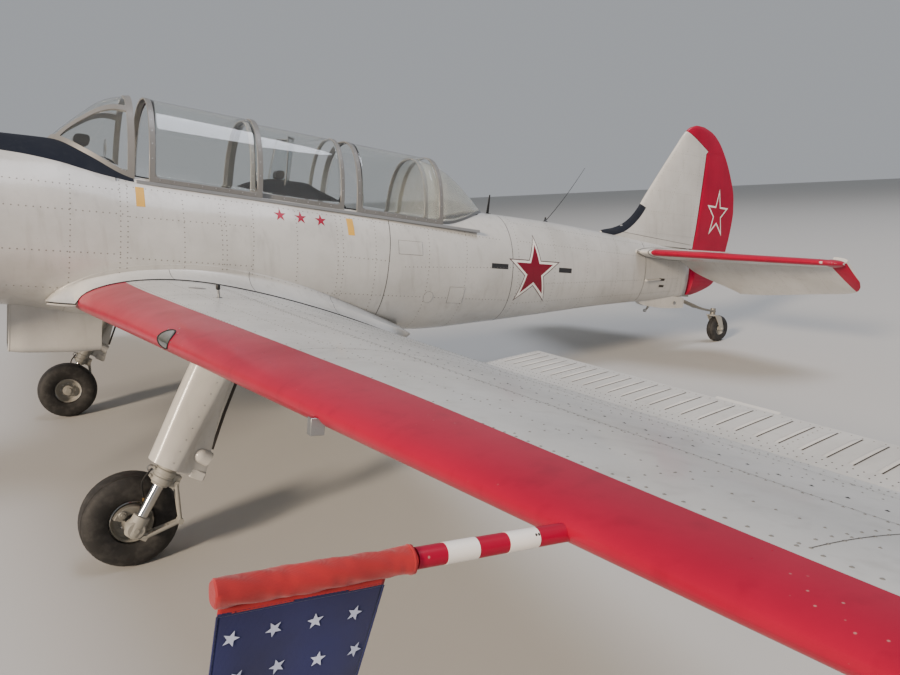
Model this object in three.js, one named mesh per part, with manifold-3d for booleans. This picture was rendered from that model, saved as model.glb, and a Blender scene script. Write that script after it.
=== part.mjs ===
// Single-engine low-wing tandem-seat aerobatic trainer, tailwheel type, standing on its gear.
// Frame: +X forward (nose), +Y port, +Z up, millimetres, ground at Z = 0.
// Everything is drawn in a level frame first: s is measured aft from the spinner tip,
// y to port, h above the thrust line. One group then pitches the lot nose up on its wheels.
import * as THREE from "three";
import { mergeVertices } from "three/addons/utils/BufferGeometryUtils.js";
import Module from "manifold-3d";

const wasm = await Module();
wasm.setup();

// Driving dimensions
const LENGTH = 7685;
const HALF_SPAN = 4650;
const PITCH_DEG = 8.056;
const THRUST_HEIGHT = 1573;
const SEAT_GAP = 0.3;
const MOVE_GAP = 6;

const THRUST_AXIS_H = 35;
const FIREWALL_S = 1420;
const TAIL_POST_S = 7122;
const SKIN = 14;

const COWL_FRONT_S = 420;
const COWL_RADIUS = 518;
const COWL_MOUTH = 405;
const PROP_S = 330;
const PROP_RADIUS = 1200;
const SPINNER_RADIUS = 155;

const RAIL_SLOPE = 0.040;
const CANOPY_WALL = 9;
const GLASS_WALL = 5;

const WHEEL_S = 2312;
const WHEEL_H = -1063.5;
const WHEEL_Y = 1385;
const TYRE_RADIUS = 196;
const TYRE_WIDTH = 150;
const LEG_Y = 1512;
const LEG_RAKE_DEG = 26;

const TAIL_WHEEL_S = 7646;
const TAIL_WHEEL_H = -382;
const TAIL_TYRE_RADIUS = 123;
const TAIL_TYRE_WIDTH = 78;

const WING_ROOT_CHORD = 1983;
const WING_TIP_CHORD = 1068;
const WING_LE_S = 2145;
const WING_LE_SWEEP_DEG = 3.66;
const WING_LE_H = -256;
const WING_DIHEDRAL_DEG = 0.82;
const WING_ROOT_INCIDENCE_DEG = 5.76;
const WING_TIP_INCIDENCE_DEG = 7.37;
const WING_ROOT_THICK = 0.1455;
const WING_TIP_THICK = 0.086;
const WING_ROOT_CAMBER = 0.036;
const WING_TIP_CAMBER = 0.005;
const AILERON_INNER_Y = 2070;
const AILERON_OUTER_Y = 4440;
const AILERON_CHORD_FRACTION = 0.185;
const AILERON_UP_DEG = 27;
const AILERON_DOWN_DEG = 16;
const FLAP_INNER_Y = 660;
const FLAP_OUTER_Y = 2000;

const RUDDER_HINGE_LOW = [7167, -85];
const RUDDER_HINGE_TOP = [7230, 1190];
const ELEVATOR_HINGE_S = 6980;
const TAIL_PLANE_H = 258;
const ELEVATOR_DROOP_DEG = 35;

// Paints and metals
const paint = (color, roughness = 0.45, metalness = 0.1) => new THREE.MeshStandardMaterial({ color,
  roughness, metalness });
const WHITE = paint(0xd9d6cd);
const RED = paint(0xa81f2c);
const NAVY = paint(0x161b26, 0.8);
const FRAME_GREY = paint(0xb9b7b0, 0.4, 0.3);
const GLASS = new THREE.MeshStandardMaterial({ color: 0xcfd6d8, roughness: 0.1, metalness: 0,
  transparent: true, opacity: 0.35 });
const DARK = paint(0x1d1e20, 0.8, 0);
const METAL = paint(0x8a8b8c, 0.35, 0.9);
const CHROME = paint(0xd8d8d8, 0.1, 1);
const RUBBER = paint(0x1a1a1a, 0.9, 0);
const CAST = paint(0x55585a, 0.6, 0.6);
const BLADE = paint(0x24262a, 0.5, 0);
const SEAT = paint(0x5a5348, 0.8, 0);
const CLOTH = paint(0x9c2230, 0.9, 0);

// Small helpers
const rad = (deg) => (deg * Math.PI) / 180;
const mix = (a, b, t) => a + (b - a) * t;
const P = (s, y, h) => [-s, y, h];

function lookup(rows, key, at) {
  const keys = Object.keys(rows[0]).filter((name) => name !== key);
  let index = 0;
  while (index < rows.length - 2 && rows[index + 1][key] < at) index += 1;
  const low = rows[index];
  const high = rows[index + 1];
  const t = (at - low[key]) / (high[key] - low[key]);
  const out = { [key]: at };
  for (const name of keys) out[name] = mix(low[name], high[name], t);
  return out;
}

// Rows written as plain lists under named columns
const table = (columns, rows) => rows
  .map((row) => Object.fromEntries(columns.map((name, i) => [name, row[i]])));

// A closed three.js geometry becomes a solid once its shared vertices are merged
function solid(geometry) {
  const bare = geometry.clone();
  for (const name of Object.keys(bare.attributes)) if (name !== "position") bare.deleteAttribute(name);
  const merged = mergeVertices(bare, 1e-3);
  const place = merged.attributes.position.array;
  const index = merged.index.array;
  const tris = [];
  for (let i = 0; i < index.length; i += 3) {
    const [a, b, c] = [index[i], index[i + 1], index[i + 2]];
    if (a !== b && b !== c && a !== c) tris.push(a, b, c);
  }
  if (signedVolume(place, tris) < 0) for (let i = 0; i < tris.length; i += 3) [tris[i + 1],
    tris[i + 2]] = [tris[i + 2], tris[i + 1]];
  return new wasm.Manifold(new wasm.Mesh({ numProp: 3, vertProperties: new Float32Array(place),
    triVerts: new Uint32Array(tris) }));
}

function signedVolume(place, tris) {
  let total = 0;
  for (let i = 0; i < tris.length; i += 3) {
    const [a, b, c] = [0, 1, 2].map((k) => new THREE.Vector3().fromArray(place, 3 * tris[i + k]));
    total += a.dot(b.cross(c)) / 6;
  }
  return total;
}

// Loft through rings of equal count, with flat ends; port and starboard facets mirror each other
function loft(rings) {
  const count = rings[0].length;
  const points = rings.flat();
  const faces = [];
  for (let r = 0; r < rings.length - 1; r += 1) {
    for (let i = 0; i < count; i += 1) {
      const j = (i + 1) % count;
      const [a, b, c, d] = [r * count + i, (r + 1) * count + i, (r + 1) * count + j, r * count + j];
      const side = [a, b, c, d].reduce((sum, k) => sum + points[k][1], 0);
      if (side >= 0) faces.push(a, b, c, a, c, d);
      else faces.push(a, b, d, b, c, d);
    }
  }
  for (const [r, flip] of [[0, false], [rings.length - 1, true]]) {
    const ends = capFaces(rings[r]);
    if (ends.length === count - 2) {
      for (const [a, b, c] of ends) faces.push(r * count + a, r * count + (flip ? c : b),
        r * count + (flip ? b : c));
    } else {
      const hub = points.length;
      points.push([0, 1, 2].map((k) => rings[r].reduce((sum, q) => sum + q[k], 0) / count));
      for (let i = 0; i < count; i += 1) {
        const [a, b] = [r * count + i, r * count + ((i + 1) % count)];
        faces.push(hub, flip ? b : a, flip ? a : b);
      }
    }
  }
  const geometry = new THREE.BufferGeometry();
  geometry.setAttribute("position", new THREE.Float32BufferAttribute(points.flat(), 3));
  geometry.setIndex(faces);
  return solid(geometry);
}

// Flat ends by ear clipping along the axis that the ring faces most, turned the way the ring runs
function capFaces(ring) {
  const normal = [0, 1, 2].map((k) => {
    const [u, v] = [(k + 1) % 3, (k + 2) % 3];
    return Math.abs(ring.reduce((sum, a, i) => {
      const b = ring[(i + 1) % ring.length];
      return sum + a[u] * b[v] - b[u] * a[v];
    }, 0));
  });
  const facing = normal.indexOf(Math.max(...normal));
  const [u, v] = [(facing + 1) % 3, (facing + 2) % 3];
  const flat = ring.map((p) => new THREE.Vector2(p[u], p[v]));
  const runs = THREE.ShapeUtils.area(flat) > 0;
  const faces = THREE.ShapeUtils.triangulateShape(flat, []);
  const turn = faces.reduce((sum, face) => sum + THREE.ShapeUtils.area(face.map((i) => flat[i])), 0) > 0;
  return turn === runs ? faces : faces.map(([a, b, c]) => [a, c, b]);
}

// Outline of 3-D points pushed along a vector
const prism = (outline, push) => loft([outline, outline.map((p) => p.map((v, k) => v + push[k]))]);

// Block between limits in s, y and h
function block(s0, s1, y0, y1, h0, h1) {
  const geometry = new THREE.BoxGeometry(s1 - s0, y1 - y0, h1 - h0);
  geometry.translate(-(s0 + s1) / 2, (y0 + y1) / 2, (h0 + h1) / 2);
  return solid(geometry);
}

// Lathe about a line through a centre: profile rows are [along, radius], closed on itself or on the axis
function turned(profile, centre, axis, steps = 32) {
  const loop = profile[0][1] > 0 ? [...profile, profile[0]] : profile;
  const geometry = new THREE.LatheGeometry(loop.map(([along, r]) => new THREE.Vector2(r, along)), steps);
  if (axis === "s") geometry.rotateZ(Math.PI / 2);
  geometry.translate(...centre);
  return solid(geometry);
}

// Round bar between two points
function bar(a, b, r0, r1 = r0, steps = 16) {
  const from = new THREE.Vector3(...a);
  const to = new THREE.Vector3(...b);
  const geometry = new THREE.CylinderGeometry(r1, r0, from.distanceTo(to), steps);
  geometry.applyQuaternion(new THREE.Quaternion().setFromUnitVectors(new THREE.Vector3(0, 1, 0),
    to.clone().sub(from).normalize()));
  geometry.translate(...from.add(to).multiplyScalar(0.5).toArray());
  return solid(geometry);
}

const union = (list) => list.reduce((a, b) => a.add(b));

// Nodes
const root = new THREE.Group();
root.name = "aerobatic_trainer";
root.rotation.y = -rad(PITCH_DEG);

function meshOf(body, flip) {
  const data = body.getMesh();
  const count = data.vertProperties.length / data.numProp;
  const positions = [];
  for (let i = 0; i < count; i += 1) {
    const [x, y, z] = data.vertProperties.slice(i * data.numProp, i * data.numProp + 3);
    positions.push(x, flip ? -y : y, z);
  }
  const tris = Array.from(data.triVerts);
  if (flip) for (let i = 0; i < tris.length; i += 3) [tris[i + 1], tris[i + 2]] = [tris[i + 2], tris[i + 1]];
  const geometry = new THREE.BufferGeometry();
  geometry.setAttribute("position", new THREE.Float32BufferAttribute(positions, 3));
  geometry.setIndex(tris);
  geometry.computeVertexNormals();
  return geometry;
}

// A piece at rest away from its neutral place turns in a group set on its hinge
function node(name, body, material, { flip = false, pivot = null, axis = null, deg = 0 } = {}) {
  const geometry = meshOf(body, flip);
  const mesh = new THREE.Mesh(geometry, material);
  mesh.name = name;
  if (!pivot) {
    root.add(mesh);
    return;
  }
  const turn = new THREE.Group();
  turn.position.set(...pivot);
  turn.setRotationFromAxisAngle(new THREE.Vector3(...axis).normalize(), rad(deg));
  mesh.position.set(...pivot.map((v) => -v));
  turn.add(mesh);
  root.add(turn);
}
const pair = (name, body, material) => {
  node(`${name}_port`, body, material);
  node(`${name}_starboard`, body, material, { flip: true });
};

// Fuselage hull: crown, belly, half width and the height of the widest line, all by station
const HULL = table(["s", "crown", "belly", "half", "widest", "power"], [
  [FIREWALL_S, 553, -483, 518, 35, 2.0],
  [1600, 560, -424, 513, 25, 2.05],
  [1750, 567, -346, 506, 10, 2.1],
  [1864, 569, -313, 498, 0, 2.1],
  [2061, 572, -335, 488, 0, 2.1],
  [2250, 545, -365, 476, 0, 2.1],
  [2460, 502, -378, 466, 0, 2.1],
  [3100, 474, -402, 450, 0, 2.1],
  [3750, 451, -425, 425, 0, 2.1],
  [4300, 444, -422, 385, 15, 2.1],
  [4888, 437, -365, 322, 35, 2.1],
  [5475, 425, -290, 252, 60, 2.1],
  [6036, 392, -215, 188, 85, 2.1],
  [6600, 356, -155, 122, 100, 2.1],
  [TAIL_POST_S, 326, -100, 42, 112, 2.1],
]);
const HULL_POINTS = 32;

function hullRing(s, grow) {
  const r = lookup(HULL, "s", s);
  return Array.from({ length: HULL_POINTS }, (_, i) => {
    const t = (2 * Math.PI * i) / HULL_POINTS;
    const c = Math.cos(t);
    const n = Math.sin(t);
    const e = 2 / r.power;
    const up = n >= 0 ? r.crown - r.widest : r.widest - r.belly;
    return P(s, Math.sign(c) * Math.abs(c) ** e * (r.half + grow),
      r.widest + Math.sign(n) * Math.abs(n) ** e * (up + grow));
  });
}
function hull(grow, from = FIREWALL_S, to = TAIL_POST_S) {
  const stations = HULL.map((r) => r.s).filter((s) => s > from && s < to);
  return loft([from, ...stations, to].map((s) => hullRing(s, grow)));
}
const hullOuter = hull(0);
const hullSeat = hull(SEAT_GAP, FIREWALL_S - 20, TAIL_POST_S + 20);

// Cockpit opening in plan: half width by station, an oval front end and an oval rear end
const OPENING = table(["s", "half"], [
  [2105, 12], [2130, 95], [2180, 160], [2250, 212], [2350, 258], [2460, 284], [3100, 284],
  [3750, 276], [4300, 262], [4500, 235], [4650, 185], [4760, 120], [4810, 55], [4825, 12],
]);
const openingOutline = [
  ...OPENING.map((r) => P(r.s, r.half, 60)),
  ...[...OPENING].reverse().map((r) => P(r.s, -r.half, 60)),
];
const cockpitCut = prism(openingOutline, [0, 0, 700]);
const HOLLOW_FROM = 1440;
const HOLLOW_TO = 6850;
const TUBE_RADIUS = 20;
const tubeHole = turned([[-200, 0], [-200, TUBE_RADIUS + 0.9], [200, TUBE_RADIUS + 0.9], [200, 0]],
  P(ELEVATOR_HINGE_S, 0, TAIL_PLANE_H), "y", 16);

// Tail leaf spring, let into the belly, and the foot that carries the rudder's lower hinge
const LEAF = table(["s", "h"], [[6985, -112], [7090, -127], [7220, -160], [7400, -205], [7550, -222]]);
const tailLeaf = (grow) => loft(LEAF.map(({ s, h }, i) => {
  const at = i === 0 ? s - grow : s;
  return [P(at, -22 - grow, h - 9 - grow), P(at, 22 + grow, h - 9 - grow), P(at, 22 + grow, h + 9 + grow),
    P(at, -22 - grow, h + 9 + grow)];
}));
const rudderFoot = block(7060, RUDDER_HINGE_LOW[0] + 18, -14, 14, -101, RUDDER_HINGE_LOW[1] - 0.4);
const hullShell = hullOuter
  .subtract(hull(-SKIN, HOLLOW_FROM, HOLLOW_TO))
  .subtract(cockpitCut)
  .subtract(tubeHole)
  .subtract(tailLeaf(SEAT_GAP))
  .add(rudderFoot);
node("fuselage_shell", hullShell, WHITE);

// Nose: ring cowling, shutter disc, engine drum, propeller and spinner, all about the thrust axis
const AXIS = P(0, 0, THRUST_AXIS_H);
const COWL = table(["s", "outer"], [
  [COWL_FRONT_S, 430], [COWL_FRONT_S + 8, 450], [460, 470], [520, 492], [640, 510], [800, COWL_RADIUS],
    [1180, COWL_RADIUS], [FIREWALL_S - 1, 516],
]);
const cowlProfile = [
  ...COWL.map((r) => [r.s, r.outer]),
  [FIREWALL_S - 1, 504], [800, 504], [640, 496], [520, 476], [470, 452], [445, COWL_MOUTH + 20],
    [428, COWL_MOUTH + 8], [COWL_FRONT_S, COWL_MOUTH + 12],
];
node("cowling", turned(cowlProfile, AXIS, "s", 32), WHITE);
const SHUTTER_S = 446;
const SHUTTER_RADIUS = 425.6;
const shutterBody = turned([[SHUTTER_S, 175], [SHUTTER_S, SHUTTER_RADIUS], [SHUTTER_S + 10, SHUTTER_RADIUS],
  [SHUTTER_S + 10, 175]], AXIS, "s", 32);
node("cowl_shutters", shutterBody, FRAME_GREY);
node("engine_block", turned([[400, 0], [400, 90], [480, 130], [610, 150], [620, 250], [700, 380],
  [1060, 380], [1120, 300], [1300, 300], [1310, 180], [FIREWALL_S - 0.4, 180], [FIREWALL_S - 0.4, 0]], AXIS,
  "s", 24), CAST);

const SPINNER = [[0, 0], [12, 40], [50, 85], [120, 122], [200, 145], [280, SPINNER_RADIUS],
  [285, SPINNER_RADIUS], [285, 0]];
node("spinner", turned(SPINNER, AXIS, "s", 24), RED);
const BLADE_ROWS = table(["r", "chord", "thick", "pitch"], [
  [60, 70, 60, 70], [180, 80, 55, 62], [300, 130, 34, 50], [500, 165, 22, 38], [800, 160, 16, 27],
    [1050, 125, 11, 21], [1150, 90, 9, 19], [PROP_RADIUS, 40, 6, 18],
]);
function blade(turnDeg) {
  const rings = BLADE_ROWS.map((row) => Array.from({ length: 10 }, (_, i) => {
    const t = (2 * Math.PI * i) / 10;
    const along = (Math.cos(t) * row.chord) / 2;
    const across = (Math.sin(t) * row.thick) / 2;
    const p = rad(row.pitch);
    const side = along * Math.cos(p) - across * Math.sin(p);
    const fore = along * Math.sin(p) + across * Math.cos(p);
    const a = rad(turnDeg);
    const rise = THRUST_AXIS_H + row.r * Math.sin(a) + side * Math.cos(a);
    return P(PROP_S + fore, row.r * Math.cos(a) - side * Math.sin(a), rise);
  }));
  return loft(rings);
}
const PROP_HUB = turned([[286, 0], [286, 120], [372, 120], [372, 0]], AXIS, "s", 24);
const propShaft = turned([[360, 0], [360, 40], [399.6, 40], [399.6, 0]], AXIS, "s", 20);
node("propeller", union([PROP_HUB, propShaft, blade(90), blade(210), blade(330)]), BLADE);

// Canopy: arcs by station, from the sill line up; everything above the hull skin is kept
const railHeight = (s) => 379 - (s - 2460) * RAIL_SLOPE;
const ARC_POINTS = 14;
function hoodRing(s, half, top, drop, power = 2.35) {
  const base = railHeight(s);
  const e = 2 / power;
  const ring = Array.from({ length: ARC_POINTS + 1 }, (_, i) => {
    const t = (Math.PI * i) / ARC_POINTS;
    return P(s, Math.sign(Math.cos(t)) * Math.abs(Math.cos(t)) ** e * half,
      base + Math.sin(t) ** e * (top - base));
  });
  return [P(s, half, base - drop), ...ring, P(s, -half, base - drop)];
}
const hoodSolid = (rows, grow, drop) => loft(rows
  .map((r) => hoodRing(r.s, r.half + grow, r.top + grow, drop)));
const topFrom = (s0, top0) => (s) => top0 - (s - s0) * RAIL_SLOPE;
const frontTop = topFrom(2544, 857);
const midTop = topFrom(3095, 817);
const rearTop = topFrom(3782, 789);

const HOODS = {
  front: [{ s: 2530, half: 326, top: frontTop(2530) }, { s: 3146, half: 324, top: frontTop(3146) }],
  mid: [{ s: 3080, half: 299, top: midTop(3080) }, { s: 3668, half: 292, top: midTop(3668) }],
  rear: [{ s: 3740, half: 318, top: rearTop(3740) }, { s: 4370, half: 312, top: rearTop(4370) }],
};
const wallOf = (rows, outer, inner, drop) => hoodSolid(rows, outer, drop)
  .subtract(loft([rows[0].s - 5, ...rows.slice(1, -1).map((r) => r.s), rows[rows.length - 1].s + 5]
    .map((s) => {
    const r = lookup(rows, "s", s);
    return hoodRing(s, r.half - inner, r.top - inner, drop + 10);
  })));

// A sliding or fixed hood: arches at both ends and rails along the sills, glass between them
function hood(rows, { arch, rail, keep }) {
  const [first, last] = [rows[0].s, rows[rows.length - 1].s];
  const railTop = (s) => railHeight(s) + rail;
  const zone = (grow) => {
    const bars = [
      block(first - 20, first + arch + grow, -500, 500, 0, 1000),
      block(last - arch - grow, last + 20, -500, 500, 0, 1000),
      prism([P(first - 20, -500, 0), P(last + 20, -500, 0), P(last + 20, -500, railTop(last + 20) + grow),
        P(first - 20, -500, railTop(first - 20) + grow)], [0, 1000, 0]),
    ];
    return union(bars);
  };
  const thick = keep(wallOf(rows, 0, CANOPY_WALL, 60));
  const thin = keep(wallOf(rows, -2, 2 + GLASS_WALL, 60));
  return { frame: thick.intersect(zone(0)), glass: thin.subtract(zone(SEAT_GAP)) };
}
const railCut = (lift) => (body) => body
  .subtract(prism([P(2300, -600, -200), P(5200, -600, -200), P(5200, -600, railHeight(5200) + lift),
  P(2300, -600, railHeight(2300) + lift)], [0, 1200, 0]));
const onHull = (body) => body.subtract(hullSeat);

// Sill rails that the sliding hoods run on
const RAILS = table(["s", "inner", "outer"], [[2470, 306, 329], [3650, 300, 326], [4236, 293, 322],
  [4500, 284, 320], [4664, 270, 319]]);
const RAIL_LIFT = 7.6;
const canopyRail = loft(RAILS.map((r) => [
  P(r.s, r.inner, railHeight(r.s) - 10), P(r.s, r.outer, railHeight(r.s) - 10),
    P(r.s, r.outer, railHeight(r.s) + RAIL_LIFT), P(r.s, r.inner, railHeight(r.s) + RAIL_LIFT),
])).subtract(hullSeat);
pair("canopy_rail", canopyRail, METAL);

const frontHood = hood(HOODS.front, { arch: 32, rail: 34, keep: railCut(8) });
node("canopy_front_frame", frontHood.frame, FRAME_GREY);
node("canopy_front_glass", frontHood.glass, GLASS);
const midHood = hood(HOODS.mid, { arch: 26, rail: 40, keep: onHull });
node("canopy_middle_frame", midHood.frame, FRAME_GREY);
node("canopy_middle_glass", midHood.glass, GLASS);
const rearHood = hood(HOODS.rear, { arch: 32, rail: 34, keep: railCut(8) });
node("canopy_rear_frame", rearHood.frame, FRAME_GREY);
node("canopy_rear_glass", rearHood.glass, GLASS);

// Windscreen: rear arch, base strip on the skin and two posts either side of the front pane
const SCREEN = table(["s", "half", "top"], [
  [2061, 16, 560], [2100, 90, 606], [2160, 162, 668], [2230, 212, 734], [2307, 254, 800], [2360, 278, 830],
    [2410, 294, 846], [2462, 304, 855],
]);
const screenOuter = loft(SCREEN.map((r) => hoodRing(r.s, r.half, r.top, 200, 2.2)));
const screenInner = (wall) => loft([...SCREEN
  .map((r) => hoodRing(r.s + wall * 1.3, Math.max(r.half - wall, 4), r.top - wall, 210, 2.2)),
  hoodRing(2500, 304 - wall, 855 - wall, 210, 2.2)]);
const screenThick = screenOuter.subtract(screenInner(12)).subtract(hullSeat);
const screenGlassWall = loft(SCREEN
  .map((r) => hoodRing(r.s + 3, Math.max(r.half - 3, 6), r.top - 3, 200, 2.2)))
  .subtract(screenInner(8)).subtract(hullSeat);
const hullBand = (grow) => hull(grow, 1900, 2600);
const postZone = (grow) => union([1, -1].map((side) => prism([
  P(2020, side * (14 - grow), 300), P(2020, side * (40 + grow), 300), P(2500, side * (230 + grow), 300),
    P(2500, side * (204 - grow), 300),
], [0, 0, 700])));
const screenZone = (grow) => union([hullBand(24 + grow), block(2428 - grow, 2600, -500, 500, 0, 1000),
  postZone(grow)]);
const screenFrame = screenThick.intersect(screenZone(0)).subtract(block(2462, 2700, -600, 600, 0, 1200));
node("windscreen_frame", screenFrame, FRAME_GREY);
const screenPanes = screenGlassWall.subtract(screenZone(SEAT_GAP));
const centreWedge = prism([P(2000, -20, 250), P(2000, 20, 250), P(2500, 216, 250), P(2500, -216, 250)],
  [0, 0, 800]);
node("windscreen_glass_front", screenPanes.intersect(centreWedge), GLASS);
const portHalf = block(1900, 2700, 0, 600, 0, 1200);
pair("windscreen_glass", screenPanes.subtract(centreWedge).intersect(portHalf), GLASS);

// Aft fairing glass behind the rear canopy, with its own front arch
const AFT = table(["s", "half", "top"], [
  [4236, 289, 748], [4300, 286, 744], [4380, 278, 733], [4470, 262, 706], [4580, 226, 648],
    [4700, 170, 566], [4800, 108, 490], [4880, 30, 436],
]);
const aftOuter = loft(AFT.map((r) => hoodRing(r.s, r.half, r.top, 120, 2.3)));
const aftInner = (wall) => loft([hoodRing(4200, 290 - wall, 748 - wall, 130, 2.3),
  ...AFT.map((r) => hoodRing(r.s - wall * 0.8, Math.max(r.half - wall, 4), r.top - wall, 130, 2.3))]);
const aftThick = aftOuter.subtract(aftInner(10)).subtract(hullSeat);
const aftZone = (grow) => union([block(4100, 4262 + grow, -500, 500, 0, 1000), hull(18 + grow, 4000, 5000)]);
node("canopy_aft_frame", aftThick.intersect(aftZone(0)), FRAME_GREY);
const aftGlassWall = loft(AFT.map((r) => hoodRing(r.s - 2, Math.max(r.half - 2, 6), r.top - 2, 120, 2.3)))
  .subtract(aftInner(7)).subtract(hullSeat);
node("canopy_aft_glass", aftGlassWall.subtract(aftZone(SEAT_GAP)), GLASS);

// Cockpit inside: floor, two panels with their shrouds, two seats, two sticks
const FLOOR_TOP = -285;
const cockpitRoom = hull(-SKIN - SEAT_GAP, HOLLOW_FROM + 10, 4800);
node("cockpit_floor", block(1700, 4400, -420, 420, FLOOR_TOP - 15, FLOOR_TOP).intersect(cockpitRoom), DARK);
const PLACES = table(["name", "panelFrom", "panelTo", "panelLow", "seat", "stick"], [
  ["front", 2240, 2400, 250, 3010, 2500], ["rear", 3190, 3560, 230, 4130, 3640],
]);
const PANEL_TOP = 560;
const PAN_HALF = 200;
const PAN_LOW = -150;
const PAN_TOP = -110;
const PAN_LONG = 400;
const BACK_TOP = 330;
const BACK_THICK = 60;
const BACK_LEAN = 110;
const LEGS_HALF = 150;
const STICK_TOP = 120;
function seat(s) {
  const pan = block(s - PAN_LONG - 20, s - 20, -PAN_HALF, PAN_HALF, PAN_LOW, PAN_TOP);
  const back = prism([
    P(s - BACK_THICK, -PAN_HALF, PAN_LOW), P(s, -PAN_HALF, PAN_LOW),
    P(s + BACK_LEAN, -PAN_HALF, BACK_TOP), P(s + BACK_LEAN - BACK_THICK, -PAN_HALF, BACK_TOP),
  ], [0, 2 * PAN_HALF, 0]);
  const legs = block(s - 380, s - 60, -LEGS_HALF, LEGS_HALF, FLOOR_TOP + SEAT_GAP, PAN_LOW + 1);
  return union([pan, back, legs]);
}
const stick = (s) => bar(P(s, 0, FLOOR_TOP + SEAT_GAP), P(s, 0, STICK_TOP), 14, 16, 12);
for (const place of PLACES) {
  const panel = block(place.panelFrom, place.panelTo, -500, 500, place.panelLow, PANEL_TOP);
  node(`panel_${place.name}`, panel.intersect(cockpitRoom), DARK);
  node(`seat_${place.name}`, seat(place.seat), SEAT);
  node(`stick_${place.name}`, stick(place.stick), DARK);
}

// Wing: two sections a side, thick cambered aerofoil
const wingAt = (y) => {
  const t = y / HALF_SPAN;
  return {
    y,
    chord: mix(WING_ROOT_CHORD, WING_TIP_CHORD, t),
    le: WING_LE_S + y * Math.tan(rad(WING_LE_SWEEP_DEG)),
    h: WING_LE_H + y * Math.tan(rad(WING_DIHEDRAL_DEG)),
    thick: mix(WING_ROOT_THICK, WING_TIP_THICK, t),
    camber: mix(WING_ROOT_CAMBER, WING_TIP_CAMBER, t),
    drop: Math.tan(rad(mix(WING_ROOT_INCIDENCE_DEG, WING_TIP_INCIDENCE_DEG, t))),
  };
};
const FOIL_STEPS = 14;
const CAMBER_PEAK = 0.353;
function foilHeights(x, w, scale = 1) {
  const half = 5 * w.thick * scale * (0.2969 * Math.sqrt(x) - 0.126 * x - 0.3516 * x ** 2 + 0.2843 * x ** 3
    - 0.1036 * x ** 4);
  const rise = 2 * CAMBER_PEAK * x - x ** 2;
  const line = w.camber * (x < CAMBER_PEAK ? rise / CAMBER_PEAK ** 2
    : (1 - 2 * CAMBER_PEAK + rise) / (1 - CAMBER_PEAK) ** 2);
  return [line + half, line - half];
}
function foilRing(w, scale = 1) {
  const sweep = Array.from({ length: FOIL_STEPS + 1 },
    (_, i) => 0.5 * (1 - Math.cos((Math.PI * i) / FOIL_STEPS)));
  const at = (x, side) => {
    const heights = foilHeights(x, w, scale);
    const tail = side === 0 ? 2 : -2;
    const lift = heights[side] * w.chord + tail * x;
    return P(w.le + x * w.chord, w.y, w.h + lift - x * w.chord * w.drop);
  };
  return [...sweep.map((x) => at(x, 0)).reverse(), ...sweep.slice(1).map((x) => at(x, 1))];
}
function tipRing(y, shrink) {
  const w = wingAt(y);
  const cut = w.chord * (1 - shrink) * 0.5;
  return { ...w, le: w.le + cut * 0.9, chord: w.chord - cut * 1.6, h: w.h };
}
const TIP_ROWS = table(["y", "shrink", "scale"], [[4560, 1, 0.96], [4610, 0.95, 0.8], [4638, 0.88, 0.55],
  [HALF_SPAN, 0.8, 0.2]]);
const CENTRE_GAP = 0.15;
const wingRings = [CENTRE_GAP, 2400, 4400].map((y) => foilRing(wingAt(y)));
const tipRings = TIP_ROWS.map((r) => foilRing(tipRing(r.y, r.shrink), r.scale));
const wingFull = loft([...wingRings, ...tipRings]).subtract(hullSeat);

// Aileron: aft of a hinge line square to its ends, with a rounded nose
const hingeAt = (y) => {
  const w = wingAt(y);
  const x = 1 - AILERON_CHORD_FRACTION;
  const [top, low] = foilHeights(x, w);
  return P(w.le + x * w.chord, y, w.h + ((top + low) / 2) * w.chord - x * w.chord * w.drop);
};
const hingeNose = (y) => {
  const w = wingAt(y);
  const [top, low] = foilHeights(1 - AILERON_CHORD_FRACTION, w);
  return ((top - low) / 2) * w.chord + 2 * (1 - AILERON_CHORD_FRACTION);
};
function aileronZone(gap) {
  const inner = new THREE.Vector3(...hingeAt(AILERON_INNER_Y));
  const outer = new THREE.Vector3(...hingeAt(AILERON_OUTER_Y));
  const along = outer.clone().sub(inner).setZ(0).normalize();
  const aft = new THREE.Vector3(-1, 0, 0).addScaledVector(along, along.x).normalize();
  const corner = (base, side, back) => base.clone().addScaledVector(along, side)
    .addScaledVector(aft, back).setZ(-700).toArray();
  const front = gap > 0 ? -gap : 0;
  return prism([corner(inner, -gap, front), corner(outer, gap, front), corner(outer, gap, 700),
    corner(inner, -gap, 700)], [0, 0, 1200]);
}
const hingeA = hingeAt(AILERON_INNER_Y);
const hingeB = hingeAt(AILERON_OUTER_Y);
const noseA = hingeNose(AILERON_INNER_Y) - 3;
const noseB = hingeNose(AILERON_OUTER_Y) - 3;
const aileron = wingFull.intersect(aileronZone(0)).add(bar(hingeA, hingeB, noseA, noseB, 12));
const past = (a, b, by) => a.map((v, k) => v - ((b[k] - v) / Math.hypot(...a.map((w, m) => b[m] - w))) * by);
const aileronCut = aileronZone(MOVE_GAP)
  .add(bar(past(hingeA, hingeB, MOVE_GAP), past(hingeB, hingeA, MOVE_GAP), noseA + MOVE_GAP,
  noseB + MOVE_GAP, 12));

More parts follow.
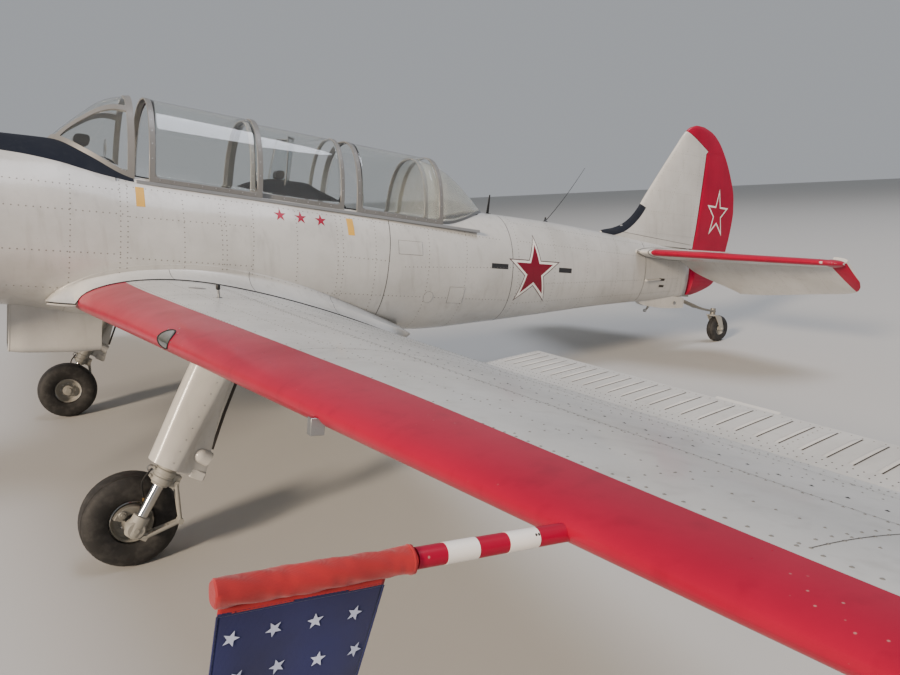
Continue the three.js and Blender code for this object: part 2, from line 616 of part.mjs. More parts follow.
// Split flap: a thin plate let into the underside ahead of the trailing edge
const FLAP_FROM = 0.76;
const FLAP_TO = 0.975;
const FLAP_THICK = 9;
function flapRing(y, from, to, rise, drop) {
  const w = wingAt(y);
  const at = (x, lift) => {
    const low = foilHeights(x, w)[1];
    return P(w.le + x * w.chord, y, w.h + low * w.chord - 2 * x - x * w.chord * w.drop + lift);
  };
  return [at(from, drop), at(to, drop), at(to, rise), at(from, rise)];
}
const flapBody = loft([flapRing(FLAP_INNER_Y, FLAP_FROM, FLAP_TO, FLAP_THICK, 0),
  flapRing(FLAP_OUTER_Y, FLAP_FROM, FLAP_TO, FLAP_THICK, 0)]);
const flapCut = loft([flapRing(FLAP_INNER_Y - 6, FLAP_FROM - 0.00025, 1.02, FLAP_THICK + 6, -30),
  flapRing(FLAP_OUTER_Y + 6, FLAP_FROM - 0.00025, 1.02, FLAP_THICK + 6, -30)]);

// Landing light window in the leading edge
const LIGHT_BACK = 200;
const LIGHT_INNER_Y = 1830;
const LIGHT_OUTER_Y = 2045;
const lightCut = block(1900, WING_LE_S + LIGHT_BACK, LIGHT_INNER_Y, LIGHT_OUTER_Y, -520, 0);
const PIN_RADIUS = 8;
const PIN_GAP = 0.4;
const pins = bar(past(hingeA, hingeB, MOVE_GAP + 6), past(hingeA, hingeB, PIN_GAP), PIN_RADIUS, PIN_RADIUS,
  12)
  .add(bar(past(hingeB, hingeA, MOVE_GAP + 6), past(hingeB, hingeA, PIN_GAP), PIN_RADIUS, PIN_RADIUS, 12));

// Round jacking pad under the spar, flat below
const JACK_S = 2760;
const JACK_Y = 1150;
const JACK_RADIUS = 35;
const JACK_DROP = 6;
const underside = (s, y) => {
  const w = wingAt(y);
  const x = (s - w.le) / w.chord;
  return w.h + foilHeights(x, w)[1] * w.chord - 2 * x - x * w.chord * w.drop;
};
const jackFace = underside(JACK_S, JACK_Y) - JACK_DROP;
const jackPad = bar(P(JACK_S, JACK_Y, jackFace + 40), P(JACK_S, JACK_Y, jackFace), JACK_RADIUS, JACK_RADIUS,
  24);
const wing = wingFull.subtract(aileronCut).subtract(flapCut).subtract(lightCut).add(pins).add(jackPad);
pair("wing", wing, WHITE);
const lightGlass = wingFull
  .intersect(block(1900, WING_LE_S + LIGHT_BACK - SEAT_GAP, LIGHT_INNER_Y + SEAT_GAP,
  LIGHT_OUTER_Y - SEAT_GAP, -520, 0));
pair("landing_light", lightGlass, GLASS);
const aileronAxis = new THREE.Vector3(...hingeB).sub(new THREE.Vector3(...hingeA)).normalize();
node("aileron_port", aileron, WHITE, { pivot: hingeA, axis: aileronAxis.toArray(), deg: AILERON_UP_DEG });
node("aileron_starboard", aileron, WHITE, {
  flip: true, pivot: [hingeA[0], -hingeA[1], hingeA[2]],
    axis: [-aileronAxis.x, aileronAxis.y, -aileronAxis.z], deg: -AILERON_DOWN_DEG,
});
pair("flap", flapBody, WHITE);

// Wing root fillet: follows the fuselage side down to the wing skin
const FILLET = table(["s", "high", "reach"], [
  [2052, -262, 470], [2090, -210, 520], [2180, -150, 570], [2300, -98, 610], [2520, -52, 622],
    [2780, -36, 622],
  [3050, -60, 622], [3350, -120, 618], [3640, -205, 600], [3930, -300, 560], [4150, -370, 480],
    [4260, -400, 420],
]);
const FILLET_ARC = 6;
function filletRing(r) {
  const inner = 330;
  const low = -500;
  const arc = Array.from({ length: FILLET_ARC + 1 }, (_, i) => {
    const t = (Math.PI / 2) * (i / FILLET_ARC);
    const foot = wingTopAt(r.s, r.reach);
    return P(r.s, mix(r.reach, 440, Math.sin(t)), mix(r.high, foot, Math.cos(t)));
  });
  return [P(r.s, inner, low), P(r.s, r.reach, low), ...arc, P(r.s, inner, r.high)];
}
function wingTopAt(s, y) {
  const w = wingAt(y);
  const x = (s - w.le) / w.chord;
  if (x <= 0 || x >= 1) return w.h - Math.max(0, x) * w.chord * w.drop - 6;
  return w.h + foilHeights(x, w)[0] * w.chord + 2 * x - x * w.chord * w.drop + 3;
}

// Fin and rudder share one set of level sections, parted at the hinge and along the horn
const FIN = table(["h", "le", "te", "thick"], [
  [-85, 7000, 7215, 40], [-50, 7000, 7330, 66], [30, 6990, 7500, 84], [130, 6980, 7570, 88],
    [250, 6970, 7618, 90],
  [300, 6040, 7630, 92], [400, 6055, 7650, 96], [435, 6190, 7658, 96], [475, 6290, 7664, 95],
    [540, 6380, 7674, 94], [620, 6452, 7682, 92],
  [700, 6502, LENGTH, 90], [850, 6602, 7660, 84], [1020, 6718, 7586, 77], [1200, 6844, 7472, 64],
  [1310, 6924, 7368, 54], [1365, 6985, 7275, 42], [1395, 7062, 7170, 16],
]);
const FIN_STEPS = 8;
function finRing(r) {
  const chord = r.te - r.le;
  const xs = Array.from({ length: FIN_STEPS + 1 }, (_, i) => 0.5 * (1 - Math.cos((Math.PI * i) / FIN_STEPS)));
  const half = (x) => Math.max(3 * x,
    (r.thick / 0.2) * (0.2969 * Math.sqrt(x) - 0.126 * x - 0.3516 * x ** 2 + 0.2843 * x ** 3
    - 0.1036 * x ** 4));
  return [...xs.map((x) => P(r.le + x * chord, half(x), r.h)).reverse(),
    ...xs.slice(1).map((x) => P(r.le + x * chord, -half(x), r.h))];
}
const finSolid = loft(FIN.map(finRing));
const rudderHingeS = (h) => mix(RUDDER_HINGE_LOW[0], RUDDER_HINGE_TOP[0],
  (h - RUDDER_HINGE_LOW[1]) / (RUDDER_HINGE_TOP[1] - RUDDER_HINGE_LOW[1]));
const HORN_FRONT = [6900, 1352];
const behindHinge = (gap) => prism([
  P(rudderHingeS(-300) - gap, -200, -300), P(RUDDER_HINGE_TOP[0] - gap, -200, RUDDER_HINGE_TOP[1] - gap),
    P(HORN_FRONT[0], -200, HORN_FRONT[1] - gap),
  P(6700, -200, 1500), P(7900, -200, 1500), P(7900, -200, -300),
], [0, 400, 0]);
const RUDDER_NOSE = table(["h", "r"], [[-80, 18], [250, 34], [700, 32], [1180, 24]]);
const rudderNose = union(RUDDER_NOSE.slice(0, -1).map((r, i) => {
  const next = RUDDER_NOSE[i + 1];
  return bar(P(rudderHingeS(r.h), 0, r.h), P(rudderHingeS(next.h), 0, next.h), r.r, next.r, 12);
}));
const rudderNoseCut = union(RUDDER_NOSE.slice(0, -1).map((r, i) => {
  const next = RUDDER_NOSE[i + 1];
  return bar(P(rudderHingeS(r.h - 20), 0, r.h - 20), P(rudderHingeS(next.h + 8), 0, next.h + 8),
    r.r + MOVE_GAP, next.r + MOVE_GAP, 12);
}));
const fin = finSolid.subtract(behindHinge(MOVE_GAP)).subtract(rudderNoseCut).subtract(hullSeat)
  .subtract(block(6800, 7400, -300, 300, -300, 326));
node("fin", fin, WHITE);

const rudder = finSolid.intersect(behindHinge(0)).subtract(hull(MOVE_GAP, 6500, TAIL_POST_S + MOVE_GAP))
  .add(rudderNose.subtract(hull(MOVE_GAP, 6500, TAIL_POST_S - 20)));
node("rudder", rudder, RED);

// Tailplane halves and the elevator, one piece across the tube through the tail
const TAILPLANE = table(["y", "le", "te", "thick"], [
  [0, 6318, 7484, 96], [370, 6420, 7488, 92], [1200, 6686, 7380, 70], [1430, 6758, 7340, 62],
    [1500, 6782, 7310, 56], [1550, 6830, 7250, 40], [1575, 6900, 7170, 18],
]);
function tailRing(r) {
  const chord = r.te - r.le;
  const xs = Array.from({ length: FIN_STEPS + 1 }, (_, i) => 0.5 * (1 - Math.cos((Math.PI * i) / FIN_STEPS)));
  const half = (x) => Math.max(3 * x,
    (r.thick / 0.2) * (0.2969 * Math.sqrt(x) - 0.126 * x - 0.3516 * x ** 2 + 0.2843 * x ** 3
    - 0.1036 * x ** 4));
  return [...xs.map((x) => P(r.le + x * chord, r.y, TAIL_PLANE_H + half(x))).reverse(),
    ...xs.slice(1).map((x) => P(r.le + x * chord, r.y, TAIL_PLANE_H - half(x)))];
}
const tailSolid = loft(TAILPLANE.map(tailRing));
const HORN_Y = 1462;
const HORN_FRONT_S = 6940;
const HORN_CLEAR = 15;
const elevatorZone = (gap) => prism([
  P(ELEVATOR_HINGE_S - gap, 62 - gap, 0), P(ELEVATOR_HINGE_S - gap, HORN_Y - gap, 0),
    P(HORN_FRONT_S - gap, HORN_Y - gap, 0), P(HORN_FRONT_S - gap, 1700, 0), P(7600, 1700, 0),
    P(7600, 620, 0),
  P(7470, 385 - gap, 0), P(7320, 235 - gap, 0), P(7180, 110 - gap, 0), P(7040, 62 - gap, 0),
], [0, 0, 500]);
const elevatorNose = (grow) => bar(P(ELEVATOR_HINGE_S, 62 - grow, TAIL_PLANE_H),
  P(ELEVATOR_HINGE_S, HORN_Y + 8, TAIL_PLANE_H), 38 + grow, 27 + grow, 12);
const stabilizer = tailSolid.subtract(elevatorZone(MOVE_GAP)).subtract(elevatorNose(MOVE_GAP))
  .subtract(hullSeat)
  .subtract(block(HORN_FRONT_S - HORN_CLEAR, 7600, HORN_Y - MOVE_GAP, 1700, 0, 500))
  .subtract(block(ELEVATOR_HINGE_S - 46, 7600, -80, 1475, 0, 500))
    .subtract(block(6000, 7600, -100, 10, 0, 500));
pair("stabilizer", stabilizer, WHITE);
const elevatorHalf = tailSolid.intersect(elevatorZone(0)).add(elevatorNose(0));
const tube = bar(P(ELEVATOR_HINGE_S, -80, TAIL_PLANE_H), P(ELEVATOR_HINGE_S, 80, TAIL_PLANE_H), TUBE_RADIUS,
  TUBE_RADIUS, 16);
const mirrored = (body) => solid(meshOf(body, true));
const elevator = union([elevatorHalf, mirrored(elevatorHalf), tube]);
node("elevator", elevator, WHITE, { pivot: P(ELEVATOR_HINGE_S, 0, TAIL_PLANE_H), axis: [0, 1, 0],
  deg: -ELEVATOR_DROOP_DEG });

// Keel fairing under the tail: a thin box from the belly down to the spring
const KEEL = [[6480, -120], [7120, -60], [7120, -140], [7120, -200], [7060, -206], [6840, -212],
  [6600, -190]];
const KEEL_HALF = 24;
const keel = prism(KEEL.map(([s, h]) => P(s, -KEEL_HALF, h)), [0, 2 * KEEL_HALF, 0]);
const keelSolid = keel.subtract(hullSeat).subtract(tailLeaf(SEAT_GAP))
  .subtract(block(7050, 7200, -16, 16, -104, 0));
node("tail_keel", keelSolid, WHITE);

// Tail gear: leaf spring, swivelling fork, small wheel
const TAIL_PIVOT_S = 7560;
const pivotBoss = bar(P(TAIL_PIVOT_S, 0, -196), P(TAIL_PIVOT_S, 0, -252), 24, 24, 20);
node("tail_spring", tailLeaf(0).add(pivotBoss), METAL);
const forkCrown = bar(P(TAIL_PIVOT_S, 0, -252.5), P(TAIL_PIVOT_S, 0, -268), 40, 40, 20);
const forkArm = (side) => prism([
  P(TAIL_PIVOT_S - 20, side * 44, -258), P(TAIL_PIVOT_S + 60, side * 44, -262),
    P(TAIL_WHEEL_S + 20, side * 44, TAIL_WHEEL_H - 18), P(TAIL_WHEEL_S - 20, side * 44, TAIL_WHEEL_H - 18),
], [0, side * 8, 0]);
const forkBridge = block(TAIL_PIVOT_S - 24, TAIL_PIVOT_S + 24, -52, 52, -268, -256);
const tailAxle = bar(P(TAIL_WHEEL_S, -50, TAIL_WHEEL_H), P(TAIL_WHEEL_S, 50, TAIL_WHEEL_H), 8, 8, 14);
node("tail_fork", union([forkCrown, forkBridge, forkArm(1), forkArm(-1), tailAxle]), METAL);

// Wheels: rim with its hub bore, and a tyre
function wheelParts(centre, radius, width, rimRadius, bore, rimWidth) {
  const w = width / 2;
  const tyre = turned([
    [-w * 0.62, rimRadius + 0.4], [-w * 0.92, rimRadius + (radius - rimRadius) * 0.35],
      [-w, rimRadius + (radius - rimRadius) * 0.6], [-w * 0.85, radius - (radius - rimRadius) * 0.14],
      [-w * 0.5, radius],
    [w * 0.5, radius], [w * 0.85, radius - (radius - rimRadius) * 0.14],
      [w, rimRadius + (radius - rimRadius) * 0.6], [w * 0.92, rimRadius + (radius - rimRadius) * 0.35],
      [w * 0.62, rimRadius + 0.4],
  ], centre, "y", radius > 150 ? 28 : 20);
  const r = rimWidth / 2;
  const rim = turned([
    [-r, bore], [-r, bore + 16], [-r * 0.3, bore + 26], [-r * 0.3, rimRadius - 14], [-r, rimRadius - 4],
      [-r, rimRadius],
    [r, rimRadius], [r, rimRadius - 4], [r * 0.3, rimRadius - 14], [r * 0.3, bore + 26], [r, bore + 16],
      [r, bore],
  ], centre, "y", radius > 150 ? 28 : 20);
  return { tyre, rim };
}
const main = wheelParts(P(WHEEL_S, WHEEL_Y, WHEEL_H), TYRE_RADIUS, TYRE_WIDTH, 88, 20.5, 104);
pair("main_tyre", main.tyre, RUBBER);
pair("main_rim", main.rim, CAST);
const tail = wheelParts(P(TAIL_WHEEL_S, 0, TAIL_WHEEL_H), TAIL_TYRE_RADIUS, TAIL_TYRE_WIDTH, 58, 8.5, 60);
node("tail_tyre", tail.tyre, RUBBER);
node("tail_rim", tail.rim, CAST);

// Main leg: raked cylinder, bright piston, axle, scissor link and fairing
const rake = Math.tan(rad(LEG_RAKE_DEG));
const legPoint = (h, aft = 0, y = LEG_Y) => P(WHEEL_S + (h - WHEEL_H) * rake
  + aft * Math.cos(rad(LEG_RAKE_DEG)), y, h - aft * Math.sin(rad(LEG_RAKE_DEG)));
const wingSeatCut = (body) => body.subtract(wingSeat);
const wingSeat = loft([CENTRE_GAP, 2400].map((y) => {
  const w = wingAt(y);
  return foilRing({ ...w, h: w.h - SEAT_GAP * 2 });
}));
const upperLeg = wingSeatCut(bar(legPoint(-250), legPoint(-850), 38, 38, 24));
const collar = bar(legPoint(-835), legPoint(-880), 44, 44, 24);
const piston = bar(legPoint(-870), legPoint(WHEEL_H), 23, 23, 20);
const axleLug = bar(P(WHEEL_S, LEG_Y - 32, WHEEL_H), P(WHEEL_S, LEG_Y + 30, WHEEL_H), 36, 36, 20);
const axle = bar(P(WHEEL_S, WHEEL_Y - 58, WHEEL_H), P(WHEEL_S, LEG_Y, WHEEL_H), 20, 20, 20);
pair("main_leg", union([upperLeg, collar, piston, axleLug, axle]), CHROME);

const lugTop = legPoint(-862, 56.4);
const knee = legPoint(-985, 150);
const lugLow = legPoint(-1080, 44.8);
const torqueLink = union([bar(lugTop, knee, 12, 10, 8), bar(knee, lugLow, 10, 12, 8),
  bar([lugTop[0], lugTop[1] - 26, lugTop[2]], [lugTop[0], lugTop[1] + 26, lugTop[2]], 12, 12, 8),
  bar([knee[0], knee[1] - 22, knee[2]], [knee[0], knee[1] + 22, knee[2]], 12, 12, 8),
  bar([lugLow[0], lugLow[1] - 26, lugLow[2]], [lugLow[0], lugLow[1] + 26, lugLow[2]], 12, 12, 8)]);
pair("torque_link", torqueLink, METAL);

const FAIRING_TOP_H = -300;
const FAIRING_LOW_H = -815;
const FAIRING = table(["h", "front", "plate"], [[FAIRING_TOP_H, -130, 60], [-430, -124, 62],
  [FAIRING_LOW_H, -90, 186]]);
const fairingRing = ({ h, front, plate }) => [
  [front + 8, -34], [front, 8], [front + 16, 46], [-30, 66], [14, 66], [34, 56], [52, 38], [plate, 24],
  [plate, 16], [50, 28], [30, 47], [12, 58], [-28, 58], [front + 22, 40], [front + 8, 6], [front + 16, -34],
].map(([aft, out]) => legPoint(h, aft, LEG_Y + out));
const fairing = wingSeatCut(loft(FAIRING.map(fairingRing)));
pair("leg_fairing", fairing, WHITE);

// Fillets are finished once the wing is known
const filletBlock = loft(FILLET.map(filletRing));
const wingFat = loft([CENTRE_GAP, 2400].map((y) => {
  const w = wingAt(y);
  return foilRing({ ...w, le: w.le - SEAT_GAP * 2, chord: w.chord + SEAT_GAP * 4, thick: w.thick + 0.001 });
}));
const FILLET_FOOT = table(["s", "h"], [[1950, -282], [2069, -300], [2240, -330], [4200, -432], [4500, -448]]);
const filletFootCut = prism([...FILLET_FOOT.map((r) => P(r.s, 0, r.h)), P(4500, 0, -900), P(1950, 0, -900)],
  [0, 800, 0]);
const fillet = filletBlock.subtract(hullSeat).subtract(wingFat).subtract(filletFootCut);
pair("wing_fillet", fillet, WHITE);

// Belly scoop, open at both ends, fastened to the belly and the wing's underside
const SCOOP = table(["s", "half", "low"], [[1905, 150, -554], [1975, 165, -558], [2200, 165, -555],
  [2340, 160, -546]]);
const SCOOP_TOP = -285;
const SCOOP_WALL = 8;
const SCOOP_BEVEL = 22;
function scoopRing(r, wall) {
  const side = r.half - wall;
  const low = r.low + wall;
  const half = [[side, SCOOP_TOP], [side, low + SCOOP_BEVEL], [side - SCOOP_BEVEL, low]];
  return [...half.map(([y, h]) => P(r.s, -y, h)), ...half.reverse().map(([y, h]) => P(r.s, y, h))];
}
const scoopDuct = loft([
  scoopRing({ ...SCOOP[0], s: SCOOP[0].s - 5 }, SCOOP_WALL), ...SCOOP.slice(1, -1)
    .map((r) => scoopRing(r, SCOOP_WALL)),
  scoopRing({ ...SCOOP[3], s: SCOOP[3].s + 5 }, SCOOP_WALL),
]);
const wingAcross = loft([-2400, 0, 2400].map((y) => {
  const w = wingAt(Math.abs(y));
  return foilRing({ ...w, y, le: w.le - SEAT_GAP * 2, chord: w.chord + SEAT_GAP * 4,
    thick: w.thick + 0.001 });
}));
const scoop = loft(SCOOP.map((r) => scoopRing(r, 0))).subtract(scoopDuct).subtract(hullSeat)
  .subtract(wingAcross);
node("belly_scoop", scoop, WHITE);

// Air data boom out of the port leading edge
const BOOM_Y = 3920;
const BOOM_H = -205;
const BOOM_FRONT_S = 2190;
const BOOM_RADIUS = 12;
const boomSeat = loft([2400, 4400].map((y) => {
  const w = wingAt(y);
  return foilRing({ ...w, le: w.le - SEAT_GAP * 2, chord: w.chord + SEAT_GAP * 4 });
}));
const boom = bar(P(2430, BOOM_Y, BOOM_H), P(BOOM_FRONT_S, BOOM_Y, BOOM_H), BOOM_RADIUS, BOOM_RADIUS, 20)
  .subtract(boomSeat);
node("air_data_boom", boom, RED);

// Cloth sleeve pulled over the front of the boom, with its pennant hanging below
const COVER_AFT_S = BOOM_FRONT_S - 1;
const COVER_FRONT_S = 1975;
const COVER_RADIUS = 16;
const PENNANT_DROP = 280;
const PENNANT_FRONT = [1982, 1958];
const PENNANT_AFT = [2157, 2093];
const sleeve = bar(P(COVER_AFT_S, BOOM_Y, BOOM_H), P(COVER_FRONT_S, BOOM_Y, BOOM_H), COVER_RADIUS,
  COVER_RADIUS, 16);
const pennant = prism([
  P(PENNANT_FRONT[0], BOOM_Y - 3, BOOM_H), P(PENNANT_AFT[0], BOOM_Y - 3, BOOM_H),
  P(PENNANT_AFT[1], BOOM_Y - 3, BOOM_H - PENNANT_DROP),
    P(PENNANT_FRONT[1], BOOM_Y - 3, BOOM_H - PENNANT_DROP),
], [0, 6, 0]);
node("boom_cover", sleeve.add(pennant), CLOTH);

// Set the wheels on the ground and the origin under the middle of the whole
root.updateMatrixWorld(true);
root.position.z = THRUST_HEIGHT;
root.updateMatrixWorld(true);
const box = new THREE.Box3().setFromObject(root, true);
root.position.x = -(box.min.x + box.max.x) / 2;
root.position.y = -(box.min.y + box.max.y) / 2;
root.position.z -= box.min.z;
root.updateMatrixWorld(true);

export default root;
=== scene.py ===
# Aerobatic trainer aircraft: low wing, tandem seats, radial engine, standing on its tailwheel gear.
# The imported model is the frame; each section dresses one piece of it or one group of like pieces.
import math
import bpy
import numpy as np
from mathutils import Matrix, Vector


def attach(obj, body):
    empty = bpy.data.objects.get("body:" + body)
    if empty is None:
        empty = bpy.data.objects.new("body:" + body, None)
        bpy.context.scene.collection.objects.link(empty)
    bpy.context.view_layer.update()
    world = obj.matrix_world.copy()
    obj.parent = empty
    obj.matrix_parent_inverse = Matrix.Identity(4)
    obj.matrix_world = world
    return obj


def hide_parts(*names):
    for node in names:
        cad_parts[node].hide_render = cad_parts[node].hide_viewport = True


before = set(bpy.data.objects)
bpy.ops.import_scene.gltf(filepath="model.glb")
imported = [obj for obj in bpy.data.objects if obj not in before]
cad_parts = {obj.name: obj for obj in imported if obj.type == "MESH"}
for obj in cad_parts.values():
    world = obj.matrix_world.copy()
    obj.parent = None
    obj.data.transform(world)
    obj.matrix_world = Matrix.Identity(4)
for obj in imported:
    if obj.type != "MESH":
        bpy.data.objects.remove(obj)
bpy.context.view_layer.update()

# Camera: held over the port wing, looking aft and to starboard.
# Its lens, place and turn come from the wheels, the span and the lines of the fuselage.
LENS_MM = 29.756
SENSOR_MM = 36
FRAME_WIDTH_PX = 900
CENTRE_SHIFT_PX = 0.516
CAMERA_PLACE = (2.0601, 4.581, 1.442)
YAW = math.radians(31.194)
DOWN = math.radians(10.632)
ROLL = math.radians(-2.628)
ahead = Vector((-math.sin(YAW), -math.cos(YAW), 0))
right = Vector((-math.cos(YAW), math.sin(YAW), 0))
upright = Vector((0, 0, 1))
look = ahead * math.cos(DOWN) - upright * math.sin(DOWN)
lift = upright * math.cos(DOWN) + ahead * math.sin(DOWN)
camera_right = right * math.cos(ROLL) + lift * math.sin(ROLL)
camera_up = lift * math.cos(ROLL) - right * math.sin(ROLL)
lens = bpy.data.cameras.new("view")
lens.sensor_width = SENSOR_MM
lens.lens = LENS_MM
lens.shift_x = CENTRE_SHIFT_PX / FRAME_WIDTH_PX
lens.clip_start = 0.05
lens.clip_end = 2000
camera = bpy.data.objects.new("view", lens)
camera_turn = Matrix((camera_right, camera_up, -look)).transposed()
camera.matrix_world = Matrix.Translation(CAMERA_PLACE) @ camera_turn.to_4x4()
bpy.context.scene.collection.objects.link(camera)
bpy.context.scene.camera = camera


# Studio: a pale sealed floor, a bright soft sky and one large warm soft light off the nose,
# on the side that the low sun comes from.
def linear(hex_colour):
    channels = [int(hex_colour[i:i + 2], 16) / 255 for i in (1, 3, 5)]
    return [c / 12.92 if c <= 0.04045 else ((c + 0.055) / 1.055) ** 2.4 for c in channels] + [1.0]


def new_material(name):
    material = bpy.data.materials.new(name)
    material.use_nodes = True
    material.node_tree.nodes.clear()
    return material


def add(material, kind, settings=None):
    """Adds one node; each setting is a value of the node, a value of an input, or what feeds an input."""
    node = material.node_tree.nodes.new("ShaderNode" + kind)
    for key, value in (settings or {}).items():
        if isinstance(value, bpy.types.Node):
            value = value.outputs[0]
        if isinstance(value, bpy.types.NodeSocket):
            material.node_tree.links.new(value, node.inputs[key])
        elif isinstance(key, str) and key not in node.inputs:
            setattr(node, key, value)
        else:
            node.inputs[key].default_value = value
    return node


sealed_floor = new_material("sealed_pale_floor")
floor_shader = add(sealed_floor, "BsdfPrincipled", {"Base Color": linear("#B4B3B0"), "Roughness": 0.8})
add(sealed_floor, "OutputMaterial", {"Surface": floor_shader})
FLOOR_HALF = 900
floor_mesh = bpy.data.meshes.new("floor")
floor_mesh.from_pydata([(x, y, 0) for x, y in ((-1, -1), (1, -1), (1, 1), (-1, 1))], [], [(0, 1, 2, 3)])
floor_mesh.transform(Matrix.Scale(FLOOR_HALF, 4))
floor_mesh.materials.append(sealed_floor)
floor = bpy.data.objects.new("floor", floor_mesh)
bpy.context.scene.collection.objects.link(floor)

sky = bpy.data.worlds.new("studio")
bpy.context.scene.world = sky
sky.use_nodes = True
sky.node_tree.nodes["Background"].inputs["Color"].default_value = linear("#E9EDF3")
sky.node_tree.nodes["Background"].inputs["Strength"].default_value = 0.46


def soft_light(name, place, aim, size, watts, colour):
    """A round soft lamp at a place, turned to look at another."""
    data = bpy.data.lights.new(name, "AREA")
    data.shape = "DISK"
    data.size = size
    data.energy = watts
    data.color = linear(colour)[:3]
    lamp = bpy.data.objects.new(name, data)
    lamp.location = place
    lamp.rotation_euler = (Vector(aim) - Vector(place)).to_track_quat("-Z", "Y").to_euler()
    bpy.context.scene.collection.objects.link(lamp)


soft_light("low_key", (58, 26, 24), (-1, 0, 0.6), 12, 72000, "#FFE9CF")
soft_light("sky_fill", (-14, 16, 48), (-2, 0, 0.8), 30, 17000, "#EEF2FF")


# Fuselage: riveted aluminium sheet over frames and stringers, sprayed warm white.
# Its section is a rounded box, wide at the firewall and narrow at the rudder post.
PITCH = math.radians(8.056)
ROOT_MM = (3856.08, 1572.32)


def at(s, y, h):
    """Level millimetres (aft of the spinner tip, to port, above the datum) to the frame's metres."""
    s, y, h = np.broadcast_arrays(np.asarray(s, float), np.asarray(y, float), np.asarray(h, float))
    x = ROOT_MM[0] - s * math.cos(PITCH) - h * math.sin(PITCH)
    z = ROOT_MM[1] - s * math.sin(PITCH) + h * math.cos(PITCH)
    return np.stack([x, y, z], -1) / 1000


def smooth_table(rows):
    """Rows of numbers become a function of the first column: a monotone cubic through every other column."""
    rows = np.asarray(rows, float)
    keys, values = rows[:, 0], rows[:, 1:]
    step = np.diff(keys)[:, None]
    slope = np.diff(values, axis=0) / step
    tangent = np.zeros_like(values)
    same = slope[1:] * slope[:-1] > 0
    weight_a, weight_b = 2 * step[1:] + step[:-1], step[1:] + 2 * step[:-1]
    with np.errstate(divide="ignore", invalid="ignore"):
        middle = (weight_a + weight_b) / (weight_a / slope[:-1] + weight_b / slope[1:])
    tangent[1:-1] = np.where(same, middle, 0)
    tangent[0], tangent[-1] = slope[0], slope[-1]

    def value(x):
        x = np.asarray(x, float)
        i = np.clip(np.searchsorted(keys, x) - 1, 0, len(keys) - 2)
        t = ((x - keys[i]) / step[i, 0])[..., None]
        d = step[i]
        out = (2 * t**3 - 3 * t**2 + 1) * values[i] + (t**3 - 2 * t**2 + t) * d * tangent[i]
        out += (-2 * t**3 + 3 * t**2) * values[i + 1] + (t**3 - t**2) * d * tangent[i + 1]
        return [out[..., k] for k in range(out.shape[-1])]
    return value


def square_to(direction):
    """A level direction across another one, or one across the frame where that stands upright."""
    side = np.cross(direction, (0, 0, 1))
    return side if np.linalg.norm(side) >= 0.2 else np.cross(direction, (1, 0, 0))


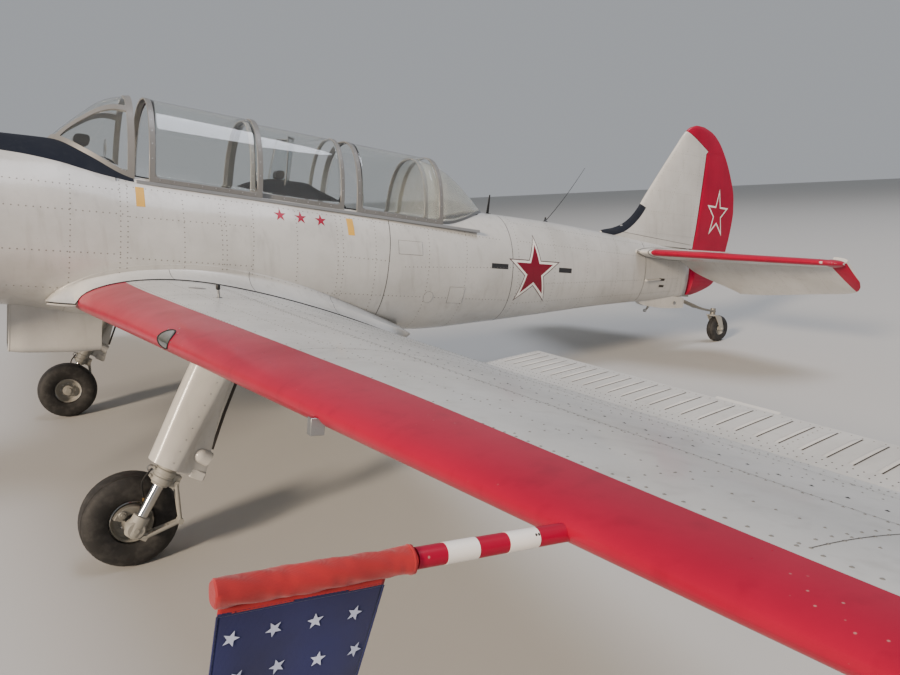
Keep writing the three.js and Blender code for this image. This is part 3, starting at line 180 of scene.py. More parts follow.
class Work:
    """The points and faces of one piece, gathered part by part in the frame's metres."""

    def __init__(self):
        self.points = []
        self.faces = []
        self.count = 0

    def add(self, points, faces):
        points = np.asarray(points, float).reshape(-1, 3)
        self.faces.extend([tuple(self.count + i for i in face) for face in faces])
        self.points.append(points)
        self.count += len(points)

    def grid(self, grid, loop_u=False, loop_v=False, flip=False):
        """Lay faces over a grid of places, joined end to end where a loop is asked for."""
        n, m = grid.shape[:2]
        faces = []
        for i in range(n if loop_u else n - 1):
            for j in range(m if loop_v else m - 1):
                a, b = i * m + j, ((i + 1) % n) * m + j
                c, d = ((i + 1) % n) * m + (j + 1) % m, i * m + (j + 1) % m
                faces.append((a, d, c, b) if flip else (a, b, c, d))
        self.add(grid, faces)

    def cap(self, ring, flip=False):
        """A fan from the middle of a closed ring."""
        n = len(ring)
        faces = [(n, (i + 1) % n, i) if flip else (n, i, (i + 1) % n) for i in range(n)]
        self.add(np.vstack([ring, ring.mean(0)]), faces)

    def loft(self, rings):
        """Closed rings joined in order, shut at both ends."""
        rings = np.asarray(rings)
        self.grid(rings, loop_v=True)
        self.cap(rings[0], flip=True)
        self.cap(rings[-1])

    def tube(self, path, radius, sides, loop=False):
        """A round bar along a path of points; radius in metres, one value or one for each point."""
        path = np.asarray(path, float)
        radius = np.broadcast_to(radius, len(path))
        along = np.roll(path, -1, 0) - np.roll(path, 1, 0) if loop else np.gradient(path, axis=0)
        along /= np.linalg.norm(along, axis=1)[:, None]
        side = square_to(along[0])
        rings = []
        turn = np.linspace(0, 2 * np.pi, sides, endpoint=False)
        for point, direction, r in zip(path, along, radius):
            side = side - direction * (side @ direction)
            side /= np.linalg.norm(side)
            other = np.cross(direction, side)
            rings.append(point + r * (np.cos(turn)[:, None] * side + np.sin(turn)[:, None] * other))
        self.grid(np.array(rings), loop_u=loop, loop_v=True)
        if not loop:
            self.cap(rings[0])
            self.cap(rings[-1])

    def lathe(self, profile, centre, axis, sides, closed=False):
        """Rows of (along, radius) in millimetres turned about an axis through a centre in metres."""
        profile = np.asarray(profile, float) / 1000
        axis = np.asarray(axis, float) / np.linalg.norm(axis)
        side = square_to(axis)
        side /= np.linalg.norm(side)
        other = np.cross(axis, side)
        turn = np.linspace(0, 2 * np.pi, sides, endpoint=False)
        spoke = np.cos(turn)[:, None] * side + np.sin(turn)[:, None] * other
        rings = np.array([np.asarray(centre) + along * axis + r * spoke for along, r in profile])
        self.grid(rings, loop_u=closed, loop_v=True)

    def block(self, corners):
        """Eight corners, four below and the four above them."""
        self.add(corners, [(0, 3, 2, 1), (4, 5, 6, 7), (0, 1, 5, 4), (1, 2, 6, 5), (2, 3, 7, 6),
                           (3, 0, 4, 7)])

    def bar_block(self, s, y, h):
        """A level block between limits in s, y and h, in millimetres."""
        self.block([at(s[i], y[j], h[k]) for k in (0, 1) for i, j in ((0, 0), (1, 0), (1, 1), (0, 1))])

    def bar(self, points, radius, sides=10, flip=(1, 1, 1), loop=False):
        """A round bar through level (s, y, h) points in millimetres."""
        self.tube(at(*np.transpose(np.asarray(points, float))) * flip, radius, sides, loop=loop)

    def piece(self, name, material, slot=None, stands_for=(), body="airframe", bevel=0, weld=0, smooth=35,
              thick=0, outward=None):
        """Makes the object: its body, its finish, what it stands for, and its edges and thickness."""
        mesh = bpy.data.meshes.new(name)
        mesh.from_pydata(np.vstack(self.points).tolist(), [], self.faces)
        thing = bpy.data.objects.new(name, mesh)
        bpy.context.scene.collection.objects.link(thing)
        tidy_normals(mesh, weld, outward)
        mesh.shade_smooth()
        mesh.set_sharp_from_angle(angle=math.radians(smooth))
        mesh.materials.append(material)
        if thick:
            shell = thing.modifiers.new("sheet", "SOLIDIFY")
            shell.thickness = thick
            shell.offset = -1
        if bevel:
            edge = thing.modifiers.new("edge", "BEVEL")
            edge.width = bevel
            edge.segments = 2
            edge.angle_limit = math.radians(40)
        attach(thing, body)
        if stands_for:
            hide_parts(*stands_for)
        return thing


def tidy_normals(mesh, weld, outward):
    """Joins points that meet, and turns faces outward: away from a place, or by the shell's own inside."""
    import bmesh
    work = bmesh.new()
    work.from_mesh(mesh)
    if weld:
        bmesh.ops.remove_doubles(work, verts=work.verts, dist=weld)
    if outward is None:
        bmesh.ops.recalc_face_normals(work, faces=work.faces)
    else:
        centre = Vector(outward)
        for face in work.faces:
            if face.normal.dot(face.calc_center_median() - centre) < 0:
                face.normal_flip()
    work.to_mesh(mesh)
    work.free()
    mesh.update()


# White enamel: gloss coach paint sprayed on riveted aluminium and left outdoors for years. It reads as
# a warm off-white skin, a little wavy between its rivets, with faint grime clouds, specks and chips.
def sprayed_enamel(name, colour, grime, roughness, coat, wave=0.6, speck=0.55, chip_colour="#6B665E",
                   shine=0.5):
    """A sprayed coat under clear gloss: soft grime clouds, specks, chips and a slow waviness."""
    m = new_material(name)
    place = add(m, "TexCoord").outputs["Object"]
    grime_cloud = add(m, "TexNoise", {"Scale": 2.3, "Detail": 7.0, "Roughness": 0.62, "Vector": place})
    cloud = add(m, "MapRange", {"From Min": 0.42, "From Max": 0.78, "To Max": 0.42, "Value": grime_cloud})
    # runs of grime 40 mm apart that follow the fall of the rain
    stretch = add(m, "Mapping", {"Scale": (24, 24, 2.2), "Vector": place})
    run_noise = add(m, "TexNoise", {"Scale": 1.0, "Detail": 4.0, "Vector": stretch})
    runs = add(m, "MapRange", {"From Min": 0.55, "From Max": 0.8, "To Max": 0.3, "Value": run_noise})
    # stone chips of 1 to 2 mm, one in every 20 mm cell, where a wider noise lets them show
    cells = add(m, "TexVoronoi", {"Scale": 50.0, "Vector": place})
    chip = add(m, "MapRange", {"From Min": 0.1, "From Max": 0.05, "To Max": 1.0,
                               "Value": cells.outputs["Distance"]})
    spread = add(m, "TexNoise", {"Scale": 5.0, "Detail": 3.0, "Vector": place})
    where = add(m, "MapRange", {"From Min": 0.54, "From Max": 0.62, "To Max": speck, "Value": spread})
    chips = add(m, "Math", {"operation": "MULTIPLY", 0: chip, 1: where})
    base = add(m, "Mix", {"data_type": "RGBA", 6: linear(colour), 7: linear(grime), 0: cloud})
    worn = add(m, "Mix", {"data_type": "RGBA", 7: linear(grime), 0: runs, 6: base.outputs[2]})
    chipped = add(m, "Mix", {"data_type": "RGBA", 7: linear(chip_colour), 0: chips, 6: worn.outputs[2]})
    gloss = add(m, "MapRange", {"To Min": roughness - 0.07, "To Max": roughness + 0.16, "Value": grime_cloud})
    # oil-canning of thin sheet over 250 mm bays, and orange peel drawn at 6 mm so that it shows
    bays = add(m, "TexNoise", {"Scale": 4.0, "Detail": 1.0, "Vector": place})
    wavy = add(m, "Bump", {"Strength": wave, "Distance": 0.004, "Height": bays})
    peel = add(m, "TexNoise", {"Scale": 160.0, "Detail": 2.0, "Vector": place})
    skin = add(m, "Bump", {"Strength": 0.05, "Distance": 0.0006, "Height": peel, "Normal": wavy})
    shader = add(m, "BsdfPrincipled", {"IOR": 1.5, "Coat Weight": coat, "Coat Roughness": 0.12,
                                       "Specular IOR Level": shine, "Base Color": chipped.outputs[2],
                                       "Roughness": gloss, "Normal": skin})
    add(m, "OutputMaterial", {"Surface": shader})
    return m


white_enamel = sprayed_enamel("sprayed_white_enamel", "#C3C2BE", "#827E76", 0.27, 0.3)
# rivet heads: the skin's enamel coloured much darker, as grime and painted shade round each head
rivet_grime_and_painted_shade = sprayed_enamel("grime_and_painted_shade_on_rivets", "#7C7972", "#4F4B44", 0.5, 0.0, wave=0.0, speck=0.0)

HULL = smooth_table([
    [1420, 553, -483, 518, 35, 2.0], [1600, 560, -424, 513, 25, 2.05], [1750, 567, -346, 506, 10, 2.1],
    [1864, 569, -313, 498, 0, 2.1], [2061, 572, -335, 488, 0, 2.1], [2250, 545, -365, 476, 0, 2.1],
    [2460, 502, -378, 466, 0, 2.1], [3100, 474, -402, 450, 0, 2.1], [3750, 451, -425, 425, 0, 2.1],
    [4300, 444, -422, 385, 15, 2.1], [4888, 437, -365, 322, 35, 2.1], [5475, 425, -290, 252, 60, 2.1],
    [6036, 392, -215, 188, 85, 2.1], [6600, 356, -155, 122, 100, 2.1], [7122, 326, -100, 42, 112, 2.1]])
HULL_FRONT, HULL_BACK = 1420, 7122
OPENING = np.array([[2104, 0], [2105, 12], [2130, 95], [2180, 160], [2250, 212], [2350, 258], [2460, 284],
                    [3100, 284], [3750, 276], [4300, 262], [4500, 235], [4650, 185], [4760, 120],
                    [4810, 55], [4825, 12], [4826, 0]])


def signed_power(value, power):
    return np.sign(value) * np.abs(value) ** power


def unit(vectors):
    return vectors / np.linalg.norm(vectors, axis=-1)[..., None]


def hull(s, turn, out=0):
    """A place on the hull: turn is 0 at the port side, a quarter turn at the crown."""
    s, turn = np.broadcast_arrays(np.asarray(s, float), np.asarray(turn, float))
    crown, belly, half, widest, power = HULL(s)
    up = np.where(np.sin(turn) >= 0, crown - widest, widest - belly)
    y = signed_power(np.cos(turn), 2 / power) * (half + out)
    return at(s, y, widest + signed_power(np.sin(turn), 2 / power) * (up + out))


def hull_turn(s, h):
    """The turn at which the hull's port side passes a height."""
    crown, belly, _, widest, power = HULL(s)
    up = np.where(h >= widest, crown - widest, widest - belly)
    rise = np.clip((h - widest) / up, -1, 1)
    return np.arcsin(signed_power(rise, power / 2))


def hull_top(s, y):
    crown, _, half, widest, power = HULL(s)
    return widest + (crown - widest) * np.clip(1 - np.clip(np.abs(y) / half, 0, 1) ** power, 0,
                                               1) ** (1 / power)


def edge_turn(s, out=0):
    """The turn at which the port side meets the cockpit opening, or the crown where there is none."""
    _, _, half, _, power = HULL(s)
    half_open = np.interp(s, OPENING[:, 0], OPENING[:, 1])
    return np.arccos(np.clip(half_open / (half + out), 0, 1) ** (power / 2))


def both_sides(grid):
    """The port half of a piece and its mirror image."""
    return grid, grid * (1, -1, 1)


stations = np.unique(np.concatenate([np.linspace(HULL_FRONT, HULL_BACK, 110), OPENING[:, 0],
                                     np.linspace(2105, 2260, 12), np.linspace(4640, 4826, 12)]))
around = np.linspace(0, 1, 49)
top_turn = edge_turn(stations)
port_skin = hull(stations[:, None], -np.pi / 2 + around * (top_turn[:, None] + np.pi / 2))
skin = Work()
for half_skin in both_sides(port_skin):
    skin.grid(half_skin)
tail_ring = hull(HULL_BACK, np.linspace(0, 2 * np.pi, 48, endpoint=False))
skin.cap(tail_ring)
skin.cap(hull(HULL_FRONT, np.linspace(0, 2 * np.pi, 96, endpoint=False)))
middle_of_cabin = at(3600, 0, 0)
skin.piece("fuselage_skin", white_enamel, "white_paint", ["fuselage_shell"], weld=0.0004, thick=0.002,
           outward=middle_of_cabin)


# Cockpit lining: grey-green primed sheet inside the frames, with a rolled leather edge round the opening.
# The primer is dull and even, the leather grained and almost black.
def plain_paint(name, colour, roughness, grain=260.0, strength=0.15, metallic=0.0, shine=0.5):
    """A brushed or dipped finish with fine grain and slow patches of wear."""
    m = new_material(name)
    place = add(m, "TexCoord").outputs["Object"]
    patches = add(m, "TexNoise", {"Scale": 9.0, "Detail": 5.0, "Vector": place})
    darker = [c * 0.62 for c in linear(colour)[:3]] + [1]
    tone = add(m, "Mix", {"data_type": "RGBA", 6: linear(colour), 7: darker, 0: patches})
    fine = add(m, "TexNoise", {"Scale": grain, "Detail": 3.0, "Vector": place})
    rough = add(m, "MapRange", {"To Min": roughness - 0.1, "To Max": roughness + 0.12, "Value": fine})
    bump = add(m, "Bump", {"Strength": strength, "Distance": 0.0008, "Height": fine})
    shader = add(m, "BsdfPrincipled", {"Metallic": metallic, "Specular IOR Level": shine,
                                       "Base Color": tone.outputs[2], "Roughness": rough, "Normal": bump})
    add(m, "OutputMaterial", {"Surface": shader})
    return m


zinc_primer = plain_paint("brushed_grey_green_primer", "#6E7A70", 0.6)
black_leather = plain_paint("grained_black_leather", "#0B0B0E", 0.7, 420.0, 0.12, shine=0.16)
LINING_INSET = 15
lining_stations = stations[(stations > 1450) & (stations < 4900)]
lining_turn = edge_turn(lining_stations, -LINING_INSET)
lining = Work()
for half_lining in both_sides(hull(lining_stations[:, None], -np.pi / 2 + around
                                   * (lining_turn[:, None] + np.pi / 2), -LINING_INSET)):
    lining.grid(half_lining, flip=True)
lining.piece("cockpit_lining", zinc_primer, weld=0.0004)
edge_stations = np.linspace(2108, 4822, 130)
coaming = Work()
port_edge, starboard_edge = both_sides(hull(edge_stations, edge_turn(edge_stations), -6))
coaming.tube(np.vstack([port_edge, starboard_edge[::-1]]), 0.0085, 10, loop=True)
coaming.piece("opening_edge_roll", black_leather, "dark_trim")


# Rivets: mushroom heads of aluminium in rows, 26 or 30 mm apart, painted over with the skin; their darker
# colour is painted shade and grime. They are drawn a little wide so that they show. Lap joints between sheets
# show as thin dark lines.
def refined(a, b, count):
    """Two rows of corner values drawn out to a number of even steps."""
    a, b = np.broadcast_arrays(np.asarray(a, float), np.asarray(b, float))
    fine = np.linspace(0, len(a) - 1, count)
    return [np.interp(fine, range(len(a)), values) for values in (a, b)]


def walk(surface, a, b, pitch, step_a=0.5, step_b=0.002):
    """Places at even steps along a path on a surface, with the surface's own normals."""
    run = np.concatenate([[0], np.cumsum(np.linalg.norm(np.diff(surface(a, b), axis=0), axis=1))])
    steps = np.linspace(0, run[-1], max(2, int(run[-1] / pitch) + 1))
    a, b = (np.interp(steps, run, values) for values in (a, b))
    normal = np.cross(surface(a + step_a, b) - surface(a - step_a, b), surface(a, b + step_b)
                      - surface(a, b - step_b))
    return surface(a, b), unit(normal)


def face_out(place, normal, centre):
    turn = np.sum(normal * (place - centre), axis=1) < 0
    return np.where(turn[:, None], -normal, normal)


def studs(work, place, normal, radius, height=0.0013, sides=6):
    """Low cones on a surface for the heads of rivets and screws."""
    side = unit(np.cross(normal, (0.31, 0.9, 0.27)))
    other = np.cross(normal, side)
    turn = np.linspace(0, 2 * np.pi, sides, endpoint=False)
    ring = side[:, None] * np.cos(turn)[:, None] + other[:, None] * np.sin(turn)[:, None]
    rim = place[:, None] + radius * ring - 0.0002 * normal[:, None]
    points = np.concatenate([rim, (place + height * normal)[:, None]], axis=1)
    step = sides + 1
    faces = [(k * step + i, k * step + (i + 1) % sides, k * step + sides) for k in range(len(place))
             for i in range(sides)]
    work.add(points, faces)


def ribbon(work, place, normal, width, proud=0.0004):
    side = unit(np.cross(normal, np.gradient(place, axis=0)))
    base = place + proud * normal
    work.grid(np.stack([base - side * width / 2, base + side * width / 2], 1))


def hull_row(work, s, h, pitch, seam=None):
    """Rivets along a line of (s, h) points on both sides of the hull, and a joint line there if asked."""
    s, h = refined(s, h, 60)
    place, normal = walk(lambda a, b: hull(a, b, 0.3), s, hull_turn(s, h), pitch)
    centre = place * (1, 0, 1)
    centre[:, 2] = at(0, 0, 0)[2] - (at(0, 0, 0)[0] - centre[:, 0]) * math.tan(PITCH) + 0.05
    normal = face_out(place, normal, centre)
    for sign in (1, -1):
        flip = (1, sign, 1)
        studs(work, place * flip, normal * flip, 0.0038)
        if seam is not None:
            ribbon(seam, place * flip, normal * flip, 0.0042)


# dark paint for grime in lap joints and for dark steel, and also painted shade: beside the aileron beads, in
# slots and in drain holes
joint_grime_and_painted_shade = plain_paint("joint_grime_and_painted_shade_line", "#3A3632", 0.8)
hull_rivets = Work()
hull_seams = Work()


# Rivet lines: down each frame, as (s at the top, s at the foot), and along each stringer, as (s, h) points.
FRAME_LINES = [(2150, 2147), (2381, 2379), (2416, 2412), (2692, 2703), (2888, 2908), (2912, 2932),
               (3073, 3066), (3330, 3330), (3586, 3588), (3622, 3622), (3850, 3836), (3962, 3912),
               (4250, 4232), (4560, 4545), (4960, 4990), (5022, 5046), (5400, 5410), (5760, 5768),
               (6120, 6124), (6480, 6480), (6800, 6800), (6960, 6962)]
SEAM_FRAMES = {3962, 4960, 6480}
for upper_s, lower_s in FRAME_LINES:
    crown, belly, half, widest, power = HULL(float(upper_s))
    top_h = min(float(crown) - 12, 300 if 2100 < upper_s < 4880 else 1000)
    if 1500 < upper_s < 2460:
        top_h = 372
    hull_row(hull_rivets, [upper_s, (upper_s + lower_s) / 2, lower_s], [top_h, 40, float(belly) + 10], 0.026,
             hull_seams if upper_s in SEAM_FRAMES else None)
STRINGER_LINES = [[(1560, 200), (2390, 200)], [(2425, 190), (3060, 192)], [(1560, -6), (2380, -4)],
                  [(2430, -20), (3060, -28)], [(1560, 330), (2375, 322)], [(2420, 345), (4860, 248)],
                  [(3090, -160), (4980, -176)], [(1640, -180), (2380, -196)], [(4060, 20), (4980, 60)],
                  [(5060, 250), (6980, 210)], [(5060, -60), (6980, 60)], [(5060, -200), (6980, -50)],
                  [(5060, 380), (6980, 300)], [(3640, 60), (3940, 50)]]
for line in STRINGER_LINES:
    hull_row(hull_rivets, *zip(*line), 0.03)
hull_row(hull_rivets, (1440, 1440), (560, -440), 0.03)
hull_rivets.piece("hull_rivets", rivet_grime_and_painted_shade, "white_paint", smooth=80)
hull_seams.piece("hull_joint_lines", joint_grime_and_painted_shade)


# Hull hatches: a round filler door and two small flush panels of aluminium sheet on each side, sprayed with
# the skin, with a thin dark joint line round each.
def on_hull(s, h, out):
    """The port side of the hull at level s and h."""
    return hull(s, hull_turn(np.asarray(s, float), np.asarray(h, float)), out)


def patch(work, outline, out, rings=7):
    """A sheet laid on each side of the hull inside a closed outline of level (s, h) points."""
    outline = np.asarray(outline, float)
    middle = outline.mean(0)
    grow = np.linspace(0.0, 1, rings)[:, None, None]
    flat = middle + grow * (outline - middle)
    for half in both_sides(on_hull(flat[..., 0], flat[..., 1], out)):
        work.grid(half, loop_v=True)


def drawn_outline(corners, steps):
    """A closed outline through corners, each side in even steps."""
    t = np.linspace(0, 1, steps, endpoint=False)
    return [np.array(a) + (np.array(b) - a) * k for a, b in zip(corners, corners[1:] + corners[:1])
            for k in t]


def box_outline(s0, s1, h0, h1, steps=6):
    return drawn_outline([(s0, h0), (s1, h0), (s1, h1), (s0, h1)], steps)


def round_outline(s, h, radius, steps=36):
    turn = np.linspace(0, 2 * np.pi, steps, endpoint=False)
    return np.stack([s + radius * np.cos(turn), h + radius * np.sin(turn)], 1)


FILLER = (4269, -169, 38)
HATCH_LIMITS = [(4010, 4190, 100, 185), (4430, 4560, -205, -95)]
hatches = Work()
patch(hatches, round_outline(*FILLER), 1.2)
for limits in HATCH_LIMITS:
    patch(hatches, box_outline(*limits), 1.0)
hatches.piece("hull_hatches", white_enamel, "white_paint")
hatch_lines = Work()
for outline in [round_outline(*FILLER, 48)] + [box_outline(*limits, steps=8) for limits in HATCH_LIMITS]:
    loop = np.array(list(outline) + [outline[0]])
    for half in both_sides(on_hull(loop[:, 0], loop[:, 1], 0.8)):
        hatch_lines.tube(half, 0.0008, 4)
hatch_lines.piece("hatch_joint_lines", joint_grime_and_painted_shade)


# Painted marks: matt navy anti-glare paint ahead of the windscreen and beside its foot, a red star with
# a white edge and a thin red line round it, black dashes, small red stars and yellow step marks.
navy_paint = sprayed_enamel("sprayed_matt_navy", "#131824", "#33363C", 0.74, 0.0, speck=0.3,
                            chip_colour="#8B8A86", shine=0.22)
red_enamel = sprayed_enamel("sprayed_gloss_red_enamel", "#A00630", "#640A20", 0.28, 0.15, wave=0.4,
                            speck=0.45, chip_colour="#B09A90", shine=0.16)
maroon_line = sprayed_enamel("masked_dark_maroon_enamel", "#3A141B", "#2A1014", 0.4, 0.1)
maroon_field = sprayed_enamel("masked_maroon_enamel", "#7A1029", "#5A0A1C", 0.35, 0.15, shine=0.2)
black_paint = sprayed_enamel("masked_black_paint", "#1B1C20", "#3A3A3A", 0.45, 0.1)
yellow_paint = sprayed_enamel("brushed_yellow_paint", "#D9A63C", "#9C7A35", 0.5, 0.0)
bright_white = sprayed_enamel("masked_white_paint", "#ECE9E2", "#A8A093", 0.35, 0.2)
GLARE_EDGE = smooth_table([[1420, 488], [1640, 474], [1864, 459], [1939, 455], [2024, 446], [2112, 433],
                           [2201, 414], [2293, 395], [2389, 381], [2437, 374], [2462, 372]])
glare = Work()
glare_s = np.linspace(1420, 2458, 90)
glare_low = hull_turn(glare_s, GLARE_EDGE(glare_s)[0])
glare_high = edge_turn(glare_s)
glare_turn = glare_low[:, None] + (glare_high - glare_low)[:, None] * np.linspace(0, 1, 16)
for half_panel in both_sides(hull(glare_s[:, None], glare_turn, 0.6)):
    glare.grid(half_panel)
glare.piece("anti_glare_paint", navy_paint)


STAR_WAIST = 0.382  # a star's inner corners, as a share of its radius


def star_outline(s, h, radius, steps=6):
    """The (s, h) points round a five-pointed star, point upward, each edge cut into steps."""
    corners = []
    for k in range(10):
        r = radius * STAR_WAIST if k % 2 else radius
        a = math.radians(90 + 36 * k)
        corners.append((s - r * math.cos(a), h + r * math.sin(a)))
    return drawn_outline(corners, steps)


STAR_PLACE = (5192, 39)
STAR_RADIUS = 270
marks = {"star_red_line": (maroon_line, STAR_RADIUS, 0.5),
         "star_white_edge": (bright_white, STAR_RADIUS - 20, 0.8),
         "star_red_field": (maroon_field, STAR_RADIUS - 74, 1.1)}
for name, (paint, radius, out) in marks.items():
    star = Work()
    patch(star, star_outline(*STAR_PLACE, radius), out, rings=12)
    star.piece(name, paint)
dashes = Work()
for front, back in ((4776, 4930), (5446, 5584)):
    patch(dashes, box_outline(front, back, 46, 82, steps=5), 0.6)
dashes.piece("side_dashes", black_paint)
small_stars = Work()
for star_s in (3236, 3362, 3488):
    patch(small_stars, star_outline(star_s, 272 - (star_s - 3236) * 0.04, 38), 0.6, rings=5)
small_stars.piece("small_red_stars", red_enamel)
step_marks = Work()
for limits in ((2458, 2502, 246, 348), (3660, 3704, 190, 290)):
    patch(step_marks, box_outline(*limits), 0.6)
step_marks.piece("yellow_step_marks", yellow_paint)


# Canopy hoods: welded steel arches and sill rails sprayed light grey, black rubber seals below them,
# and blown acrylic sheet screwed between.
grey_enamel = sprayed_enamel("sprayed_light_grey_enamel", "#727271", "#514F4B", 0.38, 0.15, wave=0.1)


def acrylic(name, tint, haze):
    """Blown acrylic: clear, faintly grey, with fine scratches and a dusty haze along the light."""
    m = new_material(name)
    place = add(m, "TexCoord").outputs["Object"]
    scratch = add(m, "TexNoise", {"Scale": 38.0, "Detail": 8.0, "Roughness": 0.7, "Vector": place})
    dust = add(m, "MapRange", {"From Min": 0.4, "From Max": 0.75, "To Min": haze * 0.5, "To Max": haze,
                               "Value": scratch})
    rough = add(m, "MapRange", {"To Min": 0.01, "To Max": 0.06, "Value": scratch})
    pane = add(m, "BsdfPrincipled", {"Base Color": linear(tint), "IOR": 1.49, "Transmission Weight": 1.0,
                                     "Roughness": rough})
    film = add(m, "BsdfDiffuse", {"Color": linear("#C4C2BC")})
    dusty = add(m, "MixShader", {0: dust, 1: pane, 2: film})
    clear = add(m, "BsdfTransparent", {"Color": linear(tint)})
    path = add(m, "LightPath")
    mix = add(m, "MixShader", {0: path.outputs["Is Shadow Ray"], 1: dusty, 2: clear})
    add(m, "OutputMaterial", {"Surface": mix})
    return m


canopy_acrylic = acrylic("blown_canopy_acrylic", "#F4F6F5", 0.014)
black_rubber = plain_paint("moulded_black_rubber", "#161617", 0.75, 300.0, 0.3)
bright_steel = plain_paint("turned_bright_steel", "#B8B8B6", 0.3, 500.0, 0.05, 1.0)
RAIL_SLOPE = 0.040
ARCH_POWER = 2.35


def rail_h(s):
    return 379 - (np.asarray(s, float) - 2460) * RAIL_SLOPE


def arch(s, turn, half, top, out, power=ARCH_POWER):
    """A place on a hood: turn is 0 at the port sill, a quarter turn at the top."""
    s, turn, half, top = np.broadcast_arrays(*(np.asarray(v, float) for v in (s, turn, half, top)))
    base = rail_h(s)
    y = signed_power(np.cos(turn), 2 / power) * (half + out)
    return at(s, y, base + np.sin(turn) ** (2 / power) * (top + out - base))


def arch_turn(s, top, above):
    """The turn at which a hood stands a height above its sill."""
    return np.arcsin((above / (top - rail_h(s))) ** (ARCH_POWER / 2))


ARCH_STEPS = 56
FRAME_DEPTH = 9
# each hood: front, back, half width at both, top, width of its arches, foot and upper edge of its rail, body
HOODS = {"front": (2530, 3146, 326, 324, 857.56, 32, 8, 34, "front_canopy"),
         "middle": (3080, 3668, 299, 292, 817.6, 26, -60, 40, "airframe"),
         "rear": (3740, 4370, 318, 312, 790.7, 32, 8, 34, "rear_canopy")}
CORNER_REACH = 26


def sweep_arch(work, s0, s1, half, top, leg_base, deep=FRAME_DEPTH, out=0.0, power=ARCH_POWER):
    """A flat band bent over the hood, with straight legs down to the sill."""
    turn = np.linspace(0, np.pi, ARCH_STEPS)
    rings = []
    for side_s, depth in ((s0, 0), (s1, 0), (s1, -deep), (s0, -deep)):
        line = arch(side_s, turn, half(side_s), top(side_s), depth + out, power)
        leg = at(side_s, half(side_s) + depth + out, rail_h(side_s) + leg_base)
        rings.append(np.vstack([leg, line, leg * (1, -1, 1)]))
    work.loft(np.stack(rings, 1))


for hood, (s0, s1, half0, half1, top0, wide, low, high, body) in HOODS.items():
    half = lambda s, a=s0, b=s1, u=half0, v=half1: u + (v - u) * (s - a) / (b - a)
    top = lambda s, a=s0, t=top0: t - (s - a) * RAIL_SLOPE
    bars = Work()
    for a, b in ((s0, s0 + wide), (s1 - wide, s1)):
        sweep_arch(bars, a, b, half, top, low)
    rail_s = np.linspace(s0 + wide - 2, s1 - wide + 2, 24)
    low_rail = max(low, -10)
    section = [(0, low_rail), (0.4, high), (-FRAME_DEPTH, high), (-FRAME_DEPTH, low_rail)]
    for sign in (1, -1):
        bars.loft(np.stack([at(rail_s, half(rail_s) + d, rail_h(rail_s) + h) * (1, sign, 1) for d,
                            h in section], 1))
        # gussets that round the corners between arches and rails
        for corner_s, way in ((s0 + wide, 1), (s1 - wide, -1)):
            corner_h = rail_h(corner_s) + high
            line = [(corner_s - way, corner_h - 1)]
            for t in np.linspace(0, np.pi / 2, 7):
                line.append((corner_s + way * CORNER_REACH * (1 - math.sin(t)), corner_h + CORNER_REACH
                             * (1 - math.cos(t))))
            s, h = np.transpose(line)
            bars.loft(np.stack([at(s, half(s) - depth, h) * (1, sign, 1)
                                for depth in (0.5, FRAME_DEPTH - 0.5)]))
    bars.piece(f"{hood}_hood_frame", grey_enamel, "frame_paint", [f"canopy_{hood}_frame"], bevel=0.0022,
               body=body)
    glass_s = np.linspace(s0 + wide - 14, s1 - wide + 14, 20)
    start = arch_turn(glass_s, top(glass_s), high - 12)
    glass_turn = start[:, None] + (np.pi - 2 * start[:, None]) * np.linspace(0, 1, 64)
    pane = Work()
    pane.grid(arch(glass_s[:, None], glass_turn, half(glass_s)[:, None], top(glass_s)[:, None], -3.2))
    pane.piece(f"{hood}_hood_glass", canopy_acrylic, "glazing", [f"canopy_{hood}_glass"], thick=0.003,
               outward=at((s0 + s1) / 2, 0, 380), body=body)
    screws, seal = Work(), Work()
    places, normals = [], []
    sill = max(low, 8)
    for sign in (1, -1):
        for s in np.arange(s0 + 55, s1 - 40, 74):
            places.append(at(s, half(s) + 0.6, rail_h(s) + (high + sill) / 2 + 2) * (1, sign, 1))
            normals.append((0, sign, 0))
    for s in (s0 + wide / 2, s1 - wide / 2):
        for turn in np.linspace(0.22, np.pi - 0.22, 17):
            place = arch(s, turn, half(s), top(s), 0.4)
            places.append(place)
            normals.append(place - arch(s, turn, half(s), top(s), -20))
    studs(screws, np.array(places), unit(np.array(normals, float)), 0.0038, 0.0012, 8)
    screws.piece(f"{hood}_hood_screws", bright_steel, "steel", smooth=80, body=body)
    seal_s = np.linspace(s0 + 2, s1 - 2, 30)
    foot = -2 if hood == "middle" else sill
    for half_seal in both_sides(at(seal_s, half(seal_s) - 4, rail_h(seal_s) + foot - 3.2)):
        seal.tube(half_seal, 0.0042, 8)
    seal.piece(f"{hood}_hood_seal", black_rubber, "dark_trim", body=body)


# Windscreen: one curved front pane and two side panes of acrylic, in a frame of welded steel strips that is
# sprayed light grey and screwed to the deck.
SCREEN = smooth_table([[2061, 16, 560], [2100, 90, 606], [2160, 162, 668], [2230, 212, 734],
                       [2307, 254, 800], [2360, 278, 830], [2410, 294, 846], [2462, 304, 855]])
SCREEN_POWER = 2.2


def screen(s, turn, out):
    half, top = SCREEN(s)
    return arch(s, turn, half, top, out, SCREEN_POWER)


def deck_turn(s, half, top, power, above):
    """The turn at which a glazed arch leaves the hull, plus a height along it, found by stepping up it."""
    turns = np.linspace(0.0, np.pi / 2, 400)
    found = []
    for one_s, one_half, one_top in zip(s, half, top):
        base = rail_h(one_s)
        y = np.cos(turns) ** (2 / power) * one_half
        h = base + np.sin(turns) ** (2 / power) * (one_top - base)
        clear = np.nonzero(h > hull_top(one_s, y) + above)[0]
        found.append(turns[clear[0]] if len(clear) else np.pi / 2)
    return np.array(found)


screen_s = np.linspace(2068, 2461, 60)
foot, strip_top = (deck_turn(screen_s, *SCREEN(screen_s), SCREEN_POWER, above) for above in (-2, 24))


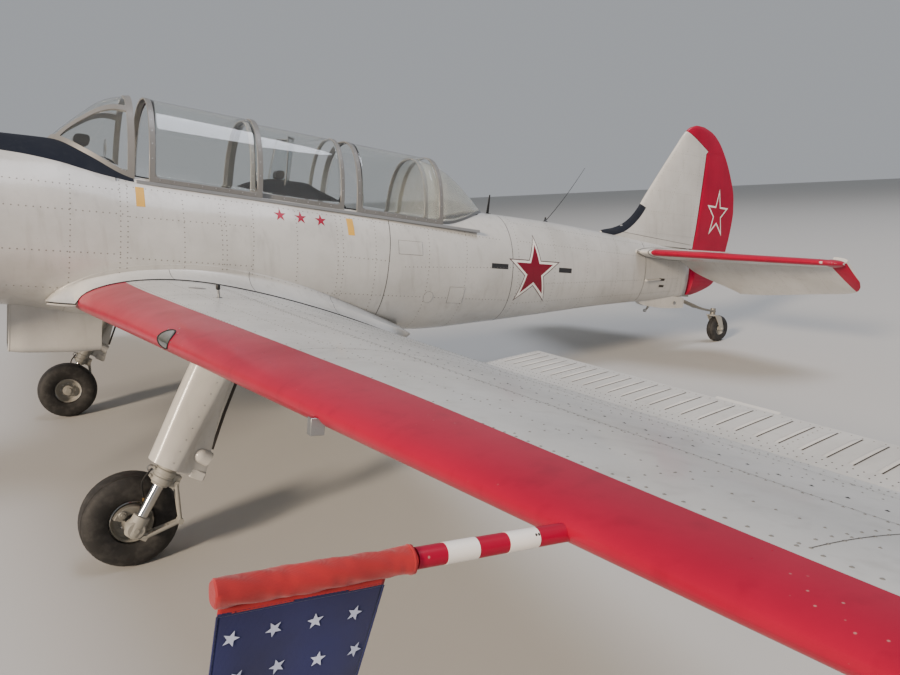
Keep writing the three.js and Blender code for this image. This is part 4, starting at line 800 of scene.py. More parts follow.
def foot_strip(surface, s, low, high, rows, deep):
    """The screwed strip between two turns of a glazed arch, as rings along it."""
    turn = low[:, None] + (high - low)[:, None] * np.linspace(0, 1, rows)
    return np.concatenate([surface(s[:, None], turn, 1.5), surface(s[:, None], turn, -deep)[:, ::-1]], 1)


def fixed_panes(name, surface, s, low, material, replaced, thick, inside_s, inside_h):
    """Blown sheet from the strip on one side over to the strip on the other."""
    panes = Work()
    for half in both_sides(surface(s[:, None], low[:, None] + (np.pi / 2 - low)[:, None]
                                   * np.linspace(0, 1, 26), -3)):
        panes.grid(half)
    panes.piece(name, material, "glazing", replaced, weld=0.0003, thick=thick,
                outward=at(inside_s, 0, inside_h))


screen_frame = Work()
POST_HALF = 13
post_s = np.linspace(2085, 2440, 30)
centre_y = 27 + (post_s - 2020) / 480 * 190
edges = [np.arccos(np.clip((centre_y + offset) / SCREEN(post_s)[0], 0, 1) ** (SCREEN_POWER / 2))
         for offset in (-POST_HALF, POST_HALF)]
post = [screen(post_s, edges[k], out) for k, out in ((0, 2), (1, 2), (1, -9), (0, -9))]
for sign in (1, -1):
    screen_frame.loft(foot_strip(screen, screen_s, foot, strip_top, 5, 8) * (1, sign, 1))
    screen_frame.loft(np.stack(post, 1) * (1, sign, 1))
sweep_arch(screen_frame, 2429, 2462, lambda s: SCREEN(s)[0], lambda s: SCREEN(s)[1], -30, 12, 2, SCREEN_POWER)
screen_frame.piece("windscreen_posts", grey_enamel, "frame_paint", ["windscreen_frame"], bevel=0.0018)
screen_nodes = [f"windscreen_glass_{which}" for which in ("front", "port", "starboard")]
fixed_panes("windscreen_panes", screen, screen_s, strip_top - 0.04, canopy_acrylic, screen_nodes, 0.004,
            2440, 420)


# Fixed glazing behind the rear hood: one blown sheet, hazed by the sun, faired down to the spine, with a grey
# arch in front and a screwed strip round its foot.
AFT = smooth_table([[4236, 289, 748], [4300, 286, 744], [4380, 278, 733], [4470, 262, 706],
                    [4580, 226, 648], [4700, 170, 566], [4800, 108, 490], [4880, 30, 436]])
AFT_POWER = 2.3


def aft_shell(s, turn, out):
    half, top = AFT(s)
    return arch(s, turn, half, np.maximum(top, rail_h(s) + 2), out, AFT_POWER)


aft_s = np.linspace(4238, 4868, 70)
aft_foot, aft_strip = (deck_turn(aft_s, *AFT(aft_s), AFT_POWER, above) for above in (-2, 18))
aft_frame = Work()
for half_strip in both_sides(foot_strip(aft_shell, aft_s, aft_foot, aft_strip, 4, 7)):
    aft_frame.loft(half_strip)
sweep_arch(aft_frame, 4236, 4262, lambda s: AFT(s)[0], lambda s: AFT(s)[1], -40, 10, 1, AFT_POWER)
aft_frame.piece("aft_glazing_frame", grey_enamel, "frame_paint", ["canopy_aft_frame"], bevel=0.0018)
aft_acrylic = acrylic("hazed_aft_acrylic", "#EEF1EF", 0.3)
fixed_panes("aft_glazing", aft_shell, aft_s, aft_strip - 0.03, aft_acrylic, ["canopy_aft_glass"], 0.003,
            4400, 400)


# Wings: stressed aluminium skin over two spars and pressed ribs, sprayed white, the leading edge red.
# A cambered section, thick at the root and thin at the tip, with a cove for the aileron and a
# shallow recess below for the split flap.
SIDES = {"port": 1, "starboard": -1}
HALF_SPAN = 4650
CAMBER_PEAK = 0.353
# at the hull's middle and at the tip: chord, thickness and camber as shares of it, and set in degrees
CHORD, THICKNESS, CAMBER, SET_DEGREES = (1983, 1068), (0.1455, 0.086), (0.036, 0.005), (5.76, 7.37)
ROOT_FRONT, ROOT_H = 2145, -256
SWEEP, DIHEDRAL = math.radians(3.66), math.radians(0.82)
TIP = smooth_table([[4300, 1, 1], [4400, 1, 1], [4560, 1, 0.96], [4610, 0.95, 0.8], [4638, 0.88, 0.55],
                    [4650, 0.8, 0.2]])
AILERON_FROM, AILERON_TO = 2070, 4440
HINGE_X = 0.815
FLAP_FROM, FLAP_TO = 660, 2000
FLAP_FRONT_X, FLAP_BACK_X = 0.76, 0.975
MOVE_GAP = 6


def wing_section(y):
    """The measures of the wing's section at a distance from the hull's middle."""
    y = np.asarray(y, float)
    shrink, scale = (np.where(y < 4400, 1, value) for value in TIP(y))
    chord, thick, camber, degrees = (root + (tip - root) * (y / HALF_SPAN)
                                     for root, tip in (CHORD, THICKNESS, CAMBER, SET_DEGREES))
    cut = chord * (1 - shrink) / 2
    return {"chord": chord - cut * 1.6, "front": ROOT_FRONT + y * math.tan(SWEEP) + cut * 0.9,
            "h": ROOT_H + y * math.tan(DIHEDRAL), "thick": thick * scale, "camber": camber,
            "drop": np.tan(np.radians(degrees))}


def foil(x):
    """Half the thickness, as a share of the chord, of a plain section a fifth of its chord thick."""
    return 0.2969 * np.sqrt(x) - 0.126 * x - 0.3516 * x**2 + 0.2843 * x**3 - 0.1036 * x**4


def wing_level(x, y, side):
    """Level s and h of the wing's skin at a fraction of the chord; side is 1 above and -1 below."""
    x, y = np.broadcast_arrays(np.asarray(x, float), np.asarray(y, float))
    w = wing_section(y)
    half = 5 * w["thick"] * foil(x)
    rise = 2 * CAMBER_PEAK * x - x**2
    aft_rise = (1 - 2 * CAMBER_PEAK + rise) / (1 - CAMBER_PEAK)**2
    line = w["camber"] * np.where(x < CAMBER_PEAK, rise / CAMBER_PEAK**2, aft_rise)
    h = w["h"] + (line + side * half) * w["chord"] + side * 2 * x - x * w["chord"] * w["drop"]
    return w["front"] + x * w["chord"], h


def wing_skin(x, y, side, out=0.0):
    """A place on the wing's skin, moved out along the level vertical."""
    s, h = wing_level(x, y, side)
    return at(s, y, h + side * np.asarray(out, float))


def hinge_place(y):
    """Level s, h and the aileron's nose radius at the hinge line."""
    s, top = wing_level(HINGE_X, y, 1)
    low = wing_level(HINGE_X, y, -1)[1]
    return s, (top + low) / 2, (top - low) / 2 - 3


def wing_ring(y, kind):
    """One closed section, from the middle of its back edge over the top to the nose and back below."""
    aft_top = np.linspace(1, HINGE_X + 0.001, 10)
    top = HINGE_X * (1 + np.cos(np.linspace(0, np.pi, 34))) / 2
    low = FLAP_FRONT_X * (1 - np.cos(np.linspace(0, np.pi, 28))) / 2
    aft_low = np.concatenate([[FLAP_FRONT_X + 0.001, HINGE_X], np.linspace(0.835, 1, 10)])
    parts = ((aft_top, 1), (top, 1), (low[1:], -1), (aft_low, -1))
    rows = [np.stack(wing_level(x, y, side), 1) for x, side in parts]
    if kind == "flap":
        roof = wing_level(aft_low, y, 1)[1] - 1.5
        rows[3][:, 1] = np.minimum(rows[3][:, 1] + 15, roof)
    if kind == "cove":
        hinge_s, hinge_h, nose = hinge_place(y)
        reach = nose + MOVE_GAP
        lip = math.acos(-MOVE_GAP / reach)
        turn = np.linspace(math.pi, lip, 10)
        back, rise = hinge_s + reach * np.cos(turn), reach * np.sin(turn)
        rows[0] = np.stack([back, hinge_h + rise], 1)
        lip_x = HINGE_X - MOVE_GAP / wing_section(y)["chord"]
        rows[1][0] = wing_level(lip_x, y, 1)
        rows[3][:2] = np.stack(wing_level(np.array([FLAP_FRONT_X + 0.001, lip_x]), y, -1), 1)
        rows[3][2:] = np.stack([back[::-1], hinge_h - rise[::-1]], 1)
    ring = np.vstack(rows)
    return at(ring[:, 0], y, ring[:, 1])


WING_ROWS = [("plain", (380, 653)), ("flap", (654, 900, 1150, 1450, 1750, 2006)), ("plain", (2007, 2063)),
             ("cove", (2064, 2500, 3000, 3500, 4000, 4300, 4446)),
             ("plain", (4447, 4500, 4560, 4590, 4612, 4628, 4638, 4646, 4650))]
for side_name, sign in SIDES.items():
    panel = Work()
    flip = (1, sign, 1)
    panel.loft(np.array([wing_ring(y, kind) for kind, rows in WING_ROWS for y in rows]) * flip)
    for y in (AILERON_FROM - MOVE_GAP / 2, AILERON_TO + MOVE_GAP / 2):
        pin_s, pin_h, _ = hinge_place(y)
        panel.bar([(pin_s, y - 9, pin_h), (pin_s, y + 9, pin_h)], 0.008, 12, flip)
    panel.piece(f"wing_skin_{side_name}", white_enamel, "white_paint", [f"wing_{side_name}"], smooth=40)


# Red leading edge: gloss enamel sprayed over the front of each wing's skin, further back above than below,
# up to the first spar's rivets.
RED_BELOW = 0.62  # how far back the red goes below, as a share of its reach above
RED_BACK = smooth_table([[380, 2380], [880, 2390], [1630, 2428], [2750, 2492], [3430, 2520], [4000, 2522],
                         [4300, 2526], [4650, 2530]])


def nose_fraction(y, side):
    """How far back the red paint goes, as a fraction of the chord."""
    w = wing_section(y)
    above = np.clip((RED_BACK(np.asarray(y, float))[0] - w["front"]) / w["chord"], 0.01, 1)
    return above if side > 0 else above * RED_BELOW


red_rows = np.concatenate([np.linspace(400, 4500, 60), [4540, 4570, 4595, 4612, 4628, 4638, 4646, 4649.6]])
across = np.linspace(0, 1, 17)
rings = []
for y in red_rows:
    upper = wing_skin(nose_fraction(y, 1) * (1 - across) ** 2, y, 1, 0.7)
    lower = wing_skin(nose_fraction(y, -1) * across[1:] ** 2, y, -1, 0.7)
    rings.append(np.vstack([upper, lower]))
rings = np.array(rings)
# the paint on the very nose stands a little forward, so that the skin below doesn't show through
section = wing_section(red_rows)
rings[:, 14:19] += (rings[:, 16] - at(section["front"] + 60, red_rows, section["h"]))[:, None] * 0.012
for side_name, sign in SIDES.items():
    red = Work()
    red.grid(rings * (1, sign, 1))
    red.piece(f"red_leading_edge_{side_name}", red_enamel, "red_paint", outward=at(2900, 2300 * sign, -400))


# Wing rivets: mushroom heads along spars, ribs and sheet laps; larger dark screws hold the tank and rear
# spar covers. Each spar row has its chord fraction at the root and the tip, its pitch and its head.
SPAR_ROWS = [(0.112, 0.118, 30, 0.0032), (0.2, 0.2, 32, 0.0026), (0.32, 0.33, 30, 0.0028),
             (0.41, 0.41, 58, 0.0042), (0.52, 0.52, 34, 0.0026), (0.6, 0.6, 34, 0.0026),
             (0.7, 0.7, 34, 0.0026), (0.79, 0.79, 30, 0.0028)]
RIB_PLACES = [690, 930, 1180, 1428, 1650, *range(1894, 4375, 248), 4500]
wing_rivets, wing_screws, wing_seams, red_rivets = Work(), Work(), Work(), Work()


def wing_row(work, x, y, side, pitch, radius, seam=None):
    """Rivets along a path on the wing's skin, on both wings."""
    place, normal = walk(lambda a, b: wing_skin(a, b, side, 0.2), *refined(x, y, 50), pitch, 0.002, 2)
    normal = np.where((normal[:, 2] * side < 0)[:, None], -normal, normal)
    for sign in (1, -1):
        flip = (1, sign, 1)
        studs(work, place * flip, normal * flip, radius)
        if seam is not None:
            ribbon(seam, place * flip, normal * flip, 0.0014)


for x0, x1, pitch, radius in SPAR_ROWS:
    outer = 4520 if x0 < 0.75 else 2050
    for side in (1, -1):
        work = wing_screws if radius > 0.004 else wing_rivets
        wing_row(work, (x0, x1), (640, outer), side, pitch / 1000, radius)
for y in RIB_PLACES:
    wing_row(wing_rivets, (0.125, 0.79 if y > 2050 else 0.96), (y, y), 1, 0.031, 0.0028)
    wing_row(wing_rivets, (0.03, 0.75), (y, y), -1, 0.034, 0.0028)
for y in (1300, 2720, 4126):
    wing_row(wing_rivets, (0.125, 0.75), (y + 14, y + 14), 1, 0.031, 0.0028, seam=wing_seams)
    wing_row(red_rivets, (0.002, 0.085), (y, y), 1, 0.031, 0.0028)
for x in (0.335, 0.6):
    wing_row(wing_rivets, (x, x), (640, 4500), 1, 0.03, 0.0026, seam=wing_seams)
red_rivets.piece("leading_edge_rivets", red_enamel, "red_paint", smooth=80)
wing_rivets.piece("wing_rivets", rivet_grime_and_painted_shade, "white_paint", smooth=80)
blackened_steel = plain_paint("blackened_screw_steel", "#3D3B38", 0.5, 400.0, 0.1, 0.8)
wing_screws.piece("wing_cover_screws", blackened_steel, "steel", smooth=80)
wing_seams.piece("wing_joint_lines", joint_grime_and_painted_shade)


# Small fittings on each wing: the gear position pin with its plastic cap, a stall strip tab on the nose and
# a flush fuel filler cap.
black_plastic = plain_paint("moulded_black_plastic", "#1A1A1B", 0.45, 380.0, 0.2)
pin, pin_bands, tab = Work(), Work(), Work()
PIN_S, PIN_Y = 2632, 1420
STALL_Y = 3230
CAP_X, CAP_Y = 0.24, 1010
UPRIGHT = (0, 0, 1)
pin_wing, stall = wing_section(PIN_Y), wing_section(STALL_Y)
pin_foot = wing_level((PIN_S - pin_wing["front"]) / pin_wing["chord"], PIN_Y, 1)[1]
for sign in (1, -1):
    foot = at(PIN_S, PIN_Y * sign, pin_foot)
    pin.lathe([(-4, 0), (-4, 13), (1.2, 13), (2.5, 10), (3, 5), (34, 5), (34, 0)], foot, UPRIGHT, 20)
    pin_bands.lathe([(34, 0), (34, 7), (38, 9), (52, 9), (57, 6), (58, 0)], foot, UPRIGHT, 20)
    tab.bar_block((stall["front"] - 14, stall["front"] + 16), (sign * (STALL_Y - 10), sign * (STALL_Y + 10)),
                  (stall["h"] - 42, stall["h"] - 6))
pin.piece("gear_position_pins", bright_steel, "steel")
pin_bands.piece("gear_pin_caps", black_plastic, "dark_trim")
tab.piece("stall_tabs", bright_steel, "steel", bevel=0.001)
caps = Work()
cap_s, cap_h = wing_level(CAP_X, CAP_Y, 1)
for sign in (1, -1):
    cap_axis = np.cross(wing_skin(CAP_X + 0.01, CAP_Y, 1) - wing_skin(CAP_X - 0.01, CAP_Y, 1),
                        (0, 1, 0)) * (1, sign, 1)
    cap_axis = cap_axis if cap_axis[2] > 0 else -cap_axis
    caps.lathe([(-3, 0), (-3, 40), (0.4, 40), (1.0, 37), (1.0, 0)], at(cap_s, CAP_Y * sign, cap_h),
               cap_axis, 40)
caps.piece("fuel_filler_caps", grey_enamel, "white_paint")


# Landing light: an oval acrylic window let into the red leading edge of each wing, with a rubber bezel round
# it and eight screws. The window is drawn opaque and green-black: painted shade of the unlit lamp recess
# behind it.
def window_with_painted_shade(name, colour):
    m = new_material(name)
    place = add(m, "TexCoord").outputs["Object"]
    haze = add(m, "TexNoise", {"Scale": 60.0, "Detail": 5.0, "Vector": place})
    rough = add(m, "MapRange", {"To Min": 0.06, "To Max": 0.2, "Value": haze})
    shader = add(m, "BsdfPrincipled", {"Base Color": linear(colour), "IOR": 1.49, "Coat Weight": 0.6,
                                       "Roughness": rough})
    add(m, "OutputMaterial", {"Surface": shader})
    return m


# the lens is opaque green-black: painted shade of the lamp recess behind it
lamp_window_painted_shade = window_with_painted_shade("acrylic_with_painted_recess_shade", "#1E2B27")
LIGHT_Y, LIGHT_HALF = 2104, 62
LIGHT_Q, LIGHT_Q_HALF = 0.04, 0.105


def round_nose(q, y, out):
    """A place on the nose of the wing: q is the signed root of the chord fraction, positive above."""
    def skin_point(q, y):
        x = np.asarray(q, float) ** 2
        upper, lower = wing_level(x, y, 1), wing_level(x, y, -1)
        return at(np.where(q > 0, upper[0], lower[0]), y, np.where(q > 0, upper[1], lower[1]))
    q, y = np.broadcast_arrays(np.asarray(q, float), np.asarray(y, float))
    normal = unit(np.cross(skin_point(q + 0.01, y) - skin_point(q - 0.01, y), skin_point(q, y + 2)
                           - skin_point(q, y - 2)))
    normal = np.where(normal[..., :1] < 0, -normal, normal)
    return skin_point(q, y) + out / 1000 * normal


def round_light(turn, tall, wide, out):
    """A place round the landing light, as shares of its half height and half width."""
    return round_nose(LIGHT_Q + LIGHT_Q_HALF * tall * np.sin(turn), LIGHT_Y + LIGHT_HALF * wide
                      * np.cos(turn), out)


turn = np.linspace(0, 2 * np.pi, 44, endpoint=False)
for side_name, sign in SIDES.items():
    flip = (1, sign, 1)
    lens, bezel, lens_screws = Work(), Work(), Work()
    rings = [round_light(turn, r, r, 2.4 - 0.8 * r**4) for r in (0.001, 0.25, 0.5, 0.75, 0.92, 1.0)]
    lens.grid(np.array(rings) * flip, loop_v=True)
    lens.piece(f"landing_light_window_{side_name}", lamp_window_painted_shade, "glazing", [f"landing_light_{side_name}"],
               smooth=80)
    bezel.tube(round_light(turn, 1.04, 1.04, 1.4) * flip, 0.0024, 8, loop=True)
    bezel.piece(f"landing_light_bezel_{side_name}", black_rubber, "dark_trim", smooth=80)
    screw_turn = np.arange(8) * math.pi / 4
    place = round_light(screw_turn, 1.32, 1.26, 0.8)
    normal = unit(round_light(screw_turn, 1.32, 1.26, 1.8) - place)
    studs(lens_screws, place * flip, normal * flip, 0.0036, 0.0012, 8)
    lens_screws.piece(f"landing_light_screws_{side_name}", bright_steel, "steel", smooth=80)


# Ailerons: riveted aluminium with a rolled nose and pressed chordwise beads, hung in a cove on two pins.
# At rest the port one stands 27 degrees up and the starboard one 16 degrees down.
PORT_UP, STARBOARD_DOWN = 27, 16


def turned(points, origin, axis, degrees):
    """Points turned about a line."""
    axis = unit(np.asarray(axis, float))
    a = math.radians(degrees)
    d = np.asarray(points) - origin
    along = (d @ axis)[..., None] * axis
    return origin + along + (d - along) * math.cos(a) + np.cross(axis, d) * math.sin(a)


def hinge_at(y):
    s, h, _ = hinge_place(y)
    return at(s, y, h)


aileron_axis = hinge_at(AILERON_TO) - hinge_at(AILERON_FROM)
aileron_rows = np.linspace(AILERON_FROM, AILERON_TO, 9)


def aileron_ring(y):
    """One closed section of the aileron, with its round nose ahead of the hinge."""
    hinge_s, hinge_h, nose = hinge_place(y)
    back = np.linspace(HINGE_X + 0.004, 1, 12)
    turn = np.linspace(np.pi / 2, 3 * np.pi / 2, 15)
    ring = np.vstack([np.stack(wing_level(back[::-1], y, 1), 1),
                      np.stack([hinge_s + nose * np.cos(turn), hinge_h + nose * np.sin(turn)], 1),
                      np.stack(wing_level(back, y, -1), 1)])
    return at(ring[:, 0], y, ring[:, 1])


AILERON_RIVET_ROWS = [(0.838, 26), (0.856, 26), (0.989, 30)]  # chord fraction and pitch
AILERON_RIBS = (AILERON_FROM + 12, 2484, 3000, 3504, 3980, AILERON_TO - 12)
BEAD_PITCH, BEAD_HALF, BEAD_RISE = 68, 8, 5.2
BEAD_SECTION = ((-1, 0), (-0.55, 0.72), (0, 1), (0.55, 0.72), (1, 0))
FIXED_TAB = ((-8, 1.0), (10, 0.3), (10, -0.9), (-8, -0.6))
for side_name, sign, degrees in (("port", 1, PORT_UP), ("starboard", -1, -STARBOARD_DOWN)):
    def swing(points):
        return turned(points, hinge_at(AILERON_FROM), aileron_axis, degrees) * (1, sign, 1)

    def swung(x, y, side, out):
        """Places on the swung skin, with the directions away from it."""
        place = swing(wing_skin(x, y, side, out))
        return place, unit(swing(wing_skin(x, y, side, 9)) - place)

    body = f"{side_name}_aileron"
    shell = Work()
    shell.loft(np.array([swing(aileron_ring(y)) for y in aileron_rows]))
    shell.piece(f"aileron_skin_{side_name}", white_enamel, "white_paint", [f"aileron_{side_name}"],
                smooth=45, body=body)
    beads, bead_shade_lines, heads, dark_heads, trim = Work(), Work(), Work(), Work(), Work()
    bead_x = np.linspace(0.869, 0.984, 9)
    swell = np.sin(np.linspace(0, np.pi, 9)) ** 0.3
    for side in (1, -1):
        for y in np.arange(AILERON_FROM + 44, AILERON_TO - 30, BEAD_PITCH):
            bead = [wing_skin(bead_x, y + w * BEAD_HALF, side, swell * rise * BEAD_RISE - 0.3) for w,
                    rise in BEAD_SECTION]
            beads.grid(swing(np.stack(bead, 1)))
            # a dark strip along the outboard foot of each bead: painted shade on the bead's shaded side
            ribbon(bead_shade_lines, *swung(bead_x, y + BEAD_HALF + 1.5, side, 0.3), 0.0045, 0.0005)
    beads.piece(f"aileron_beads_{side_name}", white_enamel, "white_paint", smooth=70, body=body)
    bead_shade_lines.piece(f"aileron_bead_painted_shade_{side_name}", joint_grime_and_painted_shade, body=body)
    for side in (1, -1):
        for x, pitch in AILERON_RIVET_ROWS:
            y = np.arange(AILERON_FROM + 14, AILERON_TO - 8, pitch)
            studs(dark_heads if x < 0.98 else heads, *swung(x, y, side, 0.2), 0.0024, 0.0012)
        for y in AILERON_RIBS:
            studs(heads, *swung(np.arange(0.83, 0.985, 0.0155), y, side, 0.2), 0.0026, 0.0013)
    heads.piece(f"aileron_rivets_{side_name}", rivet_grime_and_painted_shade, "white_paint", smooth=80, body=body)
    dark_heads.piece(f"aileron_nose_rivets_{side_name}", joint_grime_and_painted_shade, "steel", smooth=80, body=body)
    tab_y = np.linspace(3112, 3352, 6)
    tab_s, tab_h = wing_level(1.0, tab_y, 1)
    trim.loft(swing(np.stack([at(tab_s + aft, tab_y, tab_h + up) for aft, up in FIXED_TAB], 1)))
    trim.piece(f"aileron_fixed_tab_{side_name}", white_enamel, "white_paint", body=body)


# Split flaps: flat aluminium plates with a rolled front edge and three rivet lines, sprayed white and
# closed into the recess in the wing's underside.
for side_name, sign in SIDES.items():
    flap, flap_heads = Work(), Work()
    rows = []
    for y in np.linspace(FLAP_FROM, FLAP_TO, 6):
        x = np.linspace(FLAP_FRONT_X, FLAP_BACK_X, 8)
        s, h = wing_level(x, y, -1)
        roof = wing_level(x, y, 1)[1] - 4
        rows.append(np.vstack([at(s, y, h + 0.3),
                               at(s, y, np.minimum(h + 9, np.maximum(roof, h + 2)))[::-1]]))
    flap.loft(np.array(rows) * (1, sign, 1))
    flap.piece(f"flap_plate_{side_name}", white_enamel, "white_paint", [f"flap_{side_name}"],
               body=f"{side_name}_flap")
    for x in (0.775, 0.87, 0.965):
        y = np.arange(FLAP_FROM + 20, FLAP_TO - 10, 40)
        place = wing_skin(x, y, -1, 0) * (1, sign, 1)
        studs(flap_heads, place, np.tile((0.14, 0, -0.99), (len(y), 1)), 0.0026)
    flap_heads.piece(f"flap_rivets_{side_name}", rivet_grime_and_painted_shade, "white_paint", smooth=80,
                     body=f"{side_name}_flap")


# Wing root fillets: hand-beaten aluminium fairings rolled between the hull's side and the wing's skin,
# held by screws along the upper edge, with a black rubber strip under the foot.
FILLET = smooth_table([[2052, -262, 470], [2090, -210, 520], [2180, -150, 570], [2300, -98, 610],
                       [2520, -52, 622], [2780, -36, 622], [3050, -60, 622], [3350, -120, 618],
                       [3640, -205, 600], [3930, -300, 560], [4150, -370, 480], [4260, -400, 420]])
FILLET_TOP_Y = 440
CLOSING_FROM, CLOSING_LENGTH = 3860, 262
DRAWN_FROM = 0.72


def fillet_foot(s, y):
    """Level height of the wing's top under the fillet's foot."""
    w = wing_section(y)
    x = (s - w["front"]) / w["chord"]
    above = wing_level(np.clip(x, 0.0001, 0.9999), y, 1)[1] + 3
    beyond = w["h"] - np.maximum(0, x) * w["chord"] * w["drop"] - 6
    return np.where((x <= 0) | (x >= 1), beyond, above)


def hull_side_y(s, h):
    crown, belly, half, widest, power = HULL(s)
    up = np.where(h >= widest, crown - widest, widest - belly)
    return half * np.clip(1 - np.clip(np.abs(h - widest) / up, 0, 1) ** power, 0, 1) ** (1 / power)


def fillet_reach(s):
    """How far out the fillet's foot is: it closes onto the hull's side behind the wing."""
    high, reach = FILLET(s)
    closing = np.clip((s - CLOSING_FROM) / CLOSING_LENGTH, 0, 1) ** 1.6
    return high, reach * (1 - closing) + (hull_side_y(s, high) + 6) * closing


def fillet(s, t):
    """A place on the fillet: t is 0 at the foot on the wing and 1 at the top on the hull."""
    s, t = np.broadcast_arrays(np.asarray(s, float), np.asarray(t, float))
    high, reach = fillet_reach(s)
    foot = fillet_foot(s, reach)
    a = t * np.pi / 2
    y = reach + (FILLET_TOP_Y - reach) * np.sin(a)
    h = high + (foot - high) * np.cos(a)
    # the upper edge is drawn on to the hull's own side
    side = hull_side_y(s, h)
    drawn = np.clip((t - DRAWN_FROM) / (1 - DRAWN_FROM), 0, 1)
    y = np.where(t > DRAWN_FROM, y + (side + 1.2 - y) * drawn, y)
    return at(s, y, h)


fillet_s = np.concatenate([np.linspace(2053, 2130, 16), np.linspace(2145, 3600, 60),
                           np.linspace(3620, 4122, 28)])
STRIP_END = 4060
high, reach = fillet_reach(fillet_s)
foot = fillet_foot(fillet_s, reach)
skirt = at(fillet_s, reach - 1, foot - 14)
grid = np.concatenate([skirt[:, None], fillet(fillet_s[:, None], np.linspace(0, 1, 15))], 1)
edge = at(fillet_s, reach + 1, foot - 1.5)[fillet_s < STRIP_END]
for side_name, sign in SIDES.items():
    sheet, strip = Work(), Work()
    sheet.grid(grid * (1, sign, 1))
    sheet.piece(f"root_fillet_{side_name}", white_enamel, "white_paint", [f"wing_fillet_{side_name}"],
                thick=0.0016, outward=at(2900, 0, -300))
    strip.tube(edge * (1, sign, 1), 0.0036, 8)
    strip.piece(f"fillet_rubber_strip_{side_name}", black_rubber, "dark_trim")
fillet_screws, fillet_seams = Work(), Work()
screw_s = np.arange(2090, 4116, 42)
SCREW_ROW = 0.93
place = fillet(screw_s, SCREW_ROW)
normal = unit(np.cross(fillet(screw_s + 1, SCREW_ROW) - place, fillet(screw_s, SCREW_ROW - 0.01) - place))
normal = face_out(place, normal, at(screw_s, 0, -100))
for sign in (1, -1):
    studs(fillet_screws, place * (1, sign, 1), normal * (1, sign, 1), 0.0042, 0.0012, 8)
for s in (2620, 3050, 3560):
    up = np.linspace(0, 1, 20)
    line = fillet(s, up)
    normal = unit(np.cross(fillet(s + 1, up) - line, np.gradient(line, axis=0)))
    normal = face_out(line, normal, at(s, 0, -300))
    for sign in (1, -1):
        ribbon(fillet_seams, line * (1, sign, 1), normal * (1, sign, 1), 0.0022, 0.0006)
fillet_screws.piece("fillet_screws", bright_steel, "steel", smooth=80)
fillet_seams.piece("fillet_joint_lines", joint_grime_and_painted_shade)


# Main wheels: tyres of black rubber with grooves round the tread, on cast alloy rims painted grey.
# The brake housing and its pipe are on the outer side, next to the leg.
WHEEL = (2312, 1385, -1063.5)
FLAT_SPOT = 0.75  # millimetres that the tyre's foot is pressed in where it stands
# the profiles' rows are (along the axle, radius), for the outer half of the tyre and the rim
TYRE_PROFILE = [(46.5, 88.4), (60, 93), (70, 112), (75, 138), (73, 160), (66, 177), (56, 187), (46, 190.5),
                (44, 187), (40, 187), (38, 192.5), (20, 195.4)]
RIM_PROFILE = [(52, 88), (53, 85), (50, 82), (40, 79), (22, 76), (14, 68), (12, 50), (20, 40), (44, 34),
               (46, 20.5)]


def worn_rubber(name, colour):
    """Vulcanised tyre rubber: dark grey, dull, with dust in fine scuffs."""
    m = new_material(name)
    place = add(m, "TexCoord").outputs["Object"]
    dust = add(m, "TexNoise", {"Scale": 34.0, "Detail": 7.0, "Vector": place})
    amount = add(m, "MapRange", {"From Min": 0.45, "From Max": 0.75, "To Max": 0.55, "Value": dust})
    tone = add(m, "Mix", {"data_type": "RGBA", 6: linear(colour), 7: linear("#454341"), 0: amount})
    fine = add(m, "TexNoise", {"Scale": 320.0, "Detail": 4.0, "Vector": place})
    bump = add(m, "Bump", {"Strength": 0.35, "Distance": 0.0008, "Height": fine})
    rough = add(m, "MapRange", {"To Min": 0.6, "To Max": 0.85, "Value": dust})
    shader = add(m, "BsdfPrincipled", {"IOR": 1.5, "Base Color": tone.outputs[2], "Roughness": rough,
                                       "Normal": bump})
    add(m, "OutputMaterial", {"Surface": shader})
    return m


tyre_rubber = worn_rubber("vulcanised_tyre_rubber", "#1D1C1B")
cast_alloy = plain_paint("sand_cast_aluminium_alloy", "#8F8D86", 0.5, 300.0, 0.35, 0.55)
painted_cast = plain_paint("painted_cast_alloy", "#9C9A92", 0.55, 260.0, 0.2)
chromed_steel = plain_paint("chromed_and_ground_steel", "#D6D6D4", 0.12, 800.0, 0.02, 1.0)
brass = plain_paint("turned_brass", "#A98A5A", 0.35, 500.0, 0.1, 1.0)
ACROSS = (0, 1, 0)


def mirrored_profile(half, middle=()):
    return half + list(middle) + [(-along, radius) for along, radius in half[::-1]]


def pressed(profile, amount=FLAT_SPOT):
    """A tyre's profile made smaller by its flat spot, so that it stands on the ground and not in it."""
    return [(along, radius - amount) for along, radius in profile]


def on_wheel(centre, out, radius, degrees):
    """A place on a wheel's side: out along the axle, at a radius and an angle up from straight ahead."""
    s, y, h = centre
    a = math.radians(degrees)
    return at(s - radius * math.cos(a), y + out, h + radius * math.sin(a))


def bolt_rings(work, centre, out, radius, count, size, sign):
    """A ring of bolt heads on each side of a wheel."""
    for side in (out, -out):
        places = np.array([on_wheel(centre, side, radius, 360 * k / count) for k in range(count)])
        normals = np.tile((0.0, math.copysign(1, side), 0.0), (count, 1))
        studs(work, places * (1, sign, 1), normals * (1, sign, 1), size, size * 0.9, 6)


